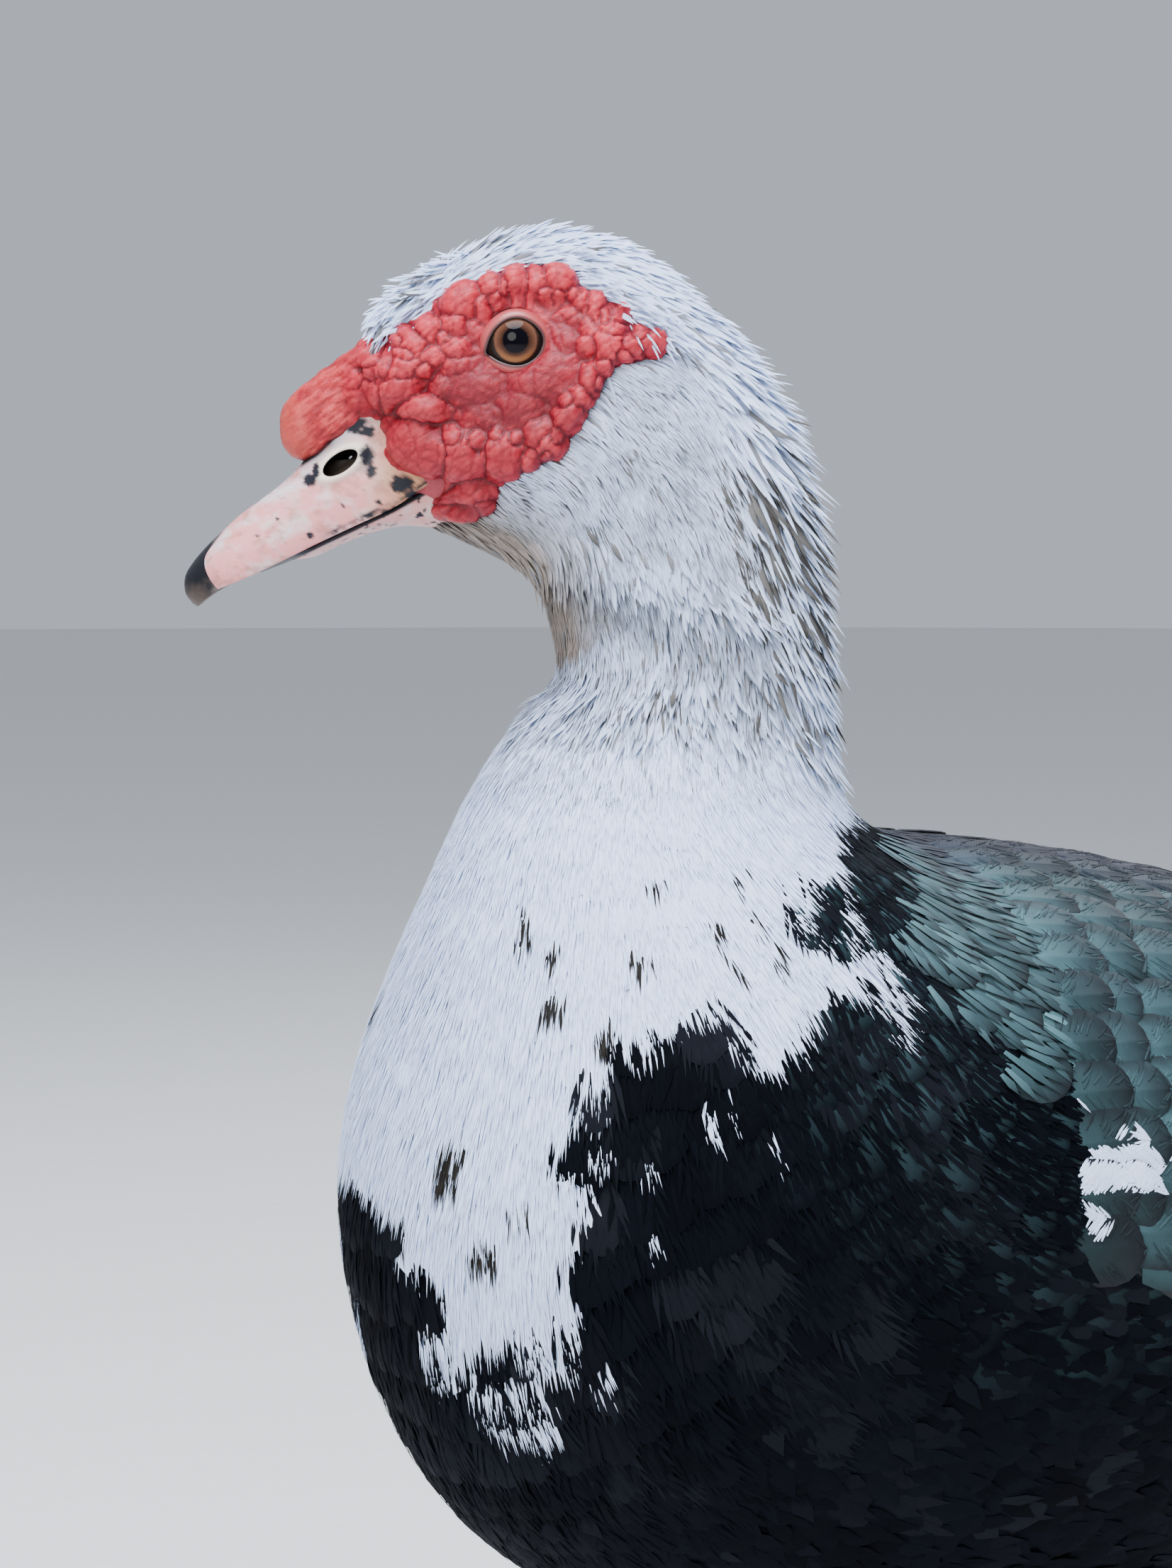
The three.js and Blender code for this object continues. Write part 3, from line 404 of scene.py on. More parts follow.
def inside(outline, points):
    """Which points lie inside a closed outline, both in the same plane."""
    x, z = points[:, 0, None], points[:, 1, None]
    x0, z0 = outline[:, 0], outline[:, 1]
    x1, z1 = np.roll(x0, -1), np.roll(z0, -1)
    crossing = (z0 > z) != (z1 > z)
    reach = x0 + (z - z0) * (x1 - x0) / np.where(z1 == z0, 1e-9, z1 - z0)
    return (crossing & (x < reach)).sum(axis=1) % 2 == 1


far_edge = WHITE_EDGE[WHITE_EDGE[:, 0] < MIRROR_FROM][::-1]
far_edge = np.stack([360 - far_edge[:, 0] + MIRROR_DEGREES * np.sin(5 * far_edge[:, 1]),
                     far_edge[:, 1] + MIRROR_ROWS * np.sin(far_edge[:, 0] / 9)], -1)
WHITE_OUTLINE = np.concatenate([[[-20, 14.5], [0, 14.5]], WHITE_EDGE, far_edge,
                                [[360, 14.5], [380, 14.5], [380, -5], [-20, -5]]])


def in_bib(s, angle):
    """Whether a place on the body lies within the white's edge."""
    return inside(WHITE_OUTLINE, np.stack([np.mod(-angle, 360), s], -1))


def is_white(s, angle):
    """Whether the plumage is white at a place on the body."""
    white = in_bib(s, angle)
    for row, bearing, long, wide, pale in SPOTS:
        white = np.where(((s - row) / long) ** 2 + ((angle - bearing) / wide) ** 2 < 1, pale, white)
    return white


def gloss(s, angle):
    """The green gloss of the back and scapulars, from 0 to 1, and the share of slate blue in it."""
    spread = np.abs(angle)
    over = np.interp(spread, [62, 84, 106], [1.0, 0.45, 0.0]) * np.clip((s - 15.2) / 1.2, 0, 1)
    slate = np.clip((38 - spread) / 20, 0, 1)
    return over, slate


def mixed(colors, added, share):
    """Linear colours with a share of others in them. Each may be one hex colour."""
    colors, added = (np.array(linear(given)) if isinstance(given, str) else given for given in (colors, added))
    share = np.reshape(share, (-1, 1))
    return colors * (1 - share) + added * share


def plumage(s, angle):
    """The plumage's linear colour where a feather roots."""
    shine, slate = gloss(s, angle)
    dark = mixed(BLACK, mixed(TEAL, SLATE, slate), 0.5 * shine)
    return np.where(is_white(s, angle)[:, None], linear(WHITE_WITH_SKY_CAST), dark)


def set_color(data, name, colors):
    """Opaque colours painted on a mesh's points."""
    colors = np.array(colors)
    colors[:, 3] = 1
    layer = data.color_attributes.new(name, "FLOAT_COLOR", "POINT")
    layer.data.foreach_set("color", np.ascontiguousarray(colors, dtype=np.float32).ravel())


# Skin under the coat: the coat's depth by row, thin on the head, deep on the breast
COAT_ROW = [0, 3, 8, 12, 15, 18, 25, 29]
COAT_DEPTH = [1.6, 2.4, 3.2, 3.6, 4.6, 5.5, 5.5, 4.0]
SKIN_COLUMNS = 120
SKIN_ROWS = 232


def coat_depth(s):
    return np.interp(s, COAT_ROW, COAT_DEPTH)


def skin_place(u, v):
    s = v * LAST_ROW
    return body(s, u * 360 - 180, -coat_depth(s))


def painted(tree, layer="marking", shade=None):
    """The colours painted on a piece's points, darkened or lightened by a shade."""
    paint = add_node(tree, "ShaderNodeAttribute", {"attribute_name": layer}).outputs["Color"]
    return paint if shade is None else mix_colors(tree, 1.0, paint, shade, "MULTIPLY")


def ranged(tree, value, low, high, first=0.0, last=1.0):
    """A value from first to last, as one from low to high."""
    return add_node(tree, "ShaderNodeMapRange", {"From Min": first, "From Max": last, "To Min": low, "To Max": high},
                    {"Value": value}).outputs[0]


def raised(tree, height, strength, depth, over=None):
    """The slope of a surface raised by a height, its depth in millimetres, over another slope."""
    links = {"Height": height} if over is None else {"Height": height, "Normal": over}
    return add_node(tree, "ShaderNodeBump", {"Strength": strength, "Distance": depth * MM}, links).outputs[0]


# Close down between the feathers, dull and soft, in the plumage's own colours
down_finish, tree, surface = finish_material("feather_down_over_skin")
fibres = grains(tree, 1.2, 4.0)
surface({"Roughness": 0.85}, {"Base Color": painted(tree, shade=ranged(tree, fibres, 0.55, 0.95)),
                              "Normal": raised(tree, fibres, 0.5, 0.5)})

# Thighs, joined into the skin: middle x, y, z and half widths along and across
THIGH = np.array([
    [86, 45, 176, 34, 24], [88, 46, 150, 38, 26], [90, 47, 118, 36, 25], [95, 48, 92, 25, 20],
    [100, 49, 76, 15, 14], [103, 50, 67, 10, 10], [105, 50, 60, 7.5, 7.5],
], float)
THIGH_COAT = 2.6
THIGH_TOP = 165
MOUTH_PINK = "#A8434B"
MOUTH_END_ROW = 3.6


def limb_place(rows, t, angle, rise, side):
    """Points round a limb: t counts its rows from the top, and angle runs from its front outwards."""
    row = read_rows(rows, t)
    bearing = np.radians(angle)
    return np.stack([row[..., 0] - (row[..., 3] + rise) * np.cos(bearing),
                     side * (row[..., 1] + (row[..., 4] + rise) * np.sin(bearing)), row[..., 2]], -1)


def with_modifier(made, kind, **settings):
    """A new mesh from a bmesh with one modifier applied to it."""
    work = as_object(as_mesh(made))
    modifier = work.modifiers.new("work", kind)
    for name, value in settings.items():
        setattr(modifier, name, value)
    graph = bpy.context.evaluated_depsgraph_get()
    result = bpy.data.meshes.new_from_object(work.evaluated_get(graph))
    bpy.data.objects.remove(work)
    return result


def joined_with(made, other, operation):
    """A bmesh joined with another one, or cut by it."""
    other = as_object(as_mesh(other))
    joined = with_modifier(made, "BOOLEAN", object=other, operation=operation, solver="EXACT")
    bpy.data.objects.remove(other)
    made = bmesh.new()
    made.from_mesh(joined)
    return made


skin_mesh = rolled(SKIN_COLUMNS, SKIN_ROWS, skin_place)
for side in (-1, 1):
    thigh = rolled(40, 40, lambda u, v: limb_place(
        THIGH, v * (len(THIGH) - 1), u * 360, -THIGH_COAT * np.clip(3 - 3 * v, 0.1, 1), side))
    skin_mesh = joined_with(skin_mesh, thigh, "UNION")
skin = add_piece(skin_mesh, "body_skin", down_finish)
spots = take_spots(skin.data)
skin_colors = plumage(spots[:, 1] * LAST_ROW, spots[:, 0] * 360 - 180)
skin_places = (mesh_points(skin.data) - BIRD_ORIGIN) / MM
under_bill = (spots[:, 1] * LAST_ROW < MOUTH_END_ROW) & (np.abs(spots[:, 0] - 0.5) > 0.2)
skin_colors[under_bill] = linear(MOUTH_PINK)
skin_colors[(skin_places[:, 2] < THIGH_TOP) & (skin_places[:, 0] > 40)] = linear(BLACK)
set_color(skin.data, "marking", skin_colors)
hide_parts("head", "neck_upper", "neck_lower", "breast", "belly", "rump", "thigh_left", "thigh_right")

# Bill: a horny sheath over the jaws, pinkish and blotched with black, with a dark nail at its tip.
# The nostrils are open from side to side, each in a raised cream rim.

# Rows from root to tip in the head's plane: ridge x, ridge z, lip x, lip z, half width
UPPER_BILL = np.array([
    [-78.0, 418.0, -62.0, 389.0, 13.6],
    [-83.0, 414.0, -68.0, 385.5, 14.3],
    [-91.0, 405.0, -77.0, 379.5, 14.6],
    [-98.5, 394.5, -87.0, 374.8, 14.2],
    [-105.0, 387.0, -96.0, 370.6, 13.3],
    [-111.5, 381.8, -104.5, 366.4, 12.9],
    [-118.0, 377.0, -112.0, 362.8, 13.1],
    [-123.5, 371.6, -119.0, 359.8, 12.6],
    [-127.6, 367.0, -122.6, 358.4, 10.6],
    [-129.6, 362.0, -126.0, 356.6, 6.0],
])
LOWER_BILL = np.array([
    [-62.0, 386.5, -60.0, 373.8, 11.8],
    [-68.5, 383.5, -67.0, 373.4, 12.4],
    [-77.0, 378.8, -76.0, 373.6, 12.6],
    [-87.0, 374.1, -86.0, 371.0, 12.2],
    [-96.0, 369.9, -95.4, 366.9, 11.6],
    [-104.5, 365.7, -104.0, 363.0, 11.0],
    [-112.5, 361.9, -112.0, 359.9, 9.0],
])
NAIL = np.array([
    [-122.2, 373.2, -118.4, 361.4, 9.6],
    [-125.9, 369.6, -121.4, 358.6, 10.6],
    [-129.4, 365.6, -124.4, 356.8, 9.4],
    [-131.8, 361.6, -126.6, 355.2, 7.0],
    [-131.9, 357.4, -128.0, 354.0, 4.2],
    [-130.2, 354.6, -128.6, 353.6, 1.6],
])
NOSTRIL_PLACE = np.array([-90.8, 391.0])
NOSTRIL_HALVES = (5.2, 2.5)
NOSTRIL_TILT = math.radians(33)
NOSTRIL_STEP = 0.8
NOSTRIL_SLIT = 0.12
RIM_WIDTH = 1.1
RIM_RISE = 0.9

# Black blotches of the horn: x, z, half length, half height
BLOTCHES = np.array([
    [-87.4, 401.2, 3.6, 2.6], [-84.0, 399.0, 2.4, 1.5], [-84.0, 392.6, 1.8, 3.2], [-82.8, 388.8, 1.4, 1.8],
    [-98.8, 386.6, 1.7, 1.7], [-97.2, 388.8, 1.0, 2.2], [-77.8, 396.0, 1.0, 1.1], [-74.8, 385.6, 3.1, 2.4],
    [-71.8, 382.8, 2.8, 1.1], [-80.7, 380.9, 0.8, 0.6], [-78.9, 378.4, 1.4, 0.8], [-98.7, 372.3, 1.1, 0.9],
    [-76.4, 379.4, 1.2, 0.5], [-107.2, 376.6, 0.5, 0.4], [-90.0, 380.0, 0.4, 0.4], [-112.4, 372.2, 0.5, 0.3],
])


def jaw(table, domed):
    """A place on a jaw's sheath: u goes round from the ridge, v from root to tip."""
    def place(u, v):
        top_x, top_z, lip_x, lip_z, half = np.moveaxis(read_rows(table, v * (len(table) - 1)), -1, 0)
        bearing = 2 * math.pi * u
        rise = np.cos(bearing)
        share = np.clip((rise + 0.3) / 1.3, 0, 1) if domed else np.clip((rise + 1) / 1.3, 0, 1)
        return np.stack([lip_x + (top_x - lip_x) * share, half * np.sin(bearing),
                         lip_z + (top_z - lip_z) * share], -1)
    return place


def nostril_axes(points):
    """Places from the nostril's middle along and over it, in its half lengths and half widths."""
    across = np.stack([points[:, 0], points[:, 2]], -1) - NOSTRIL_PLACE
    c, s = math.cos(NOSTRIL_TILT), math.sin(NOSTRIL_TILT)
    return ((across[:, 0] * c + across[:, 1] * s) / NOSTRIL_HALVES[0],
            (-across[:, 0] * s + across[:, 1] * c) / NOSTRIL_HALVES[1])


def nostril_reach(points):
    """How far out of the nostril's edge a point lies, in its own half widths; 1 is the edge."""
    return np.hypot(*nostril_axes(points))


def upper_place(u, v):
    points = jaw(UPPER_BILL, True)(u, v)
    side = np.sign(points[:, 1])
    out = (nostril_reach(points) - 1) * NOSTRIL_HALVES[1]
    rim = np.exp(-((out - 0.5 * RIM_WIDTH) / (0.6 * RIM_WIDTH)) ** 2)
    hollow = np.exp(-((out - 2.6) / 1.6) ** 2)
    points[:, 1] += side * (RIM_RISE * rim - 0.5 * hollow) * (np.abs(points[:, 1]) > 2)
    below = np.abs(u - 0.5)
    lip = np.clip((0.16 - below) / 0.04, 0, 1) * np.clip((below - 0.10) / 0.04, 0, 1)
    points[:, 1] += side * 0.45 * lip
    return points


def scatter_noise(points, size, seed=0.0, octaves=3):
    """Smooth noise from -1 to 1 at points, with features of the size given in millimetres."""
    return np.array([noise.fractal(Vector(p) / size + Vector((seed, seed, seed)), 0.8, 2.1, octaves)
                     for p in points])


def turn_mesh(data):
    """A mesh of the head's plane, turned to where the bird looks."""
    move_points(data, turned(mesh_points(data)))
    return data


def nostril_tool(share, depth, y):
    """An upright oval cutter in the nostril's place: its share of the opening, length and middle."""
    made = bmesh.new()
    bmesh.ops.create_cone(made, cap_ends=True, segments=48, radius1=1, radius2=1, depth=depth)
    walls = [edge for edge in made.edges if abs(edge.verts[0].co.z - edge.verts[1].co.z) > depth / 2]
    bmesh.ops.subdivide_edges(made, edges=walls, cuts=int(depth / NOSTRIL_STEP))
    bmesh.ops.scale(made, verts=made.verts, vec=(NOSTRIL_HALVES[0] * share, NOSTRIL_HALVES[1] * share, 1))
    bmesh.ops.rotate(made, verts=made.verts, matrix=Matrix.Rotation(math.pi / 2, 3, "X"))
    bmesh.ops.rotate(made, verts=made.verts, matrix=Matrix.Rotation(-NOSTRIL_TILT, 3, "Y"))
    shift = (1 - share) * NOSTRIL_HALVES[0] * 0.55
    bmesh.ops.translate(made, verts=made.verts, vec=(
        NOSTRIL_PLACE[0] + shift * math.cos(NOSTRIL_TILT), y, NOSTRIL_PLACE[1] + shift * math.sin(NOSTRIL_TILT)))
    return made


HORN_PINK = "#D68C8A"
# Pale of the horn's own mottles, and of the painted highlight along its ridge
HORN_PALE_AND_HIGHLIGHT = "#CACDD2"
HORN_TAN = "#C08E6C"
HORN_RIM = "#DFD0BE"
HORN_BLACK = "#1D1E24"
HORN_CRAZE = "#8C6A5E"
HORN_STAIN = "#9C6C5C"
# Painted shade inside the nostrils, and painted light on their floors
NOSTRIL_SHADE = "#0E0A0A"
NOSTRIL_LIT_FLOOR = "#75695F"
# Grey of the painted shadow over the nostril, below the knob
HORN_KNOB_SHADOW = "#7D7978"
# The knob's lower edge on the bill: x and z
KNOB_EDGE = ([-101.3, -97.0, -93.6, -91.7, -90.0], [390.8, 393.3, 396.5, 398.8, 401.8])


def nostril_depth(points):
    """How deep points lie in from the uncut bill's side."""
    depth = np.zeros(len(points))
    for k, (x, y, z) in enumerate(points):
        hit = whole_bill.ray_cast(Vector((x, math.copysign(60, y), z)), Vector((0, -math.copysign(1, y), 0)))[0]
        if hit is not None:
            depth[k] = abs(hit.y) - abs(y)
    return depth


def horn_colors(points):
    """The upper jaw's colours: pink sides, pale mottles and a painted highlight along the ridge, tan root, cream rims,
    black blotches, and painted shade in the nostrils and under the knob.
    """
    # Painted highlight: paler along the ridge's top, as the sky's light on it; the pale mottles are the horn's own
    ridge = np.clip((points[:, 2] - (386 + 0.62 * (points[:, 0] + 100)) + 3) / 12, 0, 1)
    root = np.clip((points[:, 0] + 88) / 14, 0, 1)
    mottle = scatter_noise(points, 5.0, 3.0)
    fine = scatter_noise(points, 1.1, 7.0)
    colors = mixed(HORN_PINK, HORN_PALE_AND_HIGHLIGHT, np.clip(0.75 * ridge + 0.85 * mottle + 0.1, 0, 0.9))
    colors = mixed(colors, HORN_TAN, np.clip(root + 0.3 * mottle, 0, 1))
    craze = np.clip(1 - np.abs(scatter_noise(points * [0.6, 1, 1], 3.2, 15.0)) / 0.035, 0, 1)
    craze *= np.clip(0.3 + 2 * scatter_noise(points, 9.0, 19.0), 0, 1)
    colors = mixed(colors, HORN_CRAZE, 0.6 * craze)
    stain = np.clip(2.4 * scatter_noise(points * [1, 1, 1.6], 4.2, 31.0, 5) - 0.25, 0, 1)
    colors = mixed(colors, HORN_STAIN, 0.5 * stain)
    out = (nostril_reach(points) - 1) * NOSTRIL_HALVES[1]
    along, over = nostril_axes(points)
    # Painted shadow: grey over the nostril, where the knob shades the bill
    knob_shadow = np.exp(-((along + 0.2) / 1.5) ** 2 - ((over - 2.1) / 1.1) ** 2) * np.clip(0.9 + 0.6 * mottle, 0, 1)
    colors = mixed(colors, HORN_KNOB_SHADOW, 0.75 * knob_shadow)
    colors = mixed(colors, HORN_RIM, np.exp(-((out - 0.5) / 0.9) ** 2) * (np.abs(points[:, 1]) > 2))
    black = np.zeros(len(points))
    shift = np.where(points[:, 1] > 0, 1.6, 0.0)
    for x, z, long, high in BLOTCHES:
        reach = np.hypot((points[:, 0] - x + shift) / long, (points[:, 2] - z + shift) / high)
        black = np.maximum(black, np.clip((1.15 + 0.3 * fine - reach) / 0.3, 0, 1))
    lip_z = np.interp(-points[:, 0], -UPPER_BILL[:, 2], UPPER_BILL[:, 3])
    edge = np.abs(points[:, 2] - lip_z - 1.1) / 0.75
    line = np.clip(1.4 - edge + 0.9 * fine, 0, 1) * np.clip((points[:, 0] + 98) / 6, 0, 1)
    black = np.maximum(black, line * np.clip(0.6 + 1.2 * mottle, 0, 1))
    # Painted shade: black in the groove where the knob meets the bill
    groove_shade = np.clip(1.3 - np.abs(points[:, 2] - np.interp(points[:, 0], *KNOB_EDGE)), 0, 1)
    black = np.maximum(black, groove_shade * (points[:, 0] > -101.5) * (points[:, 0] < -89))
    colors = mixed(colors, HORN_BLACK, black * np.clip((out + 0.1) / 0.4, 0, 1))
    # Painted shade deep in the nostril's hollow: black above, lighter on its lit floor below
    within = (out < 0.1) * np.clip((nostril_depth(points) - 0.4) / 1.2, 0, 1)
    lit_floor_share = 0.85 * np.clip(-0.1 - 1.1 * over, 0, 1)
    return mixed(colors, mixed(NOSTRIL_SHADE, NOSTRIL_LIT_FLOOR, lit_floor_share), within)


# A thin hard sheath with a soft gloss, finely grained and pitted
horn_finish, tree, surface = finish_material("polished_bill_horn")
grain = grains(tree, 1.6, 5.0, 0.6)
pits = grains(tree, 0.5, 2.0)
surface({"Specular IOR Level": 0.2, "Subsurface Weight": 0.12, "Subsurface Scale": 2 * MM,
         "Subsurface Radius": (1.0, 0.4, 0.25)},
        {"Base Color": painted(tree), "Roughness": ranged(tree, grain, 0.32, 0.55),
         "Normal": raised(tree, pits, 0.2, 0.1, raised(tree, grain, 0.35, 0.25))})

# Each nostril is a hollow in its side, and a narrow slit runs through from one to the other
upper_made = rolled(150, 150, upper_place)
whole_bill = BVHTree.FromBMesh(upper_made)
for share, depth, y in ((1.0, 30.0, 18.5), (1.0, 30.0, -18.5), (NOSTRIL_SLIT, 60.0, 0.0)):
    upper_made = joined_with(upper_made, nostril_tool(share, depth, y), "DIFFERENCE")
upper_mesh = as_mesh(upper_made)
set_color(upper_mesh, "marking", horn_colors(mesh_points(upper_mesh)))
upper_ground = ray_tree(upper_mesh)
upper_bill = add_piece(turn_mesh(upper_mesh), "upper_bill", horn_finish)
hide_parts("bill_upper")

# Lower jaw: narrower than the upper one and tucked up against it, more so at its front.
# It is of the same thin horn, and its rim lies inside the upper bill's.
LOWER_NARROW, LOWER_TUCK, FRONT_TUCK = 0.93, 0.8, 1.8
LOWER_PINK = "#D0908A"
LOWER_PALE = "#C9A9A4"


def lower_place(u, v):
    points = jaw(LOWER_BILL, False)(u, v)
    points[:, 1] *= LOWER_NARROW
    points[:, 2] += LOWER_TUCK + FRONT_TUCK * np.clip((-98 - points[:, 0]) / 6, 0, 1)
    return points


lower_data = as_mesh(rolled(110, 110, lower_place))
lower_points = mesh_points(lower_data)
pink = np.clip(0.5 + 0.8 * scatter_noise(lower_points, 4.0, 11.0), 0, 1)
dark_share = np.clip((scatter_noise(lower_points, 2.2, 5.0) - 0.42) / 0.12, 0, 1)
lip = np.interp(-lower_points[:, 0], -LOWER_BILL[:, 0], LOWER_BILL[:, 1]) + LOWER_TUCK - lower_points[:, 2]
# Painted shade: dark along the jaw's top edge, where it tucks under the upper jaw; the scattered dark flecks are the
# horn's own
dark_share = np.maximum(dark_share, np.clip((0.9 + LOWER_TUCK - lip) / 0.5, 0, 1))
set_color(lower_data, "marking", mixed(mixed(LOWER_PALE, LOWER_PINK, pink), HORN_BLACK, dark_share))
lower_bill = add_piece(turn_mesh(lower_data), "lower_bill", horn_finish)
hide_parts("bill_lower")

# Nail: black above, worn brown at its tip and grey where it grows from the bill.
# It is a shield of hard horn, fixed over the end of the upper bill.
NAIL_BLACK = "#131419"
NAIL_BROWN = "#4A3D35"
NAIL_GREY = "#625B59"
nail_data = as_mesh(rolled(64, 48, jaw(NAIL, True)))
nail_points = mesh_points(nail_data)
brown = np.clip((360.5 - nail_points[:, 2]) / 5 + 0.5 * scatter_noise(nail_points, 2.0, 2.0), 0, 1)
grey = np.clip((nail_points[:, 0] + 124.6) / 1.6 + 0.5 * scatter_noise(nail_points, 1.4, 4.0), 0, 1)
set_color(nail_data, "marking", mixed(mixed(NAIL_BLACK, NAIL_BROWN, brown), NAIL_GREY, grey))
nail = add_piece(turn_mesh(nail_data), "nail", horn_finish)
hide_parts("bill_nail")

# Face: the bare red skin of both cheeks, brow and knob, thick with round caruncles.
# One closed skin: bulbs and a thin bed between them, melted together, then wrinkled.

# Its outline on a cheek, in the head's plane: x, z
FACE_OUTLINE = np.array([
    [-86.5, 419.5], [-80, 423.8], [-75.4, 426.4], [-69, 428.8], [-66.5, 431], [-65.0, 435.0], [-60, 437.4],
    [-54.8, 437.8], [-52.6, 440.4], [-45.0, 442.2], [-38, 442.6], [-32.5, 441.5], [-30.4, 437.4],
    [-25.5, 434.2], [-21.0, 431.6], [-16.8, 428.2], [-10.0, 424.8], [-6.9, 422.9], [-8.0, 419.4],
    [-13.5, 418.0], [-20.0, 418.0], [-23.2, 413.5], [-25.2, 407.8], [-29.0, 403.0], [-32.6, 397.2],
    [-36.0, 392.6], [-44.8, 389.4], [-50.4, 386.8], [-51.8, 379.3], [-59.9, 376.2], [-68.2, 376.6],
    [-66.0, 381.0], [-62.6, 384.4], [-64.4, 387.0], [-70.0, 388.2], [-76.0, 390.0], [-78.6, 393.0],
    [-77.6, 397.6], [-80.5, 401.6], [-86.0, 404.4], [-90.5, 408.0], [-90.0, 414.0],
])

# Caruncles: x, z, half length, half width, tilt in degrees, height over the cheek
CARUNCLES = [
    (-69.9, 394.8, 8, 5.9, -25, 4.5), (-59, 393.2, 5.9, 6.9, 0, 5.5), (-48.4, 393.2, 5.3, 6.1, 0, 5.5),
    (-42.3, 391.6, 2.7, 2.9, 0, 4), (-36.9, 395.3, 3.5, 4, 50, 4.5), (-40.4, 398.5, 4.5, 3.2, 30, 3.5),
    (-31.9, 403.3, 3.2, 4.8, -40, 4.5), (-29.2, 407.6, 3.2, 3.2, 0, 4), (-26.5, 412.4, 2.8, 4, 10, 4),
    (-22.8, 415.6, 2.4, 2.4, 0, 4), (-21.8, 421.4, 4.5, 5.3, 30, 5.5), (-21.2, 425.2, 3.7, 2.9, 0, 4.5),
    (-15.4, 420.9, 3.2, 3.2, 0, 4.5), (-10.6, 422, 3.5, 3.2, 0, 4.5), (-17.5, 418.2, 2.7, 2.1, 0, 4),
    (-27.6, 420.6, 2.7, 2.9, 0, 3.5), (-19.1, 429.4, 2.9, 2.7, 0, 3), (-34.5, 437.4, 4.5, 3.5, -35, 5.5),
    (-39.9, 436.4, 3.2, 4, 0, 4.5), (-45.5, 437.2, 3.2, 3.7, 0, 5), (-51.9, 435.8, 3.2, 3.2, 0, 4.5),
    (-50.5, 433.4, 2.7, 2.1, 0, 4), (-38.3, 434.2, 2.7, 2.4, 0, 4), (-34.5, 434, 2.1, 2.1, 0, 4),
    (-28.9, 432.1, 2.4, 3.2, 0, 4), (-25, 430.5, 2.7, 4.3, 0, 4.5), (-27.3, 426.2, 2.4, 2.7, 0, 3),
    (-59, 432.1, 5.3, 4.5, 40, 5), (-54.3, 431, 1.9, 3.2, 0, 3.5), (-60.9, 426.8, 3.7, 3.2, 0, 4),
    (-67.2, 424.7, 4, 3.2, -30, 5), (-71.5, 421, 5.9, 3.2, -30, 5), (-67.2, 418.3, 4.3, 3.2, -30, 4.5),
    (-61.2, 420.4, 3.7, 2.9, 0, 3.5), (-76.4, 422.6, 1.9, 1.9, 0, 3.5), (-83.6, 417.9, 3.2, 2.7, 0, 4),
    (-87.4, 412.5, 2.4, 2.4, 0, 4), (-75.9, 414.6, 9.7, 3.8, 10, 5.5), (-83.6, 408.2, 4.3, 4.3, 0, 7),
    (-76.4, 410.3, 7, 4.3, 25, 6), (-69.3, 404.9, 5.9, 3.7, -5, 5), (-60.7, 415.6, 4.3, 2.4, 0, 2.5),
    (-56.9, 410.2, 6.9, 4.3, 0, 1.8), (-38.3, 412.4, 8.5, 4.8, 30, 2.2), (-53.2, 402.8, 6.4, 3.2, 0, 1.8),
    (-45.2, 404.9, 6.9, 4.3, 30, 2.2), (-56.4, 383.1, 4.8, 2.9, 0, 4), (-59, 377.7, 4.8, 1.9, 10, 3),
    (-53.7, 379.3, 2.4, 2.1, 0, 3), (-30.8, 434.2, 2, 2.2, 0, 3.8), (-48.7, 435.6, 1.8, 2.9, 0, 3.8),
    (-35.1, 397.5, 2, 2.7, 0, 3.4), (-63.9, 410.3, 3.2, 2.7, 0, 2.6), (-24.4, 411.3, 1.6, 2.1, 0, 3.4),
    (-61.5, 397.5, 3.2, 3.2, 0, 3.4), (-55.9, 396.4, 2.7, 3.7, 0, 4.0), (-32.4, 407, 2.4, 2.4, 0, 3.2),
    (-22.8, 428.4, 2.1, 2.7, 0, 3.4), (-64.5, 423.1, 2.4, 2.1, 0, 3.6), (-73.7, 418.9, 3.2, 2.4, -20, 5.2),
    (-37.2, 393.2, 2.1, 2.1, 0, 4), (-56.4, 425.2, 1.9, 2.7, 20, 2), (-30.8, 428.4, 2.7, 2.1, -30, 2.2),
    (-32.4, 422, 2.1, 3.2, 0, 1.8), (-50.5, 398.5, 2.1, 2.7, 0, 3.2), (-45.2, 397.5, 2.4, 2.4, 0, 3.2),
    (-13.2, 424.1, 2.4, 1.9, 0, 3.6), (-69.3, 414.6, 3.2, 2.4, 10, 4.8), (-79.2, 414.6, 4.8, 3.8, 15, 7),
]

# Bulbs of the knob on the bill's root: x, y, z and the three half sizes
KNOB = [
    (-98.6, 0, 400.4, 8.7, 8.8, 9.4), (-95.0, 0, 404.6, 8.8, 9.0, 8.4), (-90.6, 0, 408.8, 8.4, 9.4, 7.6),
    (-86.0, 0, 413.0, 7.8, 10.4, 7.2), (-80.5, 0, 417.6, 7.6, 11.6, 7.0), (-74.0, 0, 421.5, 8.0, 13.0, 6.6),
    (-91.0, 4.8, 403.4, 7.4, 5.6, 7.4), (-91.0, -4.8, 403.4, 7.4, 5.6, 7.4),
]
BED_PITCH = 1.25
BED_BALL = 2.3
BED_SINK = 1.5
EYE_RADIUS = 8.8
EYE_CLEARANCE = 8.4
FLESH_VOXEL = 0.6
PEBBLE = 2.6
CARUNCLE_SPREAD = 1.2
DOME_REACH = 2.2
DOME_RISE = 0.5
CRACK_WIDTH = 0.36
MELT_TURNS = 24
KNOB_TURNS = 30
RIGHT_SHIFT = [0.7, 0, 0.4]

head_ground = ray_tree(as_mesh(rolled(96, 180, lambda u, v: head_plane(body(v * 12, u * 360 - 180, 0.0)))))


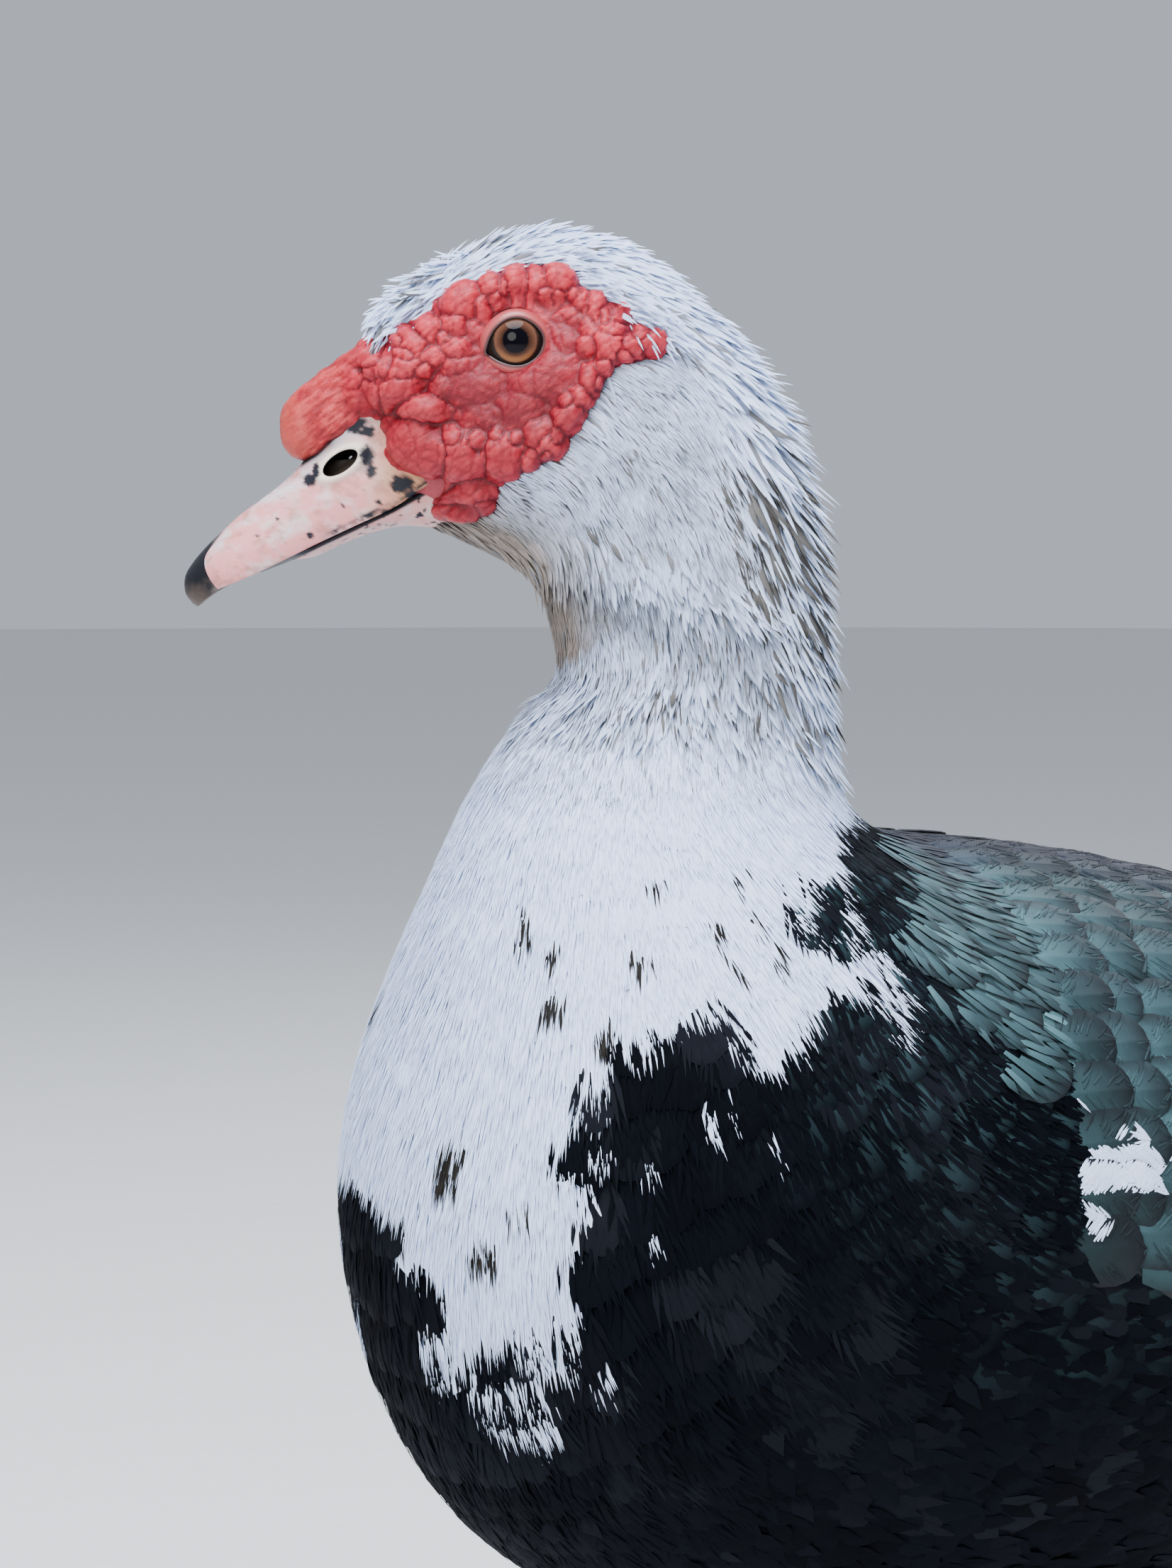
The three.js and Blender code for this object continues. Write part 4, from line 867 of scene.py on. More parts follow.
def cheek(x, z, side):
    """The outermost place of the head or bill seen from a side at x, z, and the way out of it there."""
    best = None
    for ground in (head_ground, upper_ground):
        point, out, _, _ = ground.ray_cast(Vector((x, 200 * side, z)), Vector((0, -side, 0)))
        if point is not None and (best is None or point.y * side > best[0].y * side):
            best = (point, out if out.y * side > 0 else -out)
    return best


def melt(bulbs, voxel):
    """One closed skin round many balls, given as their matrices and detail."""
    points, faces = [], []
    start = 0
    for detail in sorted({detail for _, detail in bulbs}):
        ball = bmesh.new()
        bmesh.ops.create_icosphere(ball, subdivisions=detail, radius=1)
        ball_points = np.array([vert.co for vert in ball.verts])
        ball_points /= (np.abs(ball_points) ** PEBBLE).sum(axis=1)[:, None] ** (1 / PEBBLE)
        ball_faces = np.array([[vert.index for vert in face.verts] for face in ball.faces])
        ball.free()
        for matrix in (np.array(matrix) for matrix, level in bulbs if level == detail):
            points.append(ball_points @ matrix[:3, :3].T + matrix[:3, 3])
            faces.append(ball_faces + start)
            start += len(ball_points)
    data = bpy.data.meshes.new("bulbs")
    data.from_pydata(np.concatenate(points), [], np.concatenate(faces))
    made = bmesh.new()
    made.from_mesh(data)
    return with_modifier(made, "REMESH", mode="VOXEL", voxel_size=voxel)


def neighbours(data):
    ends = np.empty(len(data.edges) * 2, dtype=np.int32)
    data.edges.foreach_get("vertices", ends)
    return ends.reshape(-1, 2)


def relax(points, ends, turns):
    """Points drawn towards the middle of their neighbours, some number of times."""
    count = np.bincount(ends.ravel(), minlength=len(points))[:, None]
    for _ in range(turns):
        total = np.zeros_like(points)
        for axis in range(3):
            total[:, axis] = (np.bincount(ends[:, 0], points[ends[:, 1], axis], len(points))
                              + np.bincount(ends[:, 1], points[ends[:, 0], axis], len(points)))
        points = 0.5 * points + 0.5 * total / np.maximum(count, 1)
    return points


def normals_of(data):
    normals = np.empty(len(data.vertices) * 3)
    data.vertices.foreach_get("normal", normals)
    return normals.reshape(-1, 3)


def cracks(points, size, wide):
    """A net of cracks round cells of the size given: 1 in a crack, 0 away from it, both in millimetres."""
    gap = np.empty(len(points))
    for k, point in enumerate(points):
        near = noise.voronoi(Vector(point) / size)[0]
        gap[k] = near[1] - near[0]
    return np.exp(-(gap * size / 2 / wide) ** 2)


def caruncle_gap(flat):
    """Millimetres from each place in the side view to the border of its caruncle, and that one's height."""
    x, z, half_long, half_wide, tilt, _ = np.array(CARUNCLES).T
    c, s = np.cos(np.radians(tilt)), np.sin(np.radians(tilt))
    over_x, over_z = flat[:, :1] - x, flat[:, 1:] - z
    reach = np.hypot((over_x * c + over_z * s) / half_long, (over_z * c - over_x * s) / half_wide)
    size = np.sqrt(half_long * half_wide)
    nearest = np.argpartition(reach, 1, axis=1)[:, :2]
    near = np.take_along_axis(reach, nearest, axis=1)
    return (near[:, 1] - near[:, 0]) / (1 / size[nearest]).sum(axis=1), np.array(CARUNCLES)[nearest, 5].mean(axis=1)


bulbs = []
x_places, z_places = np.meshgrid(np.arange(-92, -5, BED_PITCH), np.arange(374, 446, BED_PITCH))
lattice = np.stack([x_places.ravel(), z_places.ravel()], -1)
lattice = lattice[inside(FACE_OUTLINE, lattice)]
lattice = lattice[np.hypot(lattice[:, 0] - EYE_AHEAD, lattice[:, 1] - EYE_HEIGHT) > EYE_CLEARANCE]
for side in (-1, 1):
    for x, z in lattice:
        found = cheek(x, z, side)
        if found:
            bulbs.append((Matrix.Translation(found[0] - BED_SINK * found[1]) @ Matrix.Scale(BED_BALL, 4), 1))
    for x, z, half_long, half_wide, tilt, rise in CARUNCLES:
        found = cheek(x, z, side)
        if found is None:
            continue
        point, out = found
        deep = max(rise + 2.0, 0.85 * min(half_long, half_wide))
        half_long, half_wide = CARUNCLE_SPREAD * half_long, CARUNCLE_SPREAD * half_wide
        slope = math.radians(tilt)
        along = Vector((math.cos(slope), 0, math.sin(slope)))
        along = (along - out * along.dot(out)).normalized()
        across = out.cross(along)
        axes = Matrix((along * half_long, out * deep, across * half_wide)).transposed().to_4x4()
        bulbs.append((Matrix.Translation(point + (rise - deep) * out) @ axes, 4))
for x, y, z, half_x, half_y, half_z in KNOB:
    bulbs.append((Matrix.Translation((x, y, z)) @ Matrix.Diagonal((half_x, half_y, half_z, 1)), 4))
flesh_data = melt(bulbs, FLESH_VOXEL)

# Relief: domes between the cracks that part them, wrinkles over all, long folds on the knob and brow
ends = neighbours(flesh_data)
flesh_points = relax(mesh_points(flesh_data), ends, MELT_TURNS)
on_knob = np.clip((-86 - flesh_points[:, 0]) / 6, 0, 1) * np.clip((flesh_points[:, 2] - 388) / 4, 0, 1)
smooth_points = relax(flesh_points, ends, KNOB_TURNS)
flesh_points = flesh_points + (smooth_points - flesh_points) * on_knob[:, None]
move_points(flesh_data, flesh_points)
out = normals_of(flesh_data)
near_side = np.where(flesh_points[:, 1:2] < 0, flesh_points, flesh_points * [1, -1, 1] + RIGHT_SHIFT)
flat = near_side[:, [0, 2]]
on_cheek = (1 - on_knob) * np.clip((np.abs(flesh_points[:, 1]) - 6) / 5, 0, 1)
waver = np.stack([scatter_noise(near_side, 2.6, 21.0), scatter_noise(near_side, 2.6, 33.0)], -1)
gap, stands = caruncle_gap(flat + 0.5 * waver)
dome = 1 - np.clip(1 - gap / DOME_REACH, 0, 1) ** 2
on_cheek = on_cheek * np.clip(stands / 4.5, 0.4, 1)
crack = np.exp(-(gap / CRACK_WIDTH) ** 2) * on_cheek
small_crack = cracks(near_side, 4.0, 0.3) * (1 - 0.8 * on_knob)
folds = np.stack([flat[:, 0] * 0.82 + flat[:, 1] * 0.57, 0 * flat[:, 0],
                  (flat[:, 1] * 0.82 - flat[:, 0] * 0.57) * 4], -1)
wrinkle = scatter_noise(folds, 4.0, 2.0)
brow = np.clip(1 - np.hypot((flat[:, 0] + 78) / 12, (flat[:, 1] - 414) / 9), 0, 1)
pleat = scatter_noise(flat[:, [0, 0, 1]] * [3.6, 0, 0.8], 3.0, 5.0) * brow
knob_fold = on_knob * np.clip((flat[:, 0] + 101) / 7, 0, 1)
lump = (DOME_RISE * (dome - 0.6) * on_cheek - 0.5 * crack - 0.2 * small_crack
        + (0.16 + 0.34 * knob_fold) * wrinkle + 0.4 * pleat
        + 0.1 * scatter_noise(near_side, 1.5, 8.0) * (1 - 0.7 * on_knob))
flesh_points = flesh_points + out * lump[:, None]
move_points(flesh_data, flesh_points)

# Colours: painted shade deep in the creases and on the low parts, painted highlights and pale mottles on the bulbs, tan
# on the knob's front, painted shade in the knob's groove and over the lower face
FLESH_CREASE_SHADE = "#6A0F1B"
FLESH_RED = "#A51B2C"
FLESH_PALE_HIGHLIGHT = "#D4474F"
FLESH_SHADED_RED = "#7E1523"
KNOB_RED = "#A6262A"
KNOB_PALE_HIGHLIGHT = "#C64C4C"
KNOB_TAN = "#AE4A3E"
KNOB_GROOVE_SHADE = "#30090E"
JAW_SHADE = 0.72
out = normals_of(flesh_data)
hollow_fine = ((relax(flesh_points, ends, 6) - flesh_points) * out).sum(axis=1)
hollow_broad = ((relax(flesh_points, ends, 40) - flesh_points) * out).sum(axis=1)
blush = on_knob * (scatter_noise(near_side, 4.5, 27.0, 4) + 0.4 * wrinkle)
tone = 0.25 * scatter_noise(near_side, 9.0, 4.0) + 0.2 * wrinkle + 0.8 * blush
# Painted shade in the creases and hollows
crease_shade = np.clip(np.clip(hollow_fine / 0.2, 0, 1) * 0.45 + np.clip(hollow_broad / 0.8, 0, 1) * 0.35
                 + 0.4 * crack + 0.25 * small_crack + 0.45 * np.clip(-1.5 * blush, 0, 1), 0, 1)
# Painted highlight on the bulbs' tops, with the skin's own pale mottles
top = np.clip(np.clip(-hollow_broad / 0.8, 0, 1) * 0.5 + np.clip(-hollow_fine / 0.15, 0, 1) * 0.3 + tone, 0, 1)
# Painted shade on the low flat plates
plain = np.clip((4.4 - stands) / 2, 0, 1)
red = mixed(mixed(FLESH_RED, FLESH_SHADED_RED, plain), KNOB_RED, on_knob)
pale = mixed(FLESH_PALE_HIGHLIGHT, KNOB_PALE_HIGHLIGHT, on_knob)
flesh_colors = mixed(mixed(red, pale, top * (0.75 - 0.3 * plain)), FLESH_CREASE_SHADE, crease_shade)
tan = np.clip((-96 - flesh_points[:, 0]) / 6 + (402 - flesh_points[:, 2]) / 16 + 0.4 * tone - 0.3, 0, 1)
flesh_colors = mixed(flesh_colors, KNOB_TAN, 0.55 * tan * on_knob)
# Painted shade: dark in the groove where the knob meets the bill
off_bill = np.array([upper_ground.find_nearest(Vector(p), 3)[3] or 3 for p in flesh_points])
flesh_colors = mixed(flesh_colors, KNOB_GROOVE_SHADE, 0.85 * np.clip(1.3 - off_bill / 1.1, 0, 1) * on_knob)
height = near_side[:, 2]
light = np.interp(height, [404, 416], [JAW_SHADE, 1.0]) + (1 - JAW_SHADE) * on_knob * (height < 416)
set_color(flesh_data, "marking", flesh_colors * np.clip(light, 0, 1)[:, None])

# Soft blood-red skin with fine pores, dull in its creases and faintly moist on its bulbs
flesh_finish, tree, surface = finish_material("moist_caruncled_skin")
pores = pattern(tree, "ShaderNodeTexVoronoi", 0.62, "Distance")
fine = grains(tree, 0.9, 6.0, 0.65)
surface({"Subsurface Weight": 0.28, "Subsurface Scale": 2.2 * MM, "Subsurface Radius": (1.0, 0.25, 0.18),
         "IOR": 1.42, "Specular IOR Level": 0.34},
        {"Base Color": painted(tree, shade=ranged(tree, fine, 0.86, 1.14)),
         "Roughness": ranged(tree, fine, 0.3, 0.6),
         "Normal": raised(tree, fine, 0.5, 0.3, raised(tree, pores, 0.3, 0.16))})
flesh = add_piece(turn_mesh(flesh_data), "red_face_skin", flesh_finish)
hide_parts("face_left", "face_right", "knob")

# Eyes: brown eyeballs with a wet shine, and the smooth salmon ring of lids round each.
# Each ball is a whole sphere in the head, and its lids are a rim of thin skin fitted to it.

# The opening between the lids, from its front corner over the top: offsets from the eye's middle
LID_OPENING = np.array([
    [-7.3, -2.6], [-6.2, 1.0], [-4.3, 3.6], [-1.6, 5.2], [1.4, 5.3], [4.2, 3.9], [6.1, 1.6],
    [6.3, -1.0], [4.9, -3.7], [2.2, -5.5], [-0.9, -5.8], [-4.0, -4.9], [-6.2, -3.6],
])
LID_SECTION = 12
LID_STEPS = 96
LID_WIDE = 1.15
LID_THICK = 0.75
PUPIL_SHIFT = (-0.2, 0.2)
IRIS_SHEET = 20
IRIS_GOLD = "#855632"
# Distance from the pupil's middle as a share of the iris sheet, and the colour reached there
IRIS_STOPS = [(0.0, "#040308"), (0.157, "#060409"), (0.17, "#2E1C14"), (0.20, "#43291E"), (0.235, "#553627"),
              (0.262, "#644132"), (0.283, "#34231B"), (0.30, "#1C1714"), (1.0, "#14100F")]

# A clear wet cornea over a brown iris with a golden lower rim and a black pupil
eye_finish, tree, surface = finish_material("wet_brown_eye")


def combined(tree, operation, first, second=None, third=None):
    """One to three values worked into one."""
    settings, links = {"operation": operation}, {}
    for socket, given in enumerate((first, second, third)):
        if given is not None:
            (links if isinstance(given, bpy.types.NodeSocket) else settings)[socket] = given
    return add_node(tree, "ShaderNodeMath", settings, links).outputs[0]


flat_place = add_node(tree, "ShaderNodeUVMap", {"uv_map": "iris"})
centred = add_node(tree, "ShaderNodeVectorMath", {"operation": "SUBTRACT", 1: (0.5, 0.5, 0)},
                   {0: flat_place.outputs[0]})
reach = add_node(tree, "ShaderNodeVectorMath", {"operation": "LENGTH"}, {0: centred.outputs[0]})
ray = add_node(tree, "ShaderNodeVectorMath", {"operation": "NORMALIZE"}, {0: centred.outputs[0]})
fibres = add_node(tree, "ShaderNodeTexNoise", {"Scale": 7.0, "Detail": 5.0, "Roughness": 0.7},
                  {"Vector": ray.outputs[0]})
unrest = combined(tree, "MULTIPLY_ADD", fibres.outputs["Fac"], 0.035, -0.0175)
ramp = add_node(tree, "ShaderNodeValToRGB", None, {"Fac": combined(tree, "ADD", reach.outputs["Value"], unrest)})
for k, (stop, color) in enumerate(IRIS_STOPS):
    element = ramp.color_ramp.elements[k] if k < 2 else ramp.color_ramp.elements.new(stop)
    element.position = stop
    element.color = linear(color)
split = add_node(tree, "ShaderNodeSeparateXYZ", None, {0: centred.outputs[0]})
low = ranged(tree, split.outputs["Y"], 0, 1, -0.08, -0.24)
ring = ranged(tree, reach.outputs["Value"], 0, 1, 0.19, 0.24)
ring_end = ranged(tree, reach.outputs["Value"], 0, 1, 0.285, 0.27)
gold_share = combined(tree, "MULTIPLY", combined(tree, "MULTIPLY", low, ring), ring_end)
surface({"Roughness": 0.35, "Specular IOR Level": 0.0, "Coat Weight": 0.45, "Coat Roughness": 0.02, "Coat IOR": 1.33},
        {"Base Color": mix_colors(tree, gold_share, ramp.outputs["Color"], linear(IRIS_GOLD))})

# Thin smooth moist salmon skin, painted dark along the edge that meets the eyeball as the shade there
lid_finish, tree, surface = finish_material("smooth_moist_eyelid")
surface({"Roughness": 0.35, "Subsurface Weight": 0.2, "Subsurface Scale": 1.5 * MM,
         "Subsurface Radius": (1.0, 0.35, 0.25)},
        {"Base Color": painted(tree), "Normal": raised(tree, grains(tree, 0.7, 4.0), 0.3, 0.12)})
LID_SALMON = "#A94B49"
LID_RED = "#9C2B36"
LID_EDGE_SHADE = "#241516"


def closed_curve(corners, count):
    """A smooth closed curve through corners, at evenly counted places."""
    t = np.arange(count) * len(corners) / count
    first = np.floor(t).astype(int)
    t = (t - first)[:, None]

    def at(k):
        return corners[(first + k) % len(corners)]

    before, after, gain = (at(1) - at(-1)) / 2, (at(2) - at(0)) / 2, at(1) - at(0)
    return at(0) + before * t + (3 * gain - 2 * before - after) * t ** 2 + (before + after - 2 * gain) * t ** 3


for side, side_name in ((-1, "left"), (1, "right")):
    low_corner, high_corner = (head_plane((np.array(c) - BIRD_ORIGIN) / MM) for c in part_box("eye_" + side_name))
    middle = (low_corner + high_corner) / 2
    ball = bmesh.new()
    bmesh.ops.create_uvsphere(ball, u_segments=96, v_segments=64, radius=EYE_RADIUS)
    bmesh.ops.rotate(ball, verts=ball.verts, matrix=Matrix.Rotation(-side * math.pi / 2, 3, "X"))
    iris_uv = ball.loops.layers.uv.new("iris")
    for face in ball.faces:
        for loop in face.loops:
            loop[iris_uv].uv = (0.5 + (loop.vert.co.x - PUPIL_SHIFT[0]) / IRIS_SHEET,
                                0.5 + (loop.vert.co.z - PUPIL_SHIFT[1]) / IRIS_SHEET)
    bmesh.ops.translate(ball, verts=ball.verts, vec=middle)
    bmesh.ops.rotate(ball, verts=ball.verts, matrix=Matrix.Rotation(HEAD_TURN, 3, "Z"))
    eye = add_piece(ball, "eyeball_" + side_name, eye_finish)
    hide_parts("eye_" + side_name)

    opening = closed_curve(LID_OPENING, LID_STEPS)
    ahead = np.roll(opening, -1, axis=0) - np.roll(opening, 1, axis=0)
    outward = np.stack([-ahead[:, 1], ahead[:, 0]], -1)
    outward /= np.linalg.norm(outward, axis=1)[:, None]
    outward *= np.sign((outward * opening).sum(axis=1))[:, None]

    def lid_place(u, v):
        step = np.round(u * LID_STEPS).astype(int) % LID_STEPS
        bearing = 2 * math.pi * v
        flat = opening[step] + outward[step] * (LID_WIDE * (1 - np.cos(bearing)))[:, None]
        deep = np.sqrt(np.maximum(EYE_RADIUS ** 2 - (flat ** 2).sum(axis=1), 4.0))
        radial = np.stack([flat[:, 0], side * deep, flat[:, 1]], -1)
        radial /= np.linalg.norm(radial, axis=1)[:, None]
        return middle + radial * (EYE_RADIUS + 0.1 + LID_THICK * (1 + np.sin(bearing)) - 0.4)[:, None]

    lid = bmesh.new()
    bmesh.ops.create_grid(lid, x_segments=LID_STEPS, y_segments=LID_SECTION, size=0.5)
    flat = np.array([vert.co[:2] for vert in lid.verts]) + 0.5
    for vert, point in zip(lid.verts, turned(lid_place(flat[:, 0], flat[:, 1]))):
        vert.co = point
    share = lid.verts.layers.float.new("outer")
    for vert, value in zip(lid.verts, 0.5 - 0.5 * np.cos(2 * math.pi * flat[:, 1])):
        vert[share] = value
    bmesh.ops.remove_doubles(lid, verts=lid.verts, dist=1e-3)
    bmesh.ops.recalc_face_normals(lid, faces=lid.faces)
    lid_piece = add_piece(lid, "eyelids_" + side_name, lid_finish)
    outer = np.empty(len(lid_piece.data.vertices))
    lid_piece.data.attributes["outer"].data.foreach_get("value", outer)
    # The edge against the eyeball is painted dark as shade
    set_color(lid_piece.data, "marking",
              mixed(mixed(LID_SALMON, LID_RED, outer ** 2), LID_EDGE_SHADE, np.clip(1.3 - outer / 0.16, 0, 1)))

# Coat of head, neck and trunk: solid feathers laid over the skin, each rooted in it.
# Fine blades make the plush of the head, and broad vanes with combed strands cover the trunk.

RANDOM = np.random.default_rng(11)
BAKE_PATCH = 0.003
RIM_ANGLE = math.radians(60)


def pace(s, angle):
    """Millimetres over the body for one row and for one degree."""
    here = body(s, angle)
    return (np.linalg.norm(body(s + 0.05, angle) - here, axis=-1) / 0.05,
            np.linalg.norm(body(s, angle + 1.0) - here, axis=-1))


def march(s, angle, heading, length, shares):
    """Rows and angles reached over the body from each root, at shares of each leaf's length."""
    rows, bearings = [], []
    gone = 0.0
    for share in shares:
        for _ in range(2):
            per_row, per_degree = pace(np.minimum(s, LAST_ROW - 0.2), angle)
            step = length * (share - gone) / 2
            s = s + step * np.cos(heading) / per_row
            angle = angle + step * np.sin(heading) / np.maximum(per_degree, 0.02)
        gone = share
        rows.append(s)
        bearings.append(angle)
    return np.stack(rows, 1), np.stack(bearings, 1)


def leaves_on_body(s, angle, heading, length, half, shape, section_points, rise, thick):
    """Rings and tips of leaves rooted on the body.
    shape: share of the length and of the width by ring. section_points: across and up by rim point.
    rise: height over the body by leaf and ring, with one more for the tip. thick: by ring."""
    shape = np.array(shape, float)
    section_points = np.array(section_points, float)
    rows, bearings = march(s, angle, heading, length, [*shape[:, 0], 1.0])
    per_row, per_degree = pace(np.minimum(rows, LAST_ROW - 0.2), bearings)
    over = half[:, None, None] * shape[None, :, 1, None] * section_points[None, None, :, 0]
    ring_s = rows[:, :-1, None] - over * np.sin(heading)[:, None, None] / per_row[:, :-1, None]
    ring_a = bearings[:, :-1, None] + over * np.cos(heading)[:, None, None] / per_degree[:, :-1, None]
    high = rise[:, :-1, None] + np.asarray(thick)[None, :, None] * section_points[None, None, :, 1]
    return body(ring_s, ring_a, high), body(rows[:, -1], bearings[:, -1], rise[:, -1])


def leaf_batch(rings, tips, shape, section_points, colors, roots, tip_colors=None, edge=None):
    """The arrays of many like leaves, ready to be joined: points, faces, colours, vane and bake maps.
    The tip's colour grows along the leaf, or past the share called edge of the way out to its rim."""
    count, steps, sides = rings.shape[:3]
    base = rings[:, 0].mean(axis=1)
    spokes = rings[:, 0] - base[:, None]
    around = np.cross(spokes, np.roll(spokes, -1, axis=1)).sum(axis=1)
    reverse = (around * (rings[:, -1].mean(axis=1) - base)).sum(axis=1) < 0
    points = np.concatenate([rings.reshape(count, -1, 3), base[:, None], tips[:, None]], axis=1)
    ring = np.arange(steps - 1)[:, None] * sides
    k = np.arange(sides)[None, :]
    after = (k + 1) % sides
    quads = np.stack([ring + k, ring + after, ring + sides + after, ring + sides + k], -1).reshape(-1, 4)
    last = (steps - 1) * sides
    k, after = k[0], after[0]
    triangles = np.concatenate([
        np.stack([np.full(sides, steps * sides), after, k], -1),
        np.stack([np.full(sides, steps * sides + 1), last + k, last + after], -1),
    ])
    offset = np.arange(count)[:, None, None] * points.shape[1]
    quads = np.where(reverse[:, None, None], quads[None, :, ::-1], quads[None]) + offset
    triangles = np.where(reverse[:, None, None], triangles[None, :, ::-1], triangles[None]) + offset
    shape = np.array(shape, float)
    across = np.append(np.tile(np.array(section_points, float)[:, 0], steps) * np.repeat(shape[:, 1], sides), [0, 0])
    along = np.append(np.repeat(shape[:, 0], sides), [0, 1])
    vane = np.broadcast_to(np.stack([0.5 + 0.5 * across, along], -1), (count, len(along), 2))
    bake = roots[:, None, :] + BAKE_PATCH * (vane - 0.5)
    tip_colors = colors if tip_colors is None else tip_colors
    share = along if edge is None else np.clip((np.maximum(np.abs(across), along) - edge) / (1 - edge), 0, 1)
    tone = colors[:, None] + (tip_colors - colors)[:, None] * share[None, :, None]
    return {"points": points.reshape(-1, 3), "quads": quads.reshape(-1, 4), "triangles": triangles.reshape(-1, 3),
            "colors": tone.reshape(-1, 4), "vane": vane.reshape(-1, 2), "bake": bake.reshape(-1, 2)}


def coat_piece(name, batches, finish):
    """One piece of the coat from batches of leaves."""
    quads, triangles, start = [], [], 0
    for batch in batches:
        quads.append(batch["quads"] + start)
        triangles.append(batch["triangles"] + start)
        start += len(batch["points"])
    quads, triangles = np.concatenate(quads), np.concatenate(triangles)
    corners = np.concatenate([quads.ravel(), triangles.ravel()]).astype(np.int32)
    starts = np.concatenate([np.arange(len(quads)) * 4, quads.size + np.arange(len(triangles)) * 3]).astype(np.int32)
    data = bpy.data.meshes.new(name)
    data.vertices.add(start)
    data.vertices.foreach_set("co", np.concatenate([batch["points"] for batch in batches]).ravel())
    data.loops.add(len(corners))
    data.loops.foreach_set("vertex_index", corners)
    data.polygons.add(len(starts))
    data.polygons.foreach_set("loop_start", starts)
    data.update(calc_edges=True)
    for layer_name, key in (("OFBake", "bake"), ("vane", "vane")):
        layer = data.uv_layers.new(name=layer_name)
        places = np.concatenate([batch[key] for batch in batches])[corners]
        layer.uv.foreach_set("vector", places.astype(np.float32).ravel())
    set_color(data, "tint", np.concatenate([batch["colors"] for batch in batches]))
    piece = add_piece(data, name, finish)
    data.set_sharp_from_angle(angle=RIM_ANGLE)
    return piece


def shaded(hex_color, count, spread):
    """Linear colours round a hex colour, lighter and darker by a spread."""
    return np.tile(linear(hex_color), (count, 1)) * (1 + spread * RANDOM.uniform(-1, 1, (count, 1)))


def shown_at(s, angle, length):
    """The row where a leaf's far part shows, so that its colour is the one of that place."""
    return s + 0.7 * length / pace(np.minimum(s, LAST_ROW - 0.2), angle)[0]


def roots_uv(s, angle):
    return np.stack([angle / 360 + 0.5, s / LAST_ROW], -1)


def scattered(first, last, low, high, density):
    """Random roots over rows first to last and angles low to high, so many to a square millimetre."""
    tries = 40000
    s = RANDOM.uniform(first, last, tries)
    angle = RANDOM.uniform(low, high, tries)
    per_row, per_degree = pace(s, angle)
    area = per_row * per_degree
    whole = area.mean() * (last - first) * (high - low)
    keep = RANDOM.uniform(0, 1, tries) < area / area.max()
    s, angle = s[keep], angle[keep]
    count = int(whole * density)
    pick = RANDOM.integers(0, len(s), count)
    return s[pick] + RANDOM.normal(0, 0.02, count), angle[pick] + RANDOM.normal(0, 0.4, count)


def is_bare(s, angle):
    """Whether a place on the head is under the face's red skin or the bill."""
    place = head_plane(body(s, angle))
    flat = place[:, [0, 2]]
    gape = (flat[:, 0] < -60.5) & (flat[:, 1] > 375) & (flat[:, 1] < 390)
    under_bill = (flat[:, 0] < -69.5) & (flat[:, 1] < 419)
    return (s < 8) & (inside(FACE_OUTLINE, flat) | gape | under_bill)


def vane_finish(name, slope, barbs, mottle, shades, strength, depth, roughness, shine):
    """Feather vanes with slanting barbs, ridges in radians to a vane's length, and mottles in millimetres."""
    material, tree, surface = finish_material(name)
    vane_map = add_node(tree, "ShaderNodeUVMap", {"uv_map": "vane"})
    split = add_node(tree, "ShaderNodeSeparateXYZ", None, {0: vane_map.outputs[0]})
    off_shaft = combined(tree, "ABSOLUTE", combined(tree, "SUBTRACT", split.outputs["X"], 0.5))
    slant = combined(tree, "MULTIPLY_ADD", off_shaft, -slope, split.outputs["Y"])
    waves = combined(tree, "SINE", combined(tree, "MULTIPLY", slant, barbs))
    surface({"Roughness": roughness, "Specular IOR Level": shine},
            {"Base Color": painted(tree, "tint", ranged(tree, grains(tree, mottle, 4.0), *shades)),
             "Normal": raised(tree, waves, strength, depth)})
    return material


# Dull soft body feathers, with fine barbs running out from the shaft
feather_finish = vane_finish("soft_matt_feather", 0.9, 190.0, 1.4, (0.86, 1.1), 0.35, 0.12, 0.66, 0.03)

BLADE_SHAPE = [(0.0, 0.55), (0.5, 1.0)]
BLADE_SECTION = [(-1, 0), (0, 1), (1, 0)]


def blades(s, angle, length, half, lift, turn_spread, colors, tip_colors=None, heading=0.0):
    """Fine pointed blades: lift is the tip's height over the body's surface."""
    count = len(s)
    heading = heading + RANDOM.normal(0, turn_spread, count)
    sink = -0.7 * coat_depth(s) - 0.3
    rise = np.stack([sink, sink + (lift - sink) * 0.72, lift * np.ones(count)], 1)
    rings, tips = leaves_on_body(s, angle, heading, length, half, BLADE_SHAPE, BLADE_SECTION, rise, [0.1, 0.14])
    return leaf_batch(rings, tips, BLADE_SHAPE, BLADE_SECTION, colors, roots_uv(s, angle), tip_colors)


# Plush of the head and neck: rows, blades to the square millimetre, length, half width, lift
PLUSH = [
    ("plush_head", 0.2, 4.2, 1.9, 5.8, 0.34, 0.45),
    ("plush_cheek", 4.0, 7.2, 1.8, 7.4, 0.36, 0.5),
    ("plush_neck_top", 7.0, 9.6, 1.36, 9.0, 0.42, 0.6),
    ("plush_neck_base", 9.4, 13.2, 0.8, 10.5, 0.46, 0.6),
]

# Edge of the ruff, where the cheek's feathers end over the thinner neck: degrees from the back, and row
RUFF_ANGLE = [60, 83, 101, 121, 155]
RUFF_ROW = [10.6, 10.05, 9.4, 8.3, 5.6]

HEAD_GREY_AND_SHADE = "#8F97A6"
THROAT_CREAM_SHADED = "#8E847C"
FAINT_STREAK = "#7E8088"
STREAK_ROOT = "#8A8784"


def band(value, middle, reach):
    """One at a middle value, falling to none at a reach to each side of it."""
    return np.clip(1 - np.abs(value - middle) / reach, 0, 1)


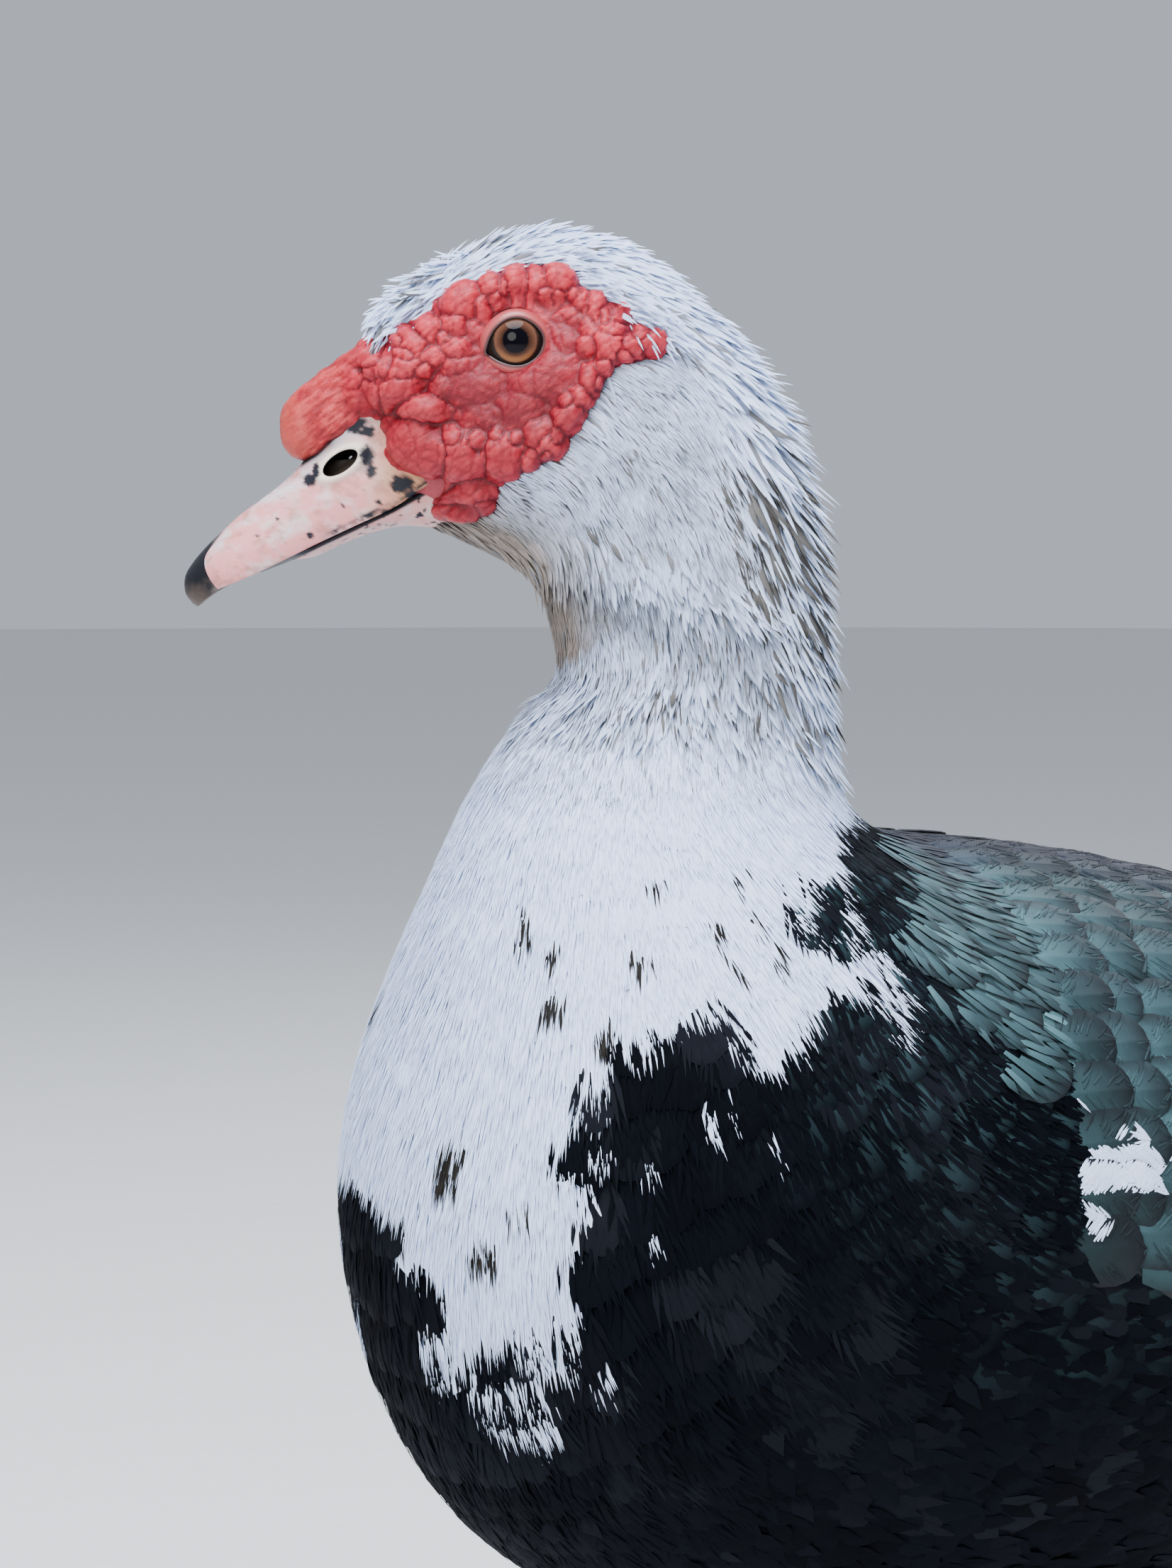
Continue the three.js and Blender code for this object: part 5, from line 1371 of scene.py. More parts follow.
def head_colors(s, angle):
    """Root and tip colours of the head's and neck's blades, with painted shade under the head and at the plain blades'
    roots.
    """
    count = len(s)
    place, spread = body(s, angle), np.abs(angle)
    colors = shaded(WHITE_WITH_SKY_CAST, count, 0.08)
    # Grey on the head's sides and underside: partly grey flecking, partly painted shade with the sky's blue in it
    grey_and_shade = np.clip(0.5 + 0.9 * scatter_noise(place * [1, 1, 0.6], 7.0, 3.0), 0, 1) * np.clip((s - 3) / 3, 0, 1)
    grey_and_shade *= np.clip((spread - 34) / 30, 0, 1) * RANDOM.uniform(0.2, 1, count)
    colors = mixed(colors, shaded(HEAD_GREY_AND_SHADE, count, 0.14), grey_and_shade)
    # Painted shade on the head's underside, and a painted shadow in a band just below the ruff's edge
    under = np.interp(s, [4.5, 6.5, 12.2, 13.4], [0, 0.2, 0.14, 0]) * np.clip((spread - 44) / 36, 0, 1)
    fold = band(s - np.interp(spread, RUFF_ANGLE, RUFF_ROW), 0.6, 0.7)
    colors *= 1 - np.maximum(under, 0.5 * fold * np.clip((spread - 50) / 20, 0, 1))[:, None]
    # The throat's cream, painted darker as shade under the head
    colors = mixed(colors, shaded(THROAT_CREAM_SHADED, count, 0.18), np.clip((spread - 118) / 30, 0, 1) * (s < 9))
    luck = RANDOM.uniform(0, 1, count)
    grain = scatter_noise(place, 9.0, 6.0)
    nape = band(s, 9.3, 1.9) * np.clip((74 - spread) / 22, 0, 1) * np.clip((spread - 3) / 10, 0, 1)
    collar = band(s, 11.2, 1.5) * np.clip((150 - spread) / 40, 0, 1)
    crown = band(s, 1.9, 1.1) * np.clip((36 - spread) / 12, 0, 1)
    jaw = band(s, 6.5, 3.5) * np.clip((spread - 60) / 20, 0, 1)
    chance = (0.72 * nape * np.clip(0.6 + grain * 1.4, 0, 1) + 0.3 * collar * np.clip(0.5 + 1.6 * grain, 0, 1)
              + 0.09 * crown + 0.04 + 0.16 * jaw * (grain > 0.0))
    dark = (luck < chance)[:, None]
    faint = np.clip((RANDOM.uniform(0, 1, count) - 1.2 * nape - 0.4 * collar) / 0.6, 0, 1)
    streak = mixed(shaded(STREAK, count, 0.3), shaded(FAINT_STREAK, count, 0.2), faint)
    # Roots of the plain blades are painted darker, as shade deep in the plush
    return np.where(dark, shaded(STREAK_ROOT, count, 0.2), colors * 0.88), np.where(dark, streak, colors)


for name, first, last, density, length, half, lift in PLUSH:
    s, angle = scattered(first, last, -180, 180, density)
    keep = ~is_bare(s, angle)
    s, angle = s[keep], angle[keep]
    count = len(s)
    roots, tips = head_colors(s, angle)
    size = np.interp(s, [0, 2], [0.75, 1.0]) * RANDOM.uniform(0.8, 1.25, count)
    clump = 0.35 * scatter_noise(body(s, angle), 5.0, 9.0)
    batch = blades(s, angle, length * size, half * RANDOM.uniform(0.8, 1.2, count),
                   lift + RANDOM.uniform(-0.2, 0.2, count) + clump, 0.07, roots, tips,
                   0.25 * scatter_noise(body(s, angle), 14.0, 2.0))
    coat = coat_piece(name, [batch], feather_finish)

# Vanes of the trunk: share of the length and of the width by ring, and the rim's across and up
VANE_SHAPE = [(0.0, 0.42), (0.3, 0.86), (0.6, 1.0), (0.82, 0.82), (0.94, 0.5)]
VANE_SECTION = [(-1, -0.6), (-0.5, 0.65), (0.5, 0.65), (1, -0.6), (0, -0.35)]
VANE_THICKNESS = [0.3, 0.6, 0.6, 0.5, 0.35]


def vanes(s, angle, heading, length, half, lift, colors, tip_colors):
    """Broad body feathers: lift is the height of each one's tip over the body's surface."""
    sink = -0.62 * coat_depth(s)
    share = np.array([0.0, 0.3, 0.6, 0.82, 0.94, 1.0])
    ease = np.sin(share * math.pi / 2) ** 0.9
    rise = sink[:, None] + (lift - sink)[:, None] * ease[None, :]
    rings, tips = leaves_on_body(s, angle, heading, length, half, VANE_SHAPE, VANE_SECTION, rise, VANE_THICKNESS)
    return leaf_batch(rings, tips, VANE_SHAPE, VANE_SECTION, colors, roots_uv(s, angle), tip_colors)


def strands(s, angle, heading, length, half, lift, colors, count_each, reach=1.12, tip_colors=None, vary=0.06):
    """Combed barbs over each vane, fanned from its shaft and running a little past its rim."""
    many = len(s) * count_each
    fan = np.tile(np.linspace(-1, 1, count_each), len(s)) + RANDOM.normal(0, 0.06, many)

    def repeat(values):
        return np.repeat(values, count_each, axis=0)

    heading_in, length_in, half_in = repeat(heading), repeat(length), repeat(half)
    start = 0.42 + 0.12 * RANDOM.uniform(-1, 1, many) - 0.12 * np.abs(fan)
    per_row, per_degree = pace(np.minimum(repeat(s), LAST_ROW - 0.2), repeat(angle))
    ahead, over = length_in * start, 0.62 * fan * half_in
    root_s = repeat(s) + (ahead * np.cos(heading_in) - over * np.sin(heading_in)) / per_row
    root_a = repeat(angle) + (ahead * np.sin(heading_in) + over * np.cos(heading_in)) / np.maximum(per_degree, 0.02)
    rim = np.sqrt(np.clip(1 - 0.92 * fan ** 2, 0.05, 1))
    long = length_in * (0.55 + 0.45 * rim - start) * reach * RANDOM.uniform(0.9, 1.12, many)
    turn = heading_in + 0.3 * fan
    top = repeat(lift) + 0.12 + RANDOM.uniform(-0.1, 0.3, many)
    rise = np.stack([top - 0.9, top - 0.05, top + 0.1], 1)
    wide = half_in / count_each * RANDOM.uniform(0.75, 1.15, many)
    rings, tips = leaves_on_body(root_s, root_a, turn, long, wide, BLADE_SHAPE, BLADE_SECTION, rise, [0.1, 0.14])
    shade = 1 + vary * RANDOM.uniform(-1, 1, (many, 1))
    tones = repeat(colors) * shade
    ends = None if tip_colors is None else repeat(tip_colors) * shade
    return leaf_batch(rings, tips, BLADE_SHAPE, BLADE_SECTION, tones, roots_uv(root_s, root_a), ends)


def rooted_rows(first, last, spacing_along, spacing_round):
    """Staggered roots in rows round the body, so many millimetres apart along it and round it."""
    found_s, found_a = [], []
    s, row = first, 0
    while s < last:
        angles = np.linspace(-180, 180, 361)
        ring = body(np.full(361, s), angles)
        arc = np.concatenate([[0], np.cumsum(np.linalg.norm(np.diff(ring, axis=0), axis=1))])
        count = max(8, int(round(arc[-1] / spacing_round)))
        marks = (np.arange(count) + 0.5 * (row % 2)) / count * arc[-1]
        found_a.append(np.interp(marks, arc, angles))
        found_s.append(np.full(count, s))
        per_row = np.median(pace(np.full(60, s), np.linspace(-150, 150, 60))[0])
        s += spacing_along / per_row
        row += 1
    s, angle = np.concatenate(found_s), np.concatenate(found_a)
    return s + RANDOM.normal(0, 0.03, len(s)), angle + RANDOM.normal(0, 0.35, len(s))

# Trunk: the feathers of neck, breast, belly and rump, white on the bib and black behind it.
# Each is a broad vane rooted in the skin, with barbs combed over it, in staggered rows.

# Rows of the body, spacing along and round, length, half width, strands to a feather
TRUNK = [
    ("feathers_neck", 12.2, 15.0, 5.6, 6.4, 15.0, 5.4, 9),
    ("feathers_breast_upper", 14.6, 17.6, 7.2, 8.0, 20.0, 7.2, 11),
    ("feathers_breast_lower", 17.3, 21.0, 8.0, 9.0, 22.0, 8.0, 10),
    ("feathers_belly", 20.7, 25.2, 9.0, 10.0, 24.0, 8.6, 3),
    ("feathers_rump", 24.9, 28.6, 8.0, 9.0, 22.0, 7.6, 2),
]
SOOT = "#1C1E24"


def trunk_colors(s, angle):
    """Colours of the trunk's feathers at root and tip, with the back's gloss and dark edges."""
    count = len(s)
    white = in_bib(s, angle)[:, None]
    shine, slate = gloss(s, angle)
    pale = shaded(WHITE_WITH_SKY_CAST, count, 0.05)
    dark_share = np.clip(scatter_noise(body(s, angle), 22.0, 5.0) * 0.8, 0, 0.6)
    black = mixed(shaded(BLACK, count, 0.35), shaded(SOOT, count, 0.2), dark_share)
    tone = mixed(shaded(TEAL, count, 0.25), shaded(SLATE, count, 0.25), slate)
    return np.where(white, pale, mixed(black, tone, shine)), np.where(white, pale, black)


# How far the glossy back feathers reach from the middle of the back, by row
BACK_ROW = [14.9, 15.4, 16.5, 18, 20, 23, 26, 28]
BACK_REACH = [34, 52, 66, 70, 66, 58, 46, 40]

for name, first, last, along, across, length, half, comb in TRUNK:
    s, angle = rooted_rows(first, last, along, across)
    shown = shown_at(s, angle, length)
    keep = (np.abs(angle) > np.interp(s, BACK_ROW, BACK_REACH, left=0) - 4) | is_white(shown, angle)
    s, angle, shown = s[keep], angle[keep], shown[keep]
    count = len(s)
    roots, tips = trunk_colors(shown, angle)
    heading = RANDOM.normal(0, 0.06, count)
    lengths = length * RANDOM.uniform(0.88, 1.12, count)
    halves = half * RANDOM.uniform(0.92, 1.08, count)
    lift = np.where(in_bib(shown, angle), -0.5, 0.35) + RANDOM.uniform(-0.3, 0.3, count)
    batch = vanes(s, angle, heading, lengths, halves, lift, roots, tips)
    combed = strands(s, angle, heading, lengths, halves, lift, tips, comb, 1.28)
    coat = coat_piece(name, [batch, combed], feather_finish)

# Barbs: fine blades combed over the white of neck and bib, so that it lies smooth to its ragged edge.
# They are the loose ends of its feathers, each a thin closed blade of its own.

# Rows, blades to the square millimetre, length, half width, lift
BARBS = [
    ("barbs_neck", 12.0, 14.6, 0.78, 11.0, 0.4, 0.85), ("barbs_bib", 14.4, 16.3, 0.85, 13.0, 0.42, 1.0),
    ("barbs_breast", 16.1, 20.6, 0.88, 14.0, 0.44, 1.05),
]
DUSKY = 0.45

for name, first, last, density, length, half, lift in BARBS:
    s, angle = scattered(first, last, -180, 180, density)
    shown = shown_at(s, angle, length)
    chosen = RANDOM.uniform(0, 1, len(s)) < np.clip((s - first) / 0.6, 0.2, 1)
    keep = chosen & (in_bib(shown, angle) | is_white(shown, angle))
    s, angle, shown = s[keep], angle[keep], shown[keep]
    count = len(s)
    colors = np.where(is_white(shown, angle)[:, None], shaded(WHITE_WITH_SKY_CAST, count, 0.05), shaded(STREAK, count, 0.35) * DUSKY)
    batch = blades(s, angle, length * RANDOM.uniform(0.75, 1.25, count), half * RANDOM.uniform(0.7, 1.3, count),
                   lift + RANDOM.uniform(-0.2, 0.2, count) + 0.3 * scatter_noise(body(s, angle), 8.0, 3.0),
                   0.06, colors, None, 0.14 * scatter_noise(body(s, angle), 16.0, 5.0))
    coat = coat_piece(name, [batch], feather_finish)

# Back: broad round glossy vanes, green with dark rims, slate blue along the middle.
# Each is a closed leaf rooted in the skin, with strands combed over it out to its rim.

ROUND_SHAPE = [(0.0, 0.5), (0.22, 0.84), (0.46, 1.0), (0.68, 0.98), (0.83, 0.84), (0.93, 0.6), (0.98, 0.34)]
LONG_SHAPE = [(0.0, 0.5), (0.14, 0.78), (0.32, 0.95), (0.52, 1.0), (0.7, 0.98), (0.85, 0.86), (0.94, 0.6),
              (0.985, 0.32)]
FLIGHT_SECTION = [(-1, 0), (-0.94, 0.36), (-0.5, 0.5), (-0.05, 0.55), (0, 1.0), (0.05, 0.55), (0.5, 0.5),
                  (0.94, 0.36), (1, 0), (0, -0.5)]

# Close smooth glossy feathers, green by their gloss, with fine slanting barbs
gloss_finish = vane_finish("iridescent_glossy_feather", 0.35, 420.0, 7, (0.6, 1.25), 0.3, 0.1, 0.52, 0.1)

BACK_ALONG = 12.0
BACK_ACROSS = 14.5
BACK_LENGTH = 27.0
BACK_HALF = 10.2
BACK_BARBS = 8
RIM_DARK = "#1B1D21"
s, angle = rooted_rows(14.75, 28.0, BACK_ALONG, BACK_ACROSS)
keep = (np.abs(angle) < np.interp(s, BACK_ROW, BACK_REACH)) & ~is_white(s, angle)
s, angle = s[keep], angle[keep]
count = len(s)
shine, slate = gloss(s, angle)
inner = mixed(shaded(TEAL, count, 0.3), shaded(SLATE, count, 0.25), slate)
share = np.array([*[row[0] for row in ROUND_SHAPE], 1.0])
sink = -0.55 * coat_depth(s)
lift = 0.9 + RANDOM.uniform(-0.2, 0.2, count)
rise = sink[:, None] + (lift - sink)[:, None] * np.sin(share * math.pi / 2)[None, :] ** 0.9
rings, tips = leaves_on_body(s, angle, RANDOM.normal(0, 0.06, count),
                             BACK_LENGTH * RANDOM.uniform(0.92, 1.08, count),
                             BACK_HALF * RANDOM.uniform(0.92, 1.08, count), ROUND_SHAPE, FLIGHT_SECTION, rise,
                             [0.3] * len(ROUND_SHAPE))
# Painted darker along the top of the back, where the sky lamp's sheen falls, and a little lighter on its sides
inner *= np.interp(np.abs(angle), [15, 55], [0.5, 1.1])[:, None]
rims = shaded(RIM_DARK, count, 0.25)
combed = strands(s, angle, np.zeros(count), np.full(count, BACK_LENGTH), np.full(count, BACK_HALF), lift + 0.25,
                 inner, BACK_BARBS, 1.06, rims, 0.4)
round_vanes = leaf_batch(rings, tips, ROUND_SHAPE, FLIGHT_SECTION, inner, roots_uv(s, angle), rims, 0.25)
back = coat_piece("feathers_back", [round_vanes, combed], gloss_finish)

# Crest: long narrow locks over the crown and down the nape, ragged at their tips, over the plush.
# Each is a soft bent lock of barbs, made as a closed leaf rooted in the skin.

LOCK_SHAPE = [(0.0, 0.5), (0.28, 0.95), (0.6, 0.9), (0.86, 0.45)]
LOCK_SECTION = [(-1, -0.2), (-0.35, 0.75), (0.5, 0.6), (1, -0.2), (0, -0.5)]
LOCK_THICKNESS = [0.4, 0.6, 0.55, 0.35]

# Rows of the crest: first and last row, angle to each side, count, length, half width, lift
CREST = [
    (0.7, 2.2, 46, 190, 8.5, 0.62, 1.4),
    (1.6, 4.6, 44, 420, 12.0, 0.8, 1.9),
    (4.0, 8.2, 46, 620, 17.0, 0.95, 2.2),
    (7.8, 10.4, 62, 560, 21.0, 1.1, 2.6),
    (10.0, 12.6, 66, 420, 17.0, 1.15, 2.4),
    (10.6, 12.4, 178, 480, 9.5, 0.85, 1.2),
]


def locks(s, angle, length, half, lift, heading, colors, tip_colors):
    """Narrow bent locks: lift is the height of each one's tip over the body's surface."""
    sink = -0.6 * coat_depth(s)
    share = np.array([0.0, 0.28, 0.6, 0.86, 1.0])
    curl = share ** 1.3
    rise = sink[:, None] + (lift - sink)[:, None] * curl[None, :]
    rings, tips = leaves_on_body(s, angle, heading, length, half, LOCK_SHAPE, LOCK_SECTION, rise, LOCK_THICKNESS)
    return leaf_batch(rings, tips, LOCK_SHAPE, LOCK_SECTION, colors, roots_uv(s, angle), tip_colors)


def off_face(s, angle, keep=True):
    """Those of the roots that are off the face's red skin: rows, angles, count, colours at root and tip."""
    keep = keep & ~is_bare(s, angle)
    s, angle = s[keep], angle[keep]
    return (s, angle, len(s), *head_colors(s, angle))


# How far the nape's feathers stand off it, and the row where they do so most
NAPE_RUFF = 5.0
NAPE_RUFF_ROW = 9.0
crest_batches = []
for first, last, spread, count, length, half, lift in CREST:
    s = RANDOM.uniform(first, last, count)
    angle = RANDOM.uniform(-spread, spread, count)
    s, angle, count, roots, tips = off_face(s, angle)
    inner = np.clip(1.25 - np.abs(angle) / spread, 0.25, 1)
    heights = lift * inner * RANDOM.uniform(0.3, 1.6, count) + 0.6
    heights += 2.2 * (s > 6) * (RANDOM.uniform(0, 1, count) < 0.16)
    on_nape = np.exp(-((shown_at(s, angle, length) - NAPE_RUFF_ROW) / 1.5) ** 2)
    heights += NAPE_RUFF * on_nape * np.clip(1.3 - np.abs(angle) / 42, 0, 1)
    crest_batches.append(locks(s, angle, length * RANDOM.uniform(0.75, 1.2, count),
                               half * RANDOM.uniform(0.7, 1.25, count), heights,
                               RANDOM.normal(0, 0.14, count), roots, tips))
crest = coat_piece("crest_locks", crest_batches, feather_finish)
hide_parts("crest_crown", "crest_nape")

# Ruff: the cheek's last feathers stand off over the thinner neck, ragged at their tips.
# They are locks of the crest's kind, rooted in the skin under the plush.
RUFF_COUNT = 1150
RUFF_DEEP = 17.0
bearing = RANDOM.uniform(54, 164, RUFF_COUNT)
angle = bearing * RANDOM.choice([-1, 1], RUFF_COUNT)
fold = np.interp(bearing, RUFF_ANGLE, RUFF_ROW)
off = RUFF_DEEP * RANDOM.uniform(0.25, 1, RUFF_COUNT)
s = fold - off / pace(fold, angle)[0]
off = off[~is_bare(s, angle)]
s, angle, count, roots, tips = off_face(s, angle)
heights = np.interp(off, [4, RUFF_DEEP], [4.0, 1.4]) * RANDOM.uniform(0.6, 1.25, count)
ruff = coat_piece("ruff_locks", [locks(
    s, angle, 12.5 * RANDOM.uniform(0.75, 1.25, count), 0.95 * RANDOM.uniform(0.7, 1.25, count), heights,
    0.3 * scatter_noise(body(s, angle), 11.0, 12.0) + RANDOM.normal(0, 0.1, count), roots, tips)], feather_finish)

# Forehead tuft: soft feathers that fall forward over the brow's red skin.
# They are short locks, rooted above the brow.
TUFT_COUNT = 430
s = RANDOM.uniform(0.9, 2.3, TUFT_COUNT)
angle = RANDOM.uniform(-62, 62, TUFT_COUNT)
s, angle, count, roots, tips = off_face(s, angle)
tuft_heading = math.pi - np.sign(angle) * RANDOM.uniform(0.1, 0.9, count)
tuft = coat_piece("forehead_tuft", [locks(
    s, angle, 10.5 * RANDOM.uniform(0.7, 1.3, count), 0.6 * RANDOM.uniform(0.7, 1.2, count),
    RANDOM.uniform(1.6, 6.0, count), tuft_heading, roots, tips)], feather_finish)

# Wisps: loose feathers of the crown that fall back over the rear of the red skin.
# They are thin locks, rooted beside the face and raised over it.
WISP_COUNT = 900
WISP_FROM = np.array([-45.0, 420.0])
s = RANDOM.uniform(2.6, 6.4, WISP_COUNT)
angle = RANDOM.uniform(18, 72, WISP_COUNT) * RANDOM.choice([-1, 1], WISP_COUNT)
flat = head_plane(body(s, angle))[:, [0, 2]]
near_face = inside(FACE_OUTLINE, (flat - WISP_FROM) / 1.1 + WISP_FROM - [0, 3.2]) & (flat[:, 0] > -34)
s, angle, count, roots, tips = off_face(s, angle, near_face)
wisps = coat_piece("cheek_wisps", [locks(
    s, angle, 11.0 * RANDOM.uniform(0.7, 1.25, count), 0.5 * RANDOM.uniform(0.7, 1.2, count),
    RANDOM.uniform(6.0, 8.6, count), np.sign(angle) * RANDOM.uniform(0.2, 0.9, count), roots, tips)], feather_finish)

# Wings, folded on the flanks: rows of glossy vanes over a dark bed, with a white patch on the coverts.
# Each vane is a closed leaf laid over the flank, and all but the flight feathers carry fine barbs.

WING_SPACE = np.array([
    [40, 60, 60, 200], [150, 90, 62, 196], [220, 88, 54, 197],
    [290, 66, 38, 203], [350, 44, 22, 205], [410, 28, 14, 206],
], float)
FLANK_GIRTH = 95.0
WING_VANE_ROOT = ([46, 60], [-1.4, 0.9])
WING_VANE_THICK = 0.36
WING_VANE_AIR = 0.3
BARB_AREA = 18.0
BARB_HALF = 0.36
BARB_RISE = 0.2

FLIGHT_GREEN = "#1E3B3A"
FLIGHT_RIM = "#0F1B1D"
BED_DARK = "#10181A"
KNEE = 0.5

trunk_ground = ray_tree(as_mesh(rolled(120, 150, lambda u, v: body(14 + v * 15, u * 360 - 180, 0.0))))


def side_point(x, angle, height, side):
    """Points over the bird's flank at x; angle 0 is level and 90 the back, side -1 the left."""
    shape = np.broadcast_shapes(np.shape(x), np.shape(angle), np.shape(height))
    x, angle, height = (np.broadcast_to(v, shape).ravel().astype(float) for v in (x, angle, height))
    half, high, middle = (np.interp(x, WING_SPACE[:, 0], WING_SPACE[:, k]) for k in (1, 2, 3))
    out_y, out_z = np.cos(np.radians(angle)), np.sin(np.radians(angle))
    flank = np.zeros(len(x))
    for k in range(len(x)):
        hit = trunk_ground.ray_cast(Vector((x[k], 0, middle[k])), Vector((0, out_y[k], out_z[k])))
        if hit[0] is not None:
            flank[k] = hit[3]
    wing = 1 / np.hypot(out_y / half, out_z / high)
    reach = np.maximum(flank, wing) + height
    return np.stack([x, side * out_y * reach, middle + out_z * reach], -1).reshape(*shape, 3)


# Feather tracts, first root to last: count, x, angle, aim, length, width, height at mid and tip, shape, colour
WING_TRACTS = [
    ("primaries", 6, (194, 172), (38, 12), (2, 8), (150, 214), (21, 18), (4.0, 1.9), (4.6, 1.0), LONG_SHAPE, "flight"),
    ("secondaries", 9, (112, 168), (-10, 24), (7, 6), (102, 116), (18, 18), (2.6, 3.3), (3.4, 5.4), LONG_SHAPE,
     "flight"),
    ("tertials", 4, (146, 134), (32, 61), (4, -2), (128, 146), (27, 27), (3.4, 3.4), (7.0, 7.4), LONG_SHAPE, "gloss"),
    ("greater", 9, (92, 116), (-10, 31), (4, 5), (54, 60), (19, 19), (2.8, 2.8), (4.4, 4.8), ROUND_SHAPE, "covert"),
    ("median_rear", 8, (80, 98), (-7, 31), (3, 5), (40, 42), (19, 19), (2.9, 2.9), (4.6, 4.8), ROUND_SHAPE, "covert"),
    ("median_front", 7, (69, 84), (-4, 31), (2, 4), (36, 38), (19, 19), (2.9, 2.9), (4.7, 4.9), ROUND_SHAPE, "covert"),
    ("lesser_rear", 6, (61, 70), (0, 32), (0, 4), (30, 32), (18, 18), (2.8, 2.8), (4.6, 4.6), ROUND_SHAPE, "covert"),
    ("lesser_front", 5, (54, 58), (5, 33), (0, 4), (25, 27), (17, 17), (2.3, 2.3), (4.2, 4.2), ROUND_SHAPE, "edge"),
    ("lesser_edge", 6, (45, 47), (-2, 33), (0, 4), (25, 27), (17, 17), (1.6, 1.6), (3.1, 3.1), ROUND_SHAPE, "edge"),
    ("scapulars_5", 5, (124, 120), (44, 76), (1, -3), (76, 80), (26, 26), (2.9, 2.9), (5.4, 5.6), ROUND_SHAPE, "gloss"),
    ("scapulars_4", 5, (104, 100), (43, 76), (1, -3), (64, 64), (25, 25), (3.0, 3.0), (5.6, 5.6), ROUND_SHAPE, "gloss"),
    ("scapulars_3", 5, (88, 85), (43, 76), (1, -2), (52, 54), (24, 24), (3.0, 3.0), (5.2, 5.2), ROUND_SHAPE, "gloss"),
    ("scapulars_2", 5, (72, 71), (43, 75), (1, -2), (44, 44), (23, 23), (2.9, 2.9), (5.0, 5.0), ROUND_SHAPE, "gloss"),
    ("scapulars_1", 5, (59, 59), (42, 73), (1, -1), (36, 36), (22, 22), (2.4, 2.4), (4.4, 4.4), ROUND_SHAPE, "gloss"),
    ("scapulars_0", 6, (47, 46), (40, 72), (1, -1), (32, 32), (19, 19), (1.8, 1.8), (3.3, 3.3), ROUND_SHAPE, "gloss"),
]
# White markings of the folded wing: outlines over the flank, x and angle
WING_WHITES = [np.array(outline, float) for outline in (
    [(44.5, 12.3), (51.4, 12.1), (57.2, 11.4), (60.8, 12.1), (62.9, 13.2), (68.2, 13.8), (73.5, 13), (75.8, 10.9),
     (77.4, 8.6), (79, 6.3), (76.6, 5.4), (71.4, 6.1), (65.1, 6.8), (60.8, 6.3), (61.9, 4.7), (49.3, 5), (47.7, 5.9),
     (51.4, 7.3), (49.8, 10)],
    [(51.4, 19.8), (56.7, 17.8), (55.6, 14.1), (49.3, 14.3), (51.4, 16.9)],
    [(49.3, 2.9), (55.6, 2.9), (60.3, 1.6), (59.8, 0.9), (54.5, 1.9), (49.8, 2.4)],
    [(83, 12.5), (94, 13.6), (103, 10.5), (99, 5.5), (88, 4.4), (85, 8.2)],
)]
WHITE_BARBS = 16
WING_BED = np.array([[54, 0, 70], [84, -11, 77], [115, -15, 78], [139, -11, 75], [164, -5, 71], [204, 8, 62]], float)
WING_BED_RISE = ([54, 80], [-0.6, 1.3])


def tract_colors(kind, x, angle):
    """Colours of a tract's feathers inside their rims and along them."""
    count = len(x)
    gloss_tone = mixed(shaded(TEAL, count, 0.22), shaded(SLATE, count, 0.2), np.clip((angle - 58) / 16, 0, 1))
    # Painted shading by height on the flank: darker towards the wing's lower edge and towards its top
    gloss_tone *= np.interp(angle, [0, 12, 40, 70], [0.45, 0.88, 1.12, 0.52])[:, None]
    dark = shaded(RIM_DARK, count, 0.25)
    if kind == "flight":
        return shaded(FLIGHT_GREEN, count, 0.2), shaded(FLIGHT_RIM, count, 0.2)
    if kind == "edge":
        gloss_tone *= np.interp(x, [45, 60], [0.4, 0.85])[:, None]
    return gloss_tone, dark


def between(pair, t):
    """The value a share t of the way from a pair's first to its second."""
    return pair[0] + (pair[1] - pair[0]) * t


def column(values):
    """One value to a leaf, shaped to go with its rings and rim points."""
    return values[:, None, None]


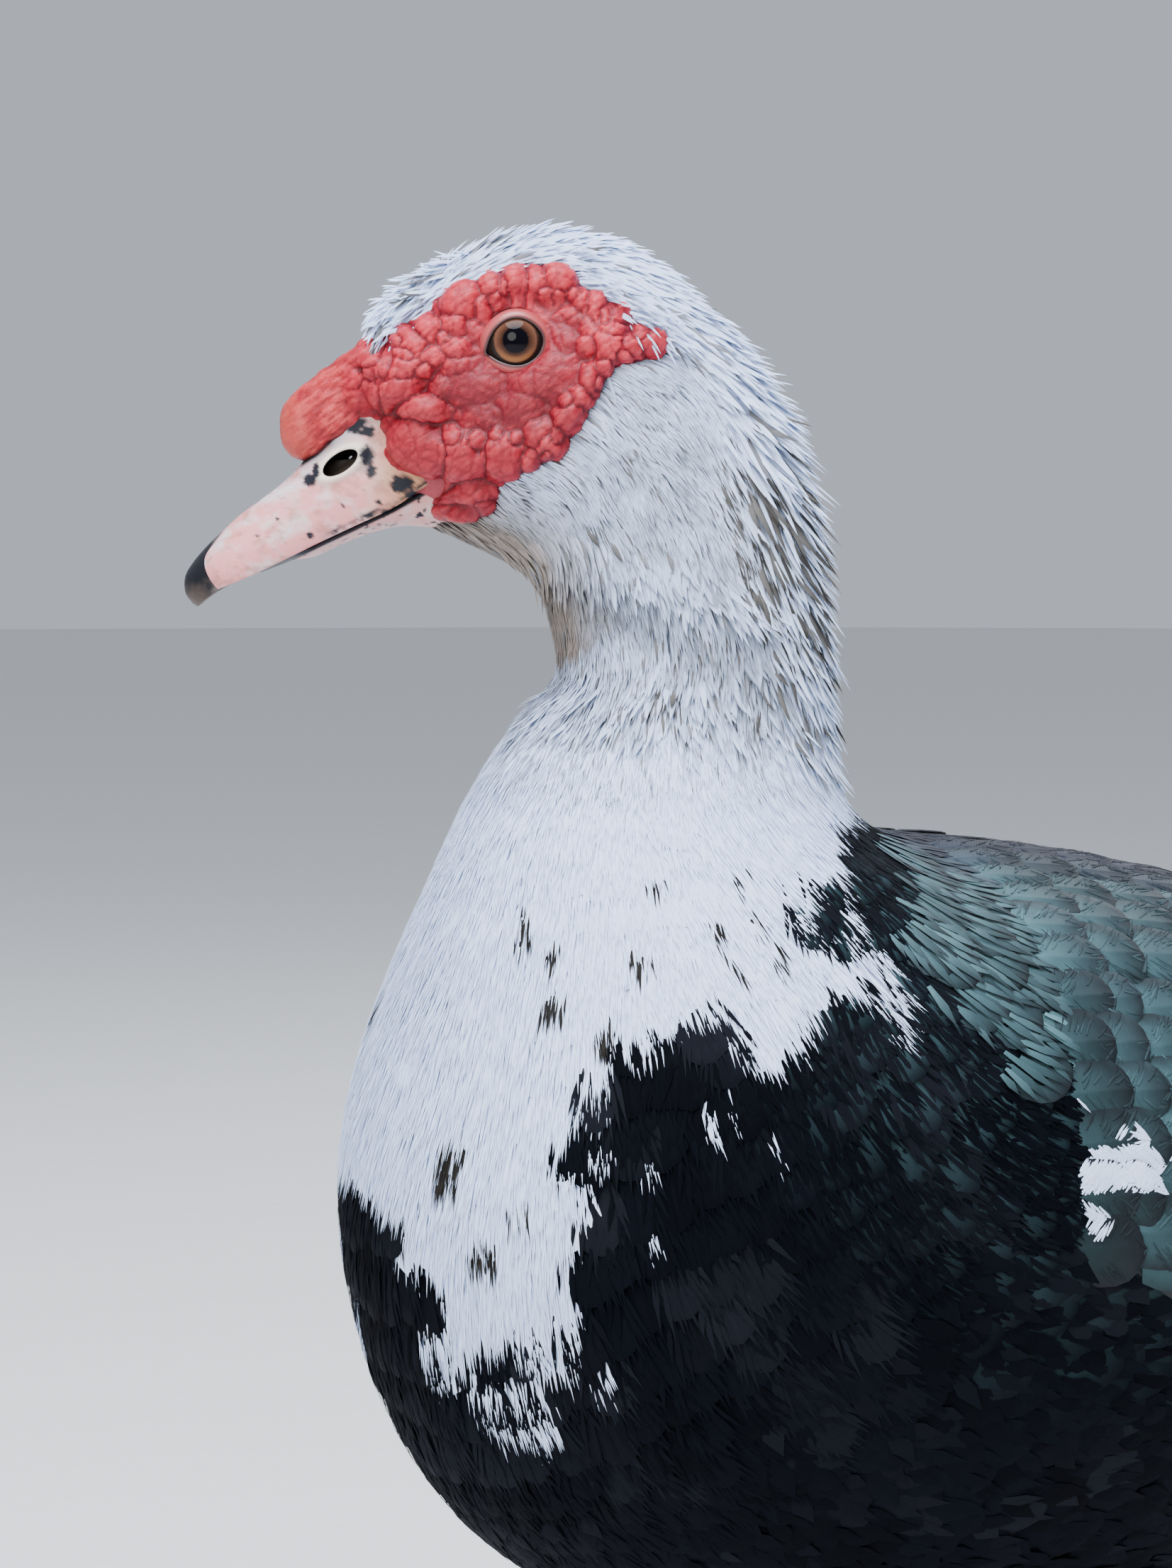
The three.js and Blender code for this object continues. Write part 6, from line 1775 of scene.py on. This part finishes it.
for side, side_name in ((-1, "left"), (1, "right")):
    def wing_bed_place(u, v):
        x, low, high = np.moveaxis(read_rows(WING_BED, v * (len(WING_BED) - 1)), -1, 0)
        over = np.clip(np.sin(2 * math.pi * u) * 1.6, -1, 1)
        return side_point(x, low + (high - low) * (0.5 - 0.5 * np.cos(2 * math.pi * u)),
                          np.where(over > 0, np.interp(x, *WING_BED_RISE), -2.5), side)

    wing_bed = add_piece(rolled(48, 60, wing_bed_place), "wing_bed_" + side_name, down_finish)
    take_spots(wing_bed.data)
    set_color(wing_bed.data, "marking", np.tile(linear(BED_DARK), (len(wing_bed.data.vertices), 1)))
    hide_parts("wing_" + side_name)
    batches = []
    for name, count, x, angle, aim, length, width, mid, tip, shape, kind in WING_TRACTS:
        t = np.linspace(0, 1, count)
        vary = np.sin(4.3 * np.arange(count) + count)
        root_x = between(x, t) + vary
        root_a = between(angle, t)
        slope = column(np.radians(between(aim, t)))
        long = column(between(length, t) + 1.5 * vary)
        wide = column(between(width, t))
        mean_slope = math.radians((aim[0] + aim[1]) / 2)
        climb = math.radians(abs(angle[1] - angle[0])) * FLANK_GIRTH
        pitch = (climb * math.cos(mean_slope) - abs(x[1] - x[0]) * math.sin(mean_slope)) / (count - 1)
        roll = 0 if name == "primaries" else (WING_VANE_THICK + WING_VANE_AIR) * width[0] / pitch
        table = np.array([*shape, (1.0, 0.0)])
        share, girth = table[None, :, 0, None], table[None, :, 1, None]
        over, up = np.array(FLIGHT_SECTION).T
        mid_h, tip_h = column(between(mid, t)), column(between(tip, t))
        root_h = column(np.interp(root_x, *WING_VANE_ROOT))

        def vane_place(pick, share, over, up):
            """Places on the picked vanes: share of the length and of the half width, and height off them."""
            along, across = long[pick] * share, 0.5 * wide[pick] * over
            height = np.where(share < KNEE, root_h[pick] + (mid_h[pick] - root_h[pick]) * share / KNEE,
                              mid_h[pick] + (tip_h[pick] - mid_h[pick]) * (share - KNEE) / (1 - KNEE))
            lean = roll * across / wide[pick] * np.minimum(1, share / KNEE)
            turned_by = along * np.sin(slope[pick]) + across * np.cos(slope[pick])
            return side_point(column(root_x[pick]) + along * np.cos(slope[pick]) - across * np.sin(slope[pick]),
                              column(root_a[pick]) + np.degrees(turned_by) / FLANK_GIRTH,
                              height + lean - 0.9 * over ** 2 + up, side)

        points = vane_place(np.arange(count), share + 0 * girth, girth * over[None, None, :],
                            WING_VANE_THICK * up[None, None, :])
        inner, rims = tract_colors(kind, root_x, root_a)
        roots = np.stack([root_x / 400, 0.5 + side * root_a / 180], -1)
        batches.append(leaf_batch(points[:, :-1], points[:, -1, 0], shape, FLIGHT_SECTION, inner, roots, rims,
                                  edge=0.28 if kind != "flight" else None))
        if kind == "flight":
            continue
        # Barbs: fine blades from beside each shaft out to the rim, and a little past it
        extra = WHITE_BARBS if kind in ("covert", "edge") else 1
        many = int(length[0] * width[0] / BARB_AREA) * extra
        pick = np.repeat(np.arange(count), many)
        first = RANDOM.uniform(0.3, 0.93, len(pick))
        hand = RANDOM.choice([-1, 1], len(pick))
        start = RANDOM.uniform(0.05, 0.6, len(pick))
        last = np.minimum(first + RANDOM.uniform(0.1, 0.2, len(pick)), 1.03)
        edge = np.interp(last, table[:, 0], table[:, 1])
        end = np.minimum(start + RANDOM.uniform(0.3, 0.55, len(pick)), edge * 1.04)
        seen_at = np.stack([long[pick, 0, 0] * (0.3 * first + 0.7 * last),
                            0.5 * wide[pick, 0, 0] * hand * (0.3 * start + 0.7 * end)], -1)
        bearing = slope[pick, 0, 0]
        seen_x = root_x[pick] + seen_at[:, 0] * np.cos(bearing) - seen_at[:, 1] * np.sin(bearing)
        turned_by = seen_at[:, 0] * np.sin(bearing) + seen_at[:, 1] * np.cos(bearing)
        seen_x = seen_x + RANDOM.normal(0, 0.8, len(pick))
        seen_a = root_a[pick] + np.degrees(turned_by) / FLANK_GIRTH + RANDOM.normal(0, 0.4, len(pick))
        pale = np.any([inside(outline, np.stack([seen_x, seen_a], -1)) for outline in WING_WHITES], axis=0)
        keep = (pale & (extra > 1)) | (RANDOM.uniform(0, 1, len(pick)) < 1 / extra)
        pick, first, last, hand, start, end, edge, pale = (
            values[keep] for values in (pick, first, last, hand, start, end, edge, pale & (extra > 1)))
        stations = np.array([0.0, 0.55, 1.0])[None, :, None]
        run = np.stack([(last - first) * long[pick, 0, 0], (end - start) * hand * 0.5 * wide[pick, 0, 0]], -1)
        run /= np.linalg.norm(run, axis=1)[:, None]
        across, up = np.array(BLADE_SECTION, float).T
        thick = np.array([0.55, 1.0, 0.0])[None, :, None] * BARB_HALF * across
        barb = vane_place(pick, column(first) + column(last - first) * stations
                          - column(run[:, 1]) * thick / long[pick],
                          column(hand) * (column(start) + column(end - start) * stations)
                          + column(run[:, 0]) * thick / (0.5 * wide[pick]),
                          BARB_RISE + 0.16 * column(pale) + 0.14 * up[None, None, :]
                          + RANDOM.uniform(-0.06, 0.12, (len(pick), 1, 1)))
        near_rim = np.clip(np.maximum(end / np.maximum(edge, 0.1), last) * 2.4 - 1.15, 0, 1)
        shade = RANDOM.uniform(0.68, 1.25, (len(pick), 1))
        tones = mixed(inner[pick], rims[pick], 0.6 * near_rim) * shade
        ends = mixed(inner[pick], rims[pick], near_rim) * shade
        snow = shaded(WHITE_WITH_SKY_CAST, len(pick), 0.06)
        tones, ends = (np.where(pale[:, None], snow, values) for values in (tones, ends))
        batches.append(leaf_batch(barb[:, :2], barb[:, 2, 0], BLADE_SHAPE, BLADE_SECTION, tones, roots[pick], ends))
    wing = coat_piece("wing_feathers_" + side_name, batches, gloss_finish)

# Tail: a level fan of long stiff vanes from a fleshy root, with rows of coverts over and under it.
# The vanes are closed leaves that lie over one another from the middle pair outward.

TAIL_ORIGIN = (300.0, 193.0)
TAIL_SLOPE = math.radians(-7)
TAIL_LENGTH = 160.0
TAIL_PAIRS = 9
TAIL_ROOT_SPREAD = 22.0
TAIL_FAN = 18.5
TAIL_LAYERS = 5.2
TAIL_ROOT = np.array([[-26, 24, 13, 0], [-4, 25, 12.5, 0], [14, 24, 10, 0], [34, 22, 6.5, -1], [48, 16, 3, -2]], float)

# Rows of coverts: over or under, count, root, length, spread, width, height at the root and at the tip
TAIL_COVERTS = [
    (1, 7, 20, 62, 19, 19, 3.4, 5.0),
    (1, 6, 6, 56, 16, 20, 5.0, 7.4),
    (1, 5, -8, 50, 12, 20, 7.0, 9.6),
    (-1, 7, 16, 62, 19, 19, -4.6, -9.4),
    (-1, 6, 2, 58, 16, 20, -7.0, -12.0),
    (-1, 5, -12, 50, 12, 20, -9.0, -14.0),
]
TAIL_GREEN = "#1C3234"
TAIL_RIM = "#10181B"
COVERT_GREEN = "#2A4A48"
UNDER_COVERT = "#17191D"
COVERT_RIM = "#0E1317"


def tail_point(along, across, up):
    """Points of the tail's own frame: along it from the rump's end, across it, and up from it."""
    c, s = math.cos(TAIL_SLOPE), math.sin(TAIL_SLOPE)
    along, across, up = np.broadcast_arrays(along, across, up)
    return np.stack([TAIL_ORIGIN[0] + along * c - up * s, across * 1.0, TAIL_ORIGIN[1] + along * s + up * c], -1)


def tail_leaves(root, across, fan, length, width, low, high, roll, shape, inner, rims, edge):
    """A row of vanes of the tail, one to each root and fan angle given."""
    table = np.array([*shape, (1.0, 0.0)])
    share, girth = table[None, :, 0, None], table[None, :, 1, None]
    over, up = np.array(FLIGHT_SECTION).T
    turn = column(np.radians(fan))
    out = column(length) * share
    off = 0.5 * width * girth * over[None, None, :]
    height = column(low) + column(high - low) * share + roll * off / width - 0.6 * (2 * off / width) ** 2
    points = tail_point(column(root) + out * np.cos(turn) - off * np.sin(turn),
                        column(across) + out * np.sin(turn) + off * np.cos(turn),
                        height + WING_VANE_THICK * up[None, None, :])
    return leaf_batch(points[:, :-1], points[:, -1, 0], shape, FLIGHT_SECTION, inner,
                      np.stack([0.9 + root / 4000, 0.5 + across / 200], -1), rims, edge)


def tail_root_place(u, v):
    along, wide, high, middle = np.moveaxis(read_rows(TAIL_ROOT, v * (len(TAIL_ROOT) - 1)), -1, 0)
    return tail_point(along, wide * np.sin(2 * math.pi * u), middle + high * np.cos(2 * math.pi * u))


tail_root = add_piece(rolled(48, 40, tail_root_place), "tail_root", down_finish)
take_spots(tail_root.data)
set_color(tail_root.data, "marking", np.tile(linear(BLACK), (len(tail_root.data.vertices), 1)))
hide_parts("tail")

batches = []
place_out = np.concatenate([[k + 0.5, -k - 0.5] for k in range(TAIL_PAIRS)]) / TAIL_PAIRS
layer = 1.2 - TAIL_LAYERS * np.abs(place_out) - 0.3 * (place_out < 0)
count = len(place_out)
batches.append(tail_leaves(
    18 + 2 * RANDOM.uniform(-1, 1, count), place_out * TAIL_ROOT_SPREAD, place_out * TAIL_FAN,
    TAIL_LENGTH - 18 - 14 * place_out ** 2 + RANDOM.uniform(-2, 2, count), 25.0, layer, layer, 0.0, LONG_SHAPE,
    shaded(TAIL_GREEN, count, 0.2), shaded(TAIL_RIM, count, 0.2), None))
for over, count, root, length, spread, width, low, high in TAIL_COVERTS:
    place_out = np.linspace(-1, 1, count)
    inner = shaded(COVERT_GREEN if over > 0 else UNDER_COVERT, count, 0.2)
    batches.append(tail_leaves(
        root - 5 * place_out ** 2, place_out * spread, place_out * 15, length * RANDOM.uniform(0.95, 1.05, count),
        width, np.full(count, low), np.full(count, high), 0.85 * width * (count - 1) / (2 * spread), ROUND_SHAPE,
        inner, shaded(COVERT_RIM, count, 0.2), 0.62))
tail = coat_piece("tail_feathers", batches, gloss_finish)

# Legs: feathered thighs, then scaly grey tarsi and webbed feet in one skin, flat on the floor, with claws.
# Shank, toes and webs are melted into one mesh, and the thigh's feathers hang over its top.

TOES = {"middle": (0, 70, 1.0), "outer": (27, 64, 0.92), "inner": (-25, 55, 0.88), "hind": (196, 21, 0.62)}
TOE_ROWS = np.array([[0.0, 6.2], [0.16, 5.5], [0.32, 5.7], [0.47, 4.5], [0.63, 5.1], [0.8, 4.0], [0.92, 4.2],
                     [1.0, 2.6]])
FOOT = (86.0, 54.0)
FOOT_TURN = math.radians(9)
WEB_THICK = 2.4
TARSUS = np.array([
    [105, 50, 72, 8.5, 8.0], [106, 50, 66, 9, 8.5], [105, 50, 56, 8, 7.5], [100, 51, 44, 6.6, 6.2],
    [93, 52.5, 24, 6.6, 6.4], [88.5, 53.8, 12, 9.2, 8.2], [88, 54, 3, 9.6, 8.2], [88, 54, -1, 9.4, 8.0],
], float)
LEG_VOXEL = 0.9
CLAW_LENGTH = 11.0
THIGH_ROWS = 22
THIGH_ROUND = 24
LEG_GREY = "#3A3936"
LEG_YELLOW = "#6B6348"
LEG_CREASE_SHADE = "#1E1D1C"
TOE_SCUTE = 3.1
SHIN_SCUTE = 3.6


def toe_point(side, angle, along, across, z):
    """Points of a foot: along a toe that splays by an angle from the middle one, across it, and up."""
    a = math.radians(angle) if np.isscalar(angle) else np.radians(angle)
    forward, outward = along * np.cos(a) - across * np.sin(a), along * np.sin(a) + across * np.cos(a)
    return np.stack(np.broadcast_arrays(
        FOOT[0] - forward * math.cos(FOOT_TURN) + outward * math.sin(FOOT_TURN),
        side * (FOOT[1] + forward * math.sin(FOOT_TURN) + outward * math.cos(FOOT_TURN)), z), -1)


# Dry leathery skin in small scales, grey-black with dull yellow blotches
leg_finish, tree, surface = finish_material("scaly_leg_skin")
scales = pattern(tree, "ShaderNodeTexVoronoi", 1.3, "Distance")
surface({}, {"Base Color": painted(tree), "Roughness": ranged(tree, scales, 0.45, 0.7),
             "Normal": raised(tree, scales, 0.5, 0.3)})

# Hard smooth dark horn, faintly mottled
CLAW_DARK = "#232122"
CLAW_PALE = "#4A443E"
claw_finish, tree, surface = finish_material("dark_claw_horn")
claw_tone = mix_colors(tree, grains(tree, 1.5, 4.0), linear(CLAW_DARK), linear(CLAW_PALE))
surface({"Roughness": 0.38}, {"Base Color": claw_tone})

for side, side_name in ((-1, "left"), (1, "right")):
    leg = bmesh.new()
    parts = [rolled(28, 60, lambda u, v: limb_place(TARSUS, v * (len(TARSUS) - 1), u * 360, 0, side))]
    for angle, length, stout in TOES.values():
        def toe_place(u, v):
            t, radius = np.moveaxis(read_rows(TOE_ROWS, v * (len(TOE_ROWS) - 1)), -1, 0)
            r = radius * stout
            bearing = 2 * math.pi * u
            return toe_point(side, angle, length * t, r * np.cos(bearing), r * (0.78 + np.sin(bearing)))
        parts.append(rolled(24, 50, toe_place))
    for first, second in (("middle", "outer"), ("inner", "middle")):
        def web_place(u, v):
            share = 0.5 - 0.5 * np.cos(2 * math.pi * u)
            angle, edge = (between((TOES[first][k], TOES[second][k]), share) for k in (0, 1))
            reach = 4 + (edge * (0.95 - 0.17 * np.sin(math.pi * share)) - 4) * v
            top = WEB_THICK + 1.2 * (1 - v) + 0.25 * np.sin(reach / 2.2)
            high = np.where(np.sin(2 * math.pi * u) > 0, top, -0.6)
            return toe_point(side, angle, reach, 0.0, high)
        parts.append(rolled(40, 60, web_place))
    for part in parts:
        leg.from_mesh(as_mesh(part))
    leg_data = with_modifier(leg, "REMESH", mode="VOXEL", voxel_size=LEG_VOXEL)
    points = relax(mesh_points(leg_data), neighbours(leg_data), 2)
    move_points(leg_data, points)
    out = normals_of(leg_data)
    alike = points * [1, side, 1]
    net = 0.28 * cracks(alike, 3.0, 0.33)
    foot_x, foot_y = alike[:, 0] - FOOT[0], alike[:, 1] - FOOT[1]
    scutes = np.zeros(len(points))
    on_toe = np.zeros(len(points))
    for angle, length, stout in TOES.values():
        a = math.radians(angle)
        ahead = np.array([-math.cos(FOOT_TURN), math.sin(FOOT_TURN)])
        aside = np.array([math.sin(FOOT_TURN), math.cos(FOOT_TURN)])
        toe_axis = ahead * math.cos(a) + aside * math.sin(a)
        along = foot_x * toe_axis[0] + foot_y * toe_axis[1]
        off = np.abs(-foot_x * toe_axis[1] + foot_y * toe_axis[0])
        near = np.clip(1.4 - off / (3.6 * stout), 0, 1) * (along > 4) * (along < length) * (points[:, 2] < 14)
        wave = np.abs(np.sin(along * math.pi / TOE_SCUTE))
        scutes = np.where(near > on_toe, -0.45 * np.clip(1 - wave / 0.35, 0, 1) * near, scutes)
        on_toe = np.maximum(on_toe, near)
    shin = (points[:, 2] > 15) * np.clip((100 - alike[:, 0] + (points[:, 2] - 24) * 0.35) / 3, 0, 1)
    wave = np.abs(np.sin(points[:, 2] * math.pi / SHIN_SCUTE))
    scutes = np.where(shin > 0.3, -0.5 * np.clip(1 - wave / 0.35, 0, 1) * shin, scutes)
    points = points + out * (scutes - net * (1 - np.maximum(on_toe, shin)))[:, None]
    points[:, 2] = np.maximum(points[:, 2], 0)
    move_points(leg_data, points)
    yellow = np.clip(0.4 + 1.0 * scatter_noise(alike, 7.0, 2.0), 0, 1)
    # Painted shade in the grooves between the scales
    crease_shade = np.clip(-scutes / 0.3 + net / 0.3 * (1 - np.maximum(on_toe, shin)), 0, 1)
    set_color(leg_data, "marking", mixed(mixed(LEG_GREY, LEG_YELLOW, yellow), LEG_CREASE_SHADE, 0.6 * crease_shade))
    leg_piece = add_piece(leg_data, "leg_skin_" + side_name, leg_finish)
    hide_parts("tarsus_" + side_name, "foot_" + side_name)

    for toe_name, (angle, length, stout) in TOES.items():
        def claw_place(u, v):
            r = (2.5 - 2.25 * v ** 1.2) * stout
            rise = 2.6 * stout + 0.4 - 1.9 * v ** 2 * stout + 1.3 * stout * np.sin(math.pi * v)
            bearing = 2 * math.pi * u
            along = length - 1.5 + (CLAW_LENGTH + 1.5) * stout * v
            return toe_point(side, angle, along, 0.8 * r * np.cos(bearing),
                             np.maximum(rise + r * np.sin(bearing), 0.05))

        claw = add_piece(rolled(24, 24, claw_place), f"claw_{side_name}_{toe_name}_horn", claw_finish)
        take_spots(claw.data)
        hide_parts(f"claw_{side_name}_{toe_name}")

    # The thigh's feathers point down to the ankle, and the last of them hang over its top
    levels = np.repeat(np.linspace(0.2, 4.9, THIGH_ROWS), THIGH_ROUND)
    count = len(levels)
    bearings = (np.arange(count) % THIGH_ROUND + 0.5 * (np.arange(count) // THIGH_ROUND % 2)) * 360 / THIGH_ROUND
    bearings = bearings + RANDOM.normal(0, 2, count)
    table = np.array([*VANE_SHAPE, (1.0, 0.0)])
    share, girth = table[None, :, 0, None], table[None, :, 1, None]
    across, up = np.array(VANE_SECTION).T
    row = read_rows(THIGH, levels)
    long = np.interp(levels, [0, 3, 5], [20, 15, 10]) * RANDOM.uniform(0.85, 1.15, count)
    half = np.interp(levels, [0, 3, 5], [6.4, 3.6, 2.4])
    drop = np.abs(np.gradient(np.interp(np.linspace(0, 6, 61), np.arange(7), THIGH[:, 2]), 0.1))
    per_row = np.interp(levels, np.linspace(0, 6, 61), drop)
    t = levels[:, None, None] + long[:, None, None] * share / per_row[:, None, None]
    girth_mm = np.maximum(read_rows(THIGH, np.minimum(t, 5.8))[..., 3:5].mean(axis=-1), 5)
    bearing = bearings[:, None, None] + np.degrees(half[:, None, None] * girth * across / girth_mm)
    rise = -1.8 + (2.2 + RANDOM.uniform(-0.2, 0.5, (count, 1, 1))) * share ** 0.7 + 0.45 * up
    thigh_points = limb_place(THIGH, np.minimum(t, 6.0) + 0 * bearing, bearing, rise, side)
    black = shaded(BLACK, count, 0.35)
    thigh = coat_piece("feathers_thigh_" + side_name, [leaf_batch(
        thigh_points[:, :-1], thigh_points[:, -1, 0], VANE_SHAPE, VANE_SECTION, black,
        np.stack([0.25 + 0.1 * side + levels / 60, 0.6 + bearings / 3600], -1))], feather_finish)
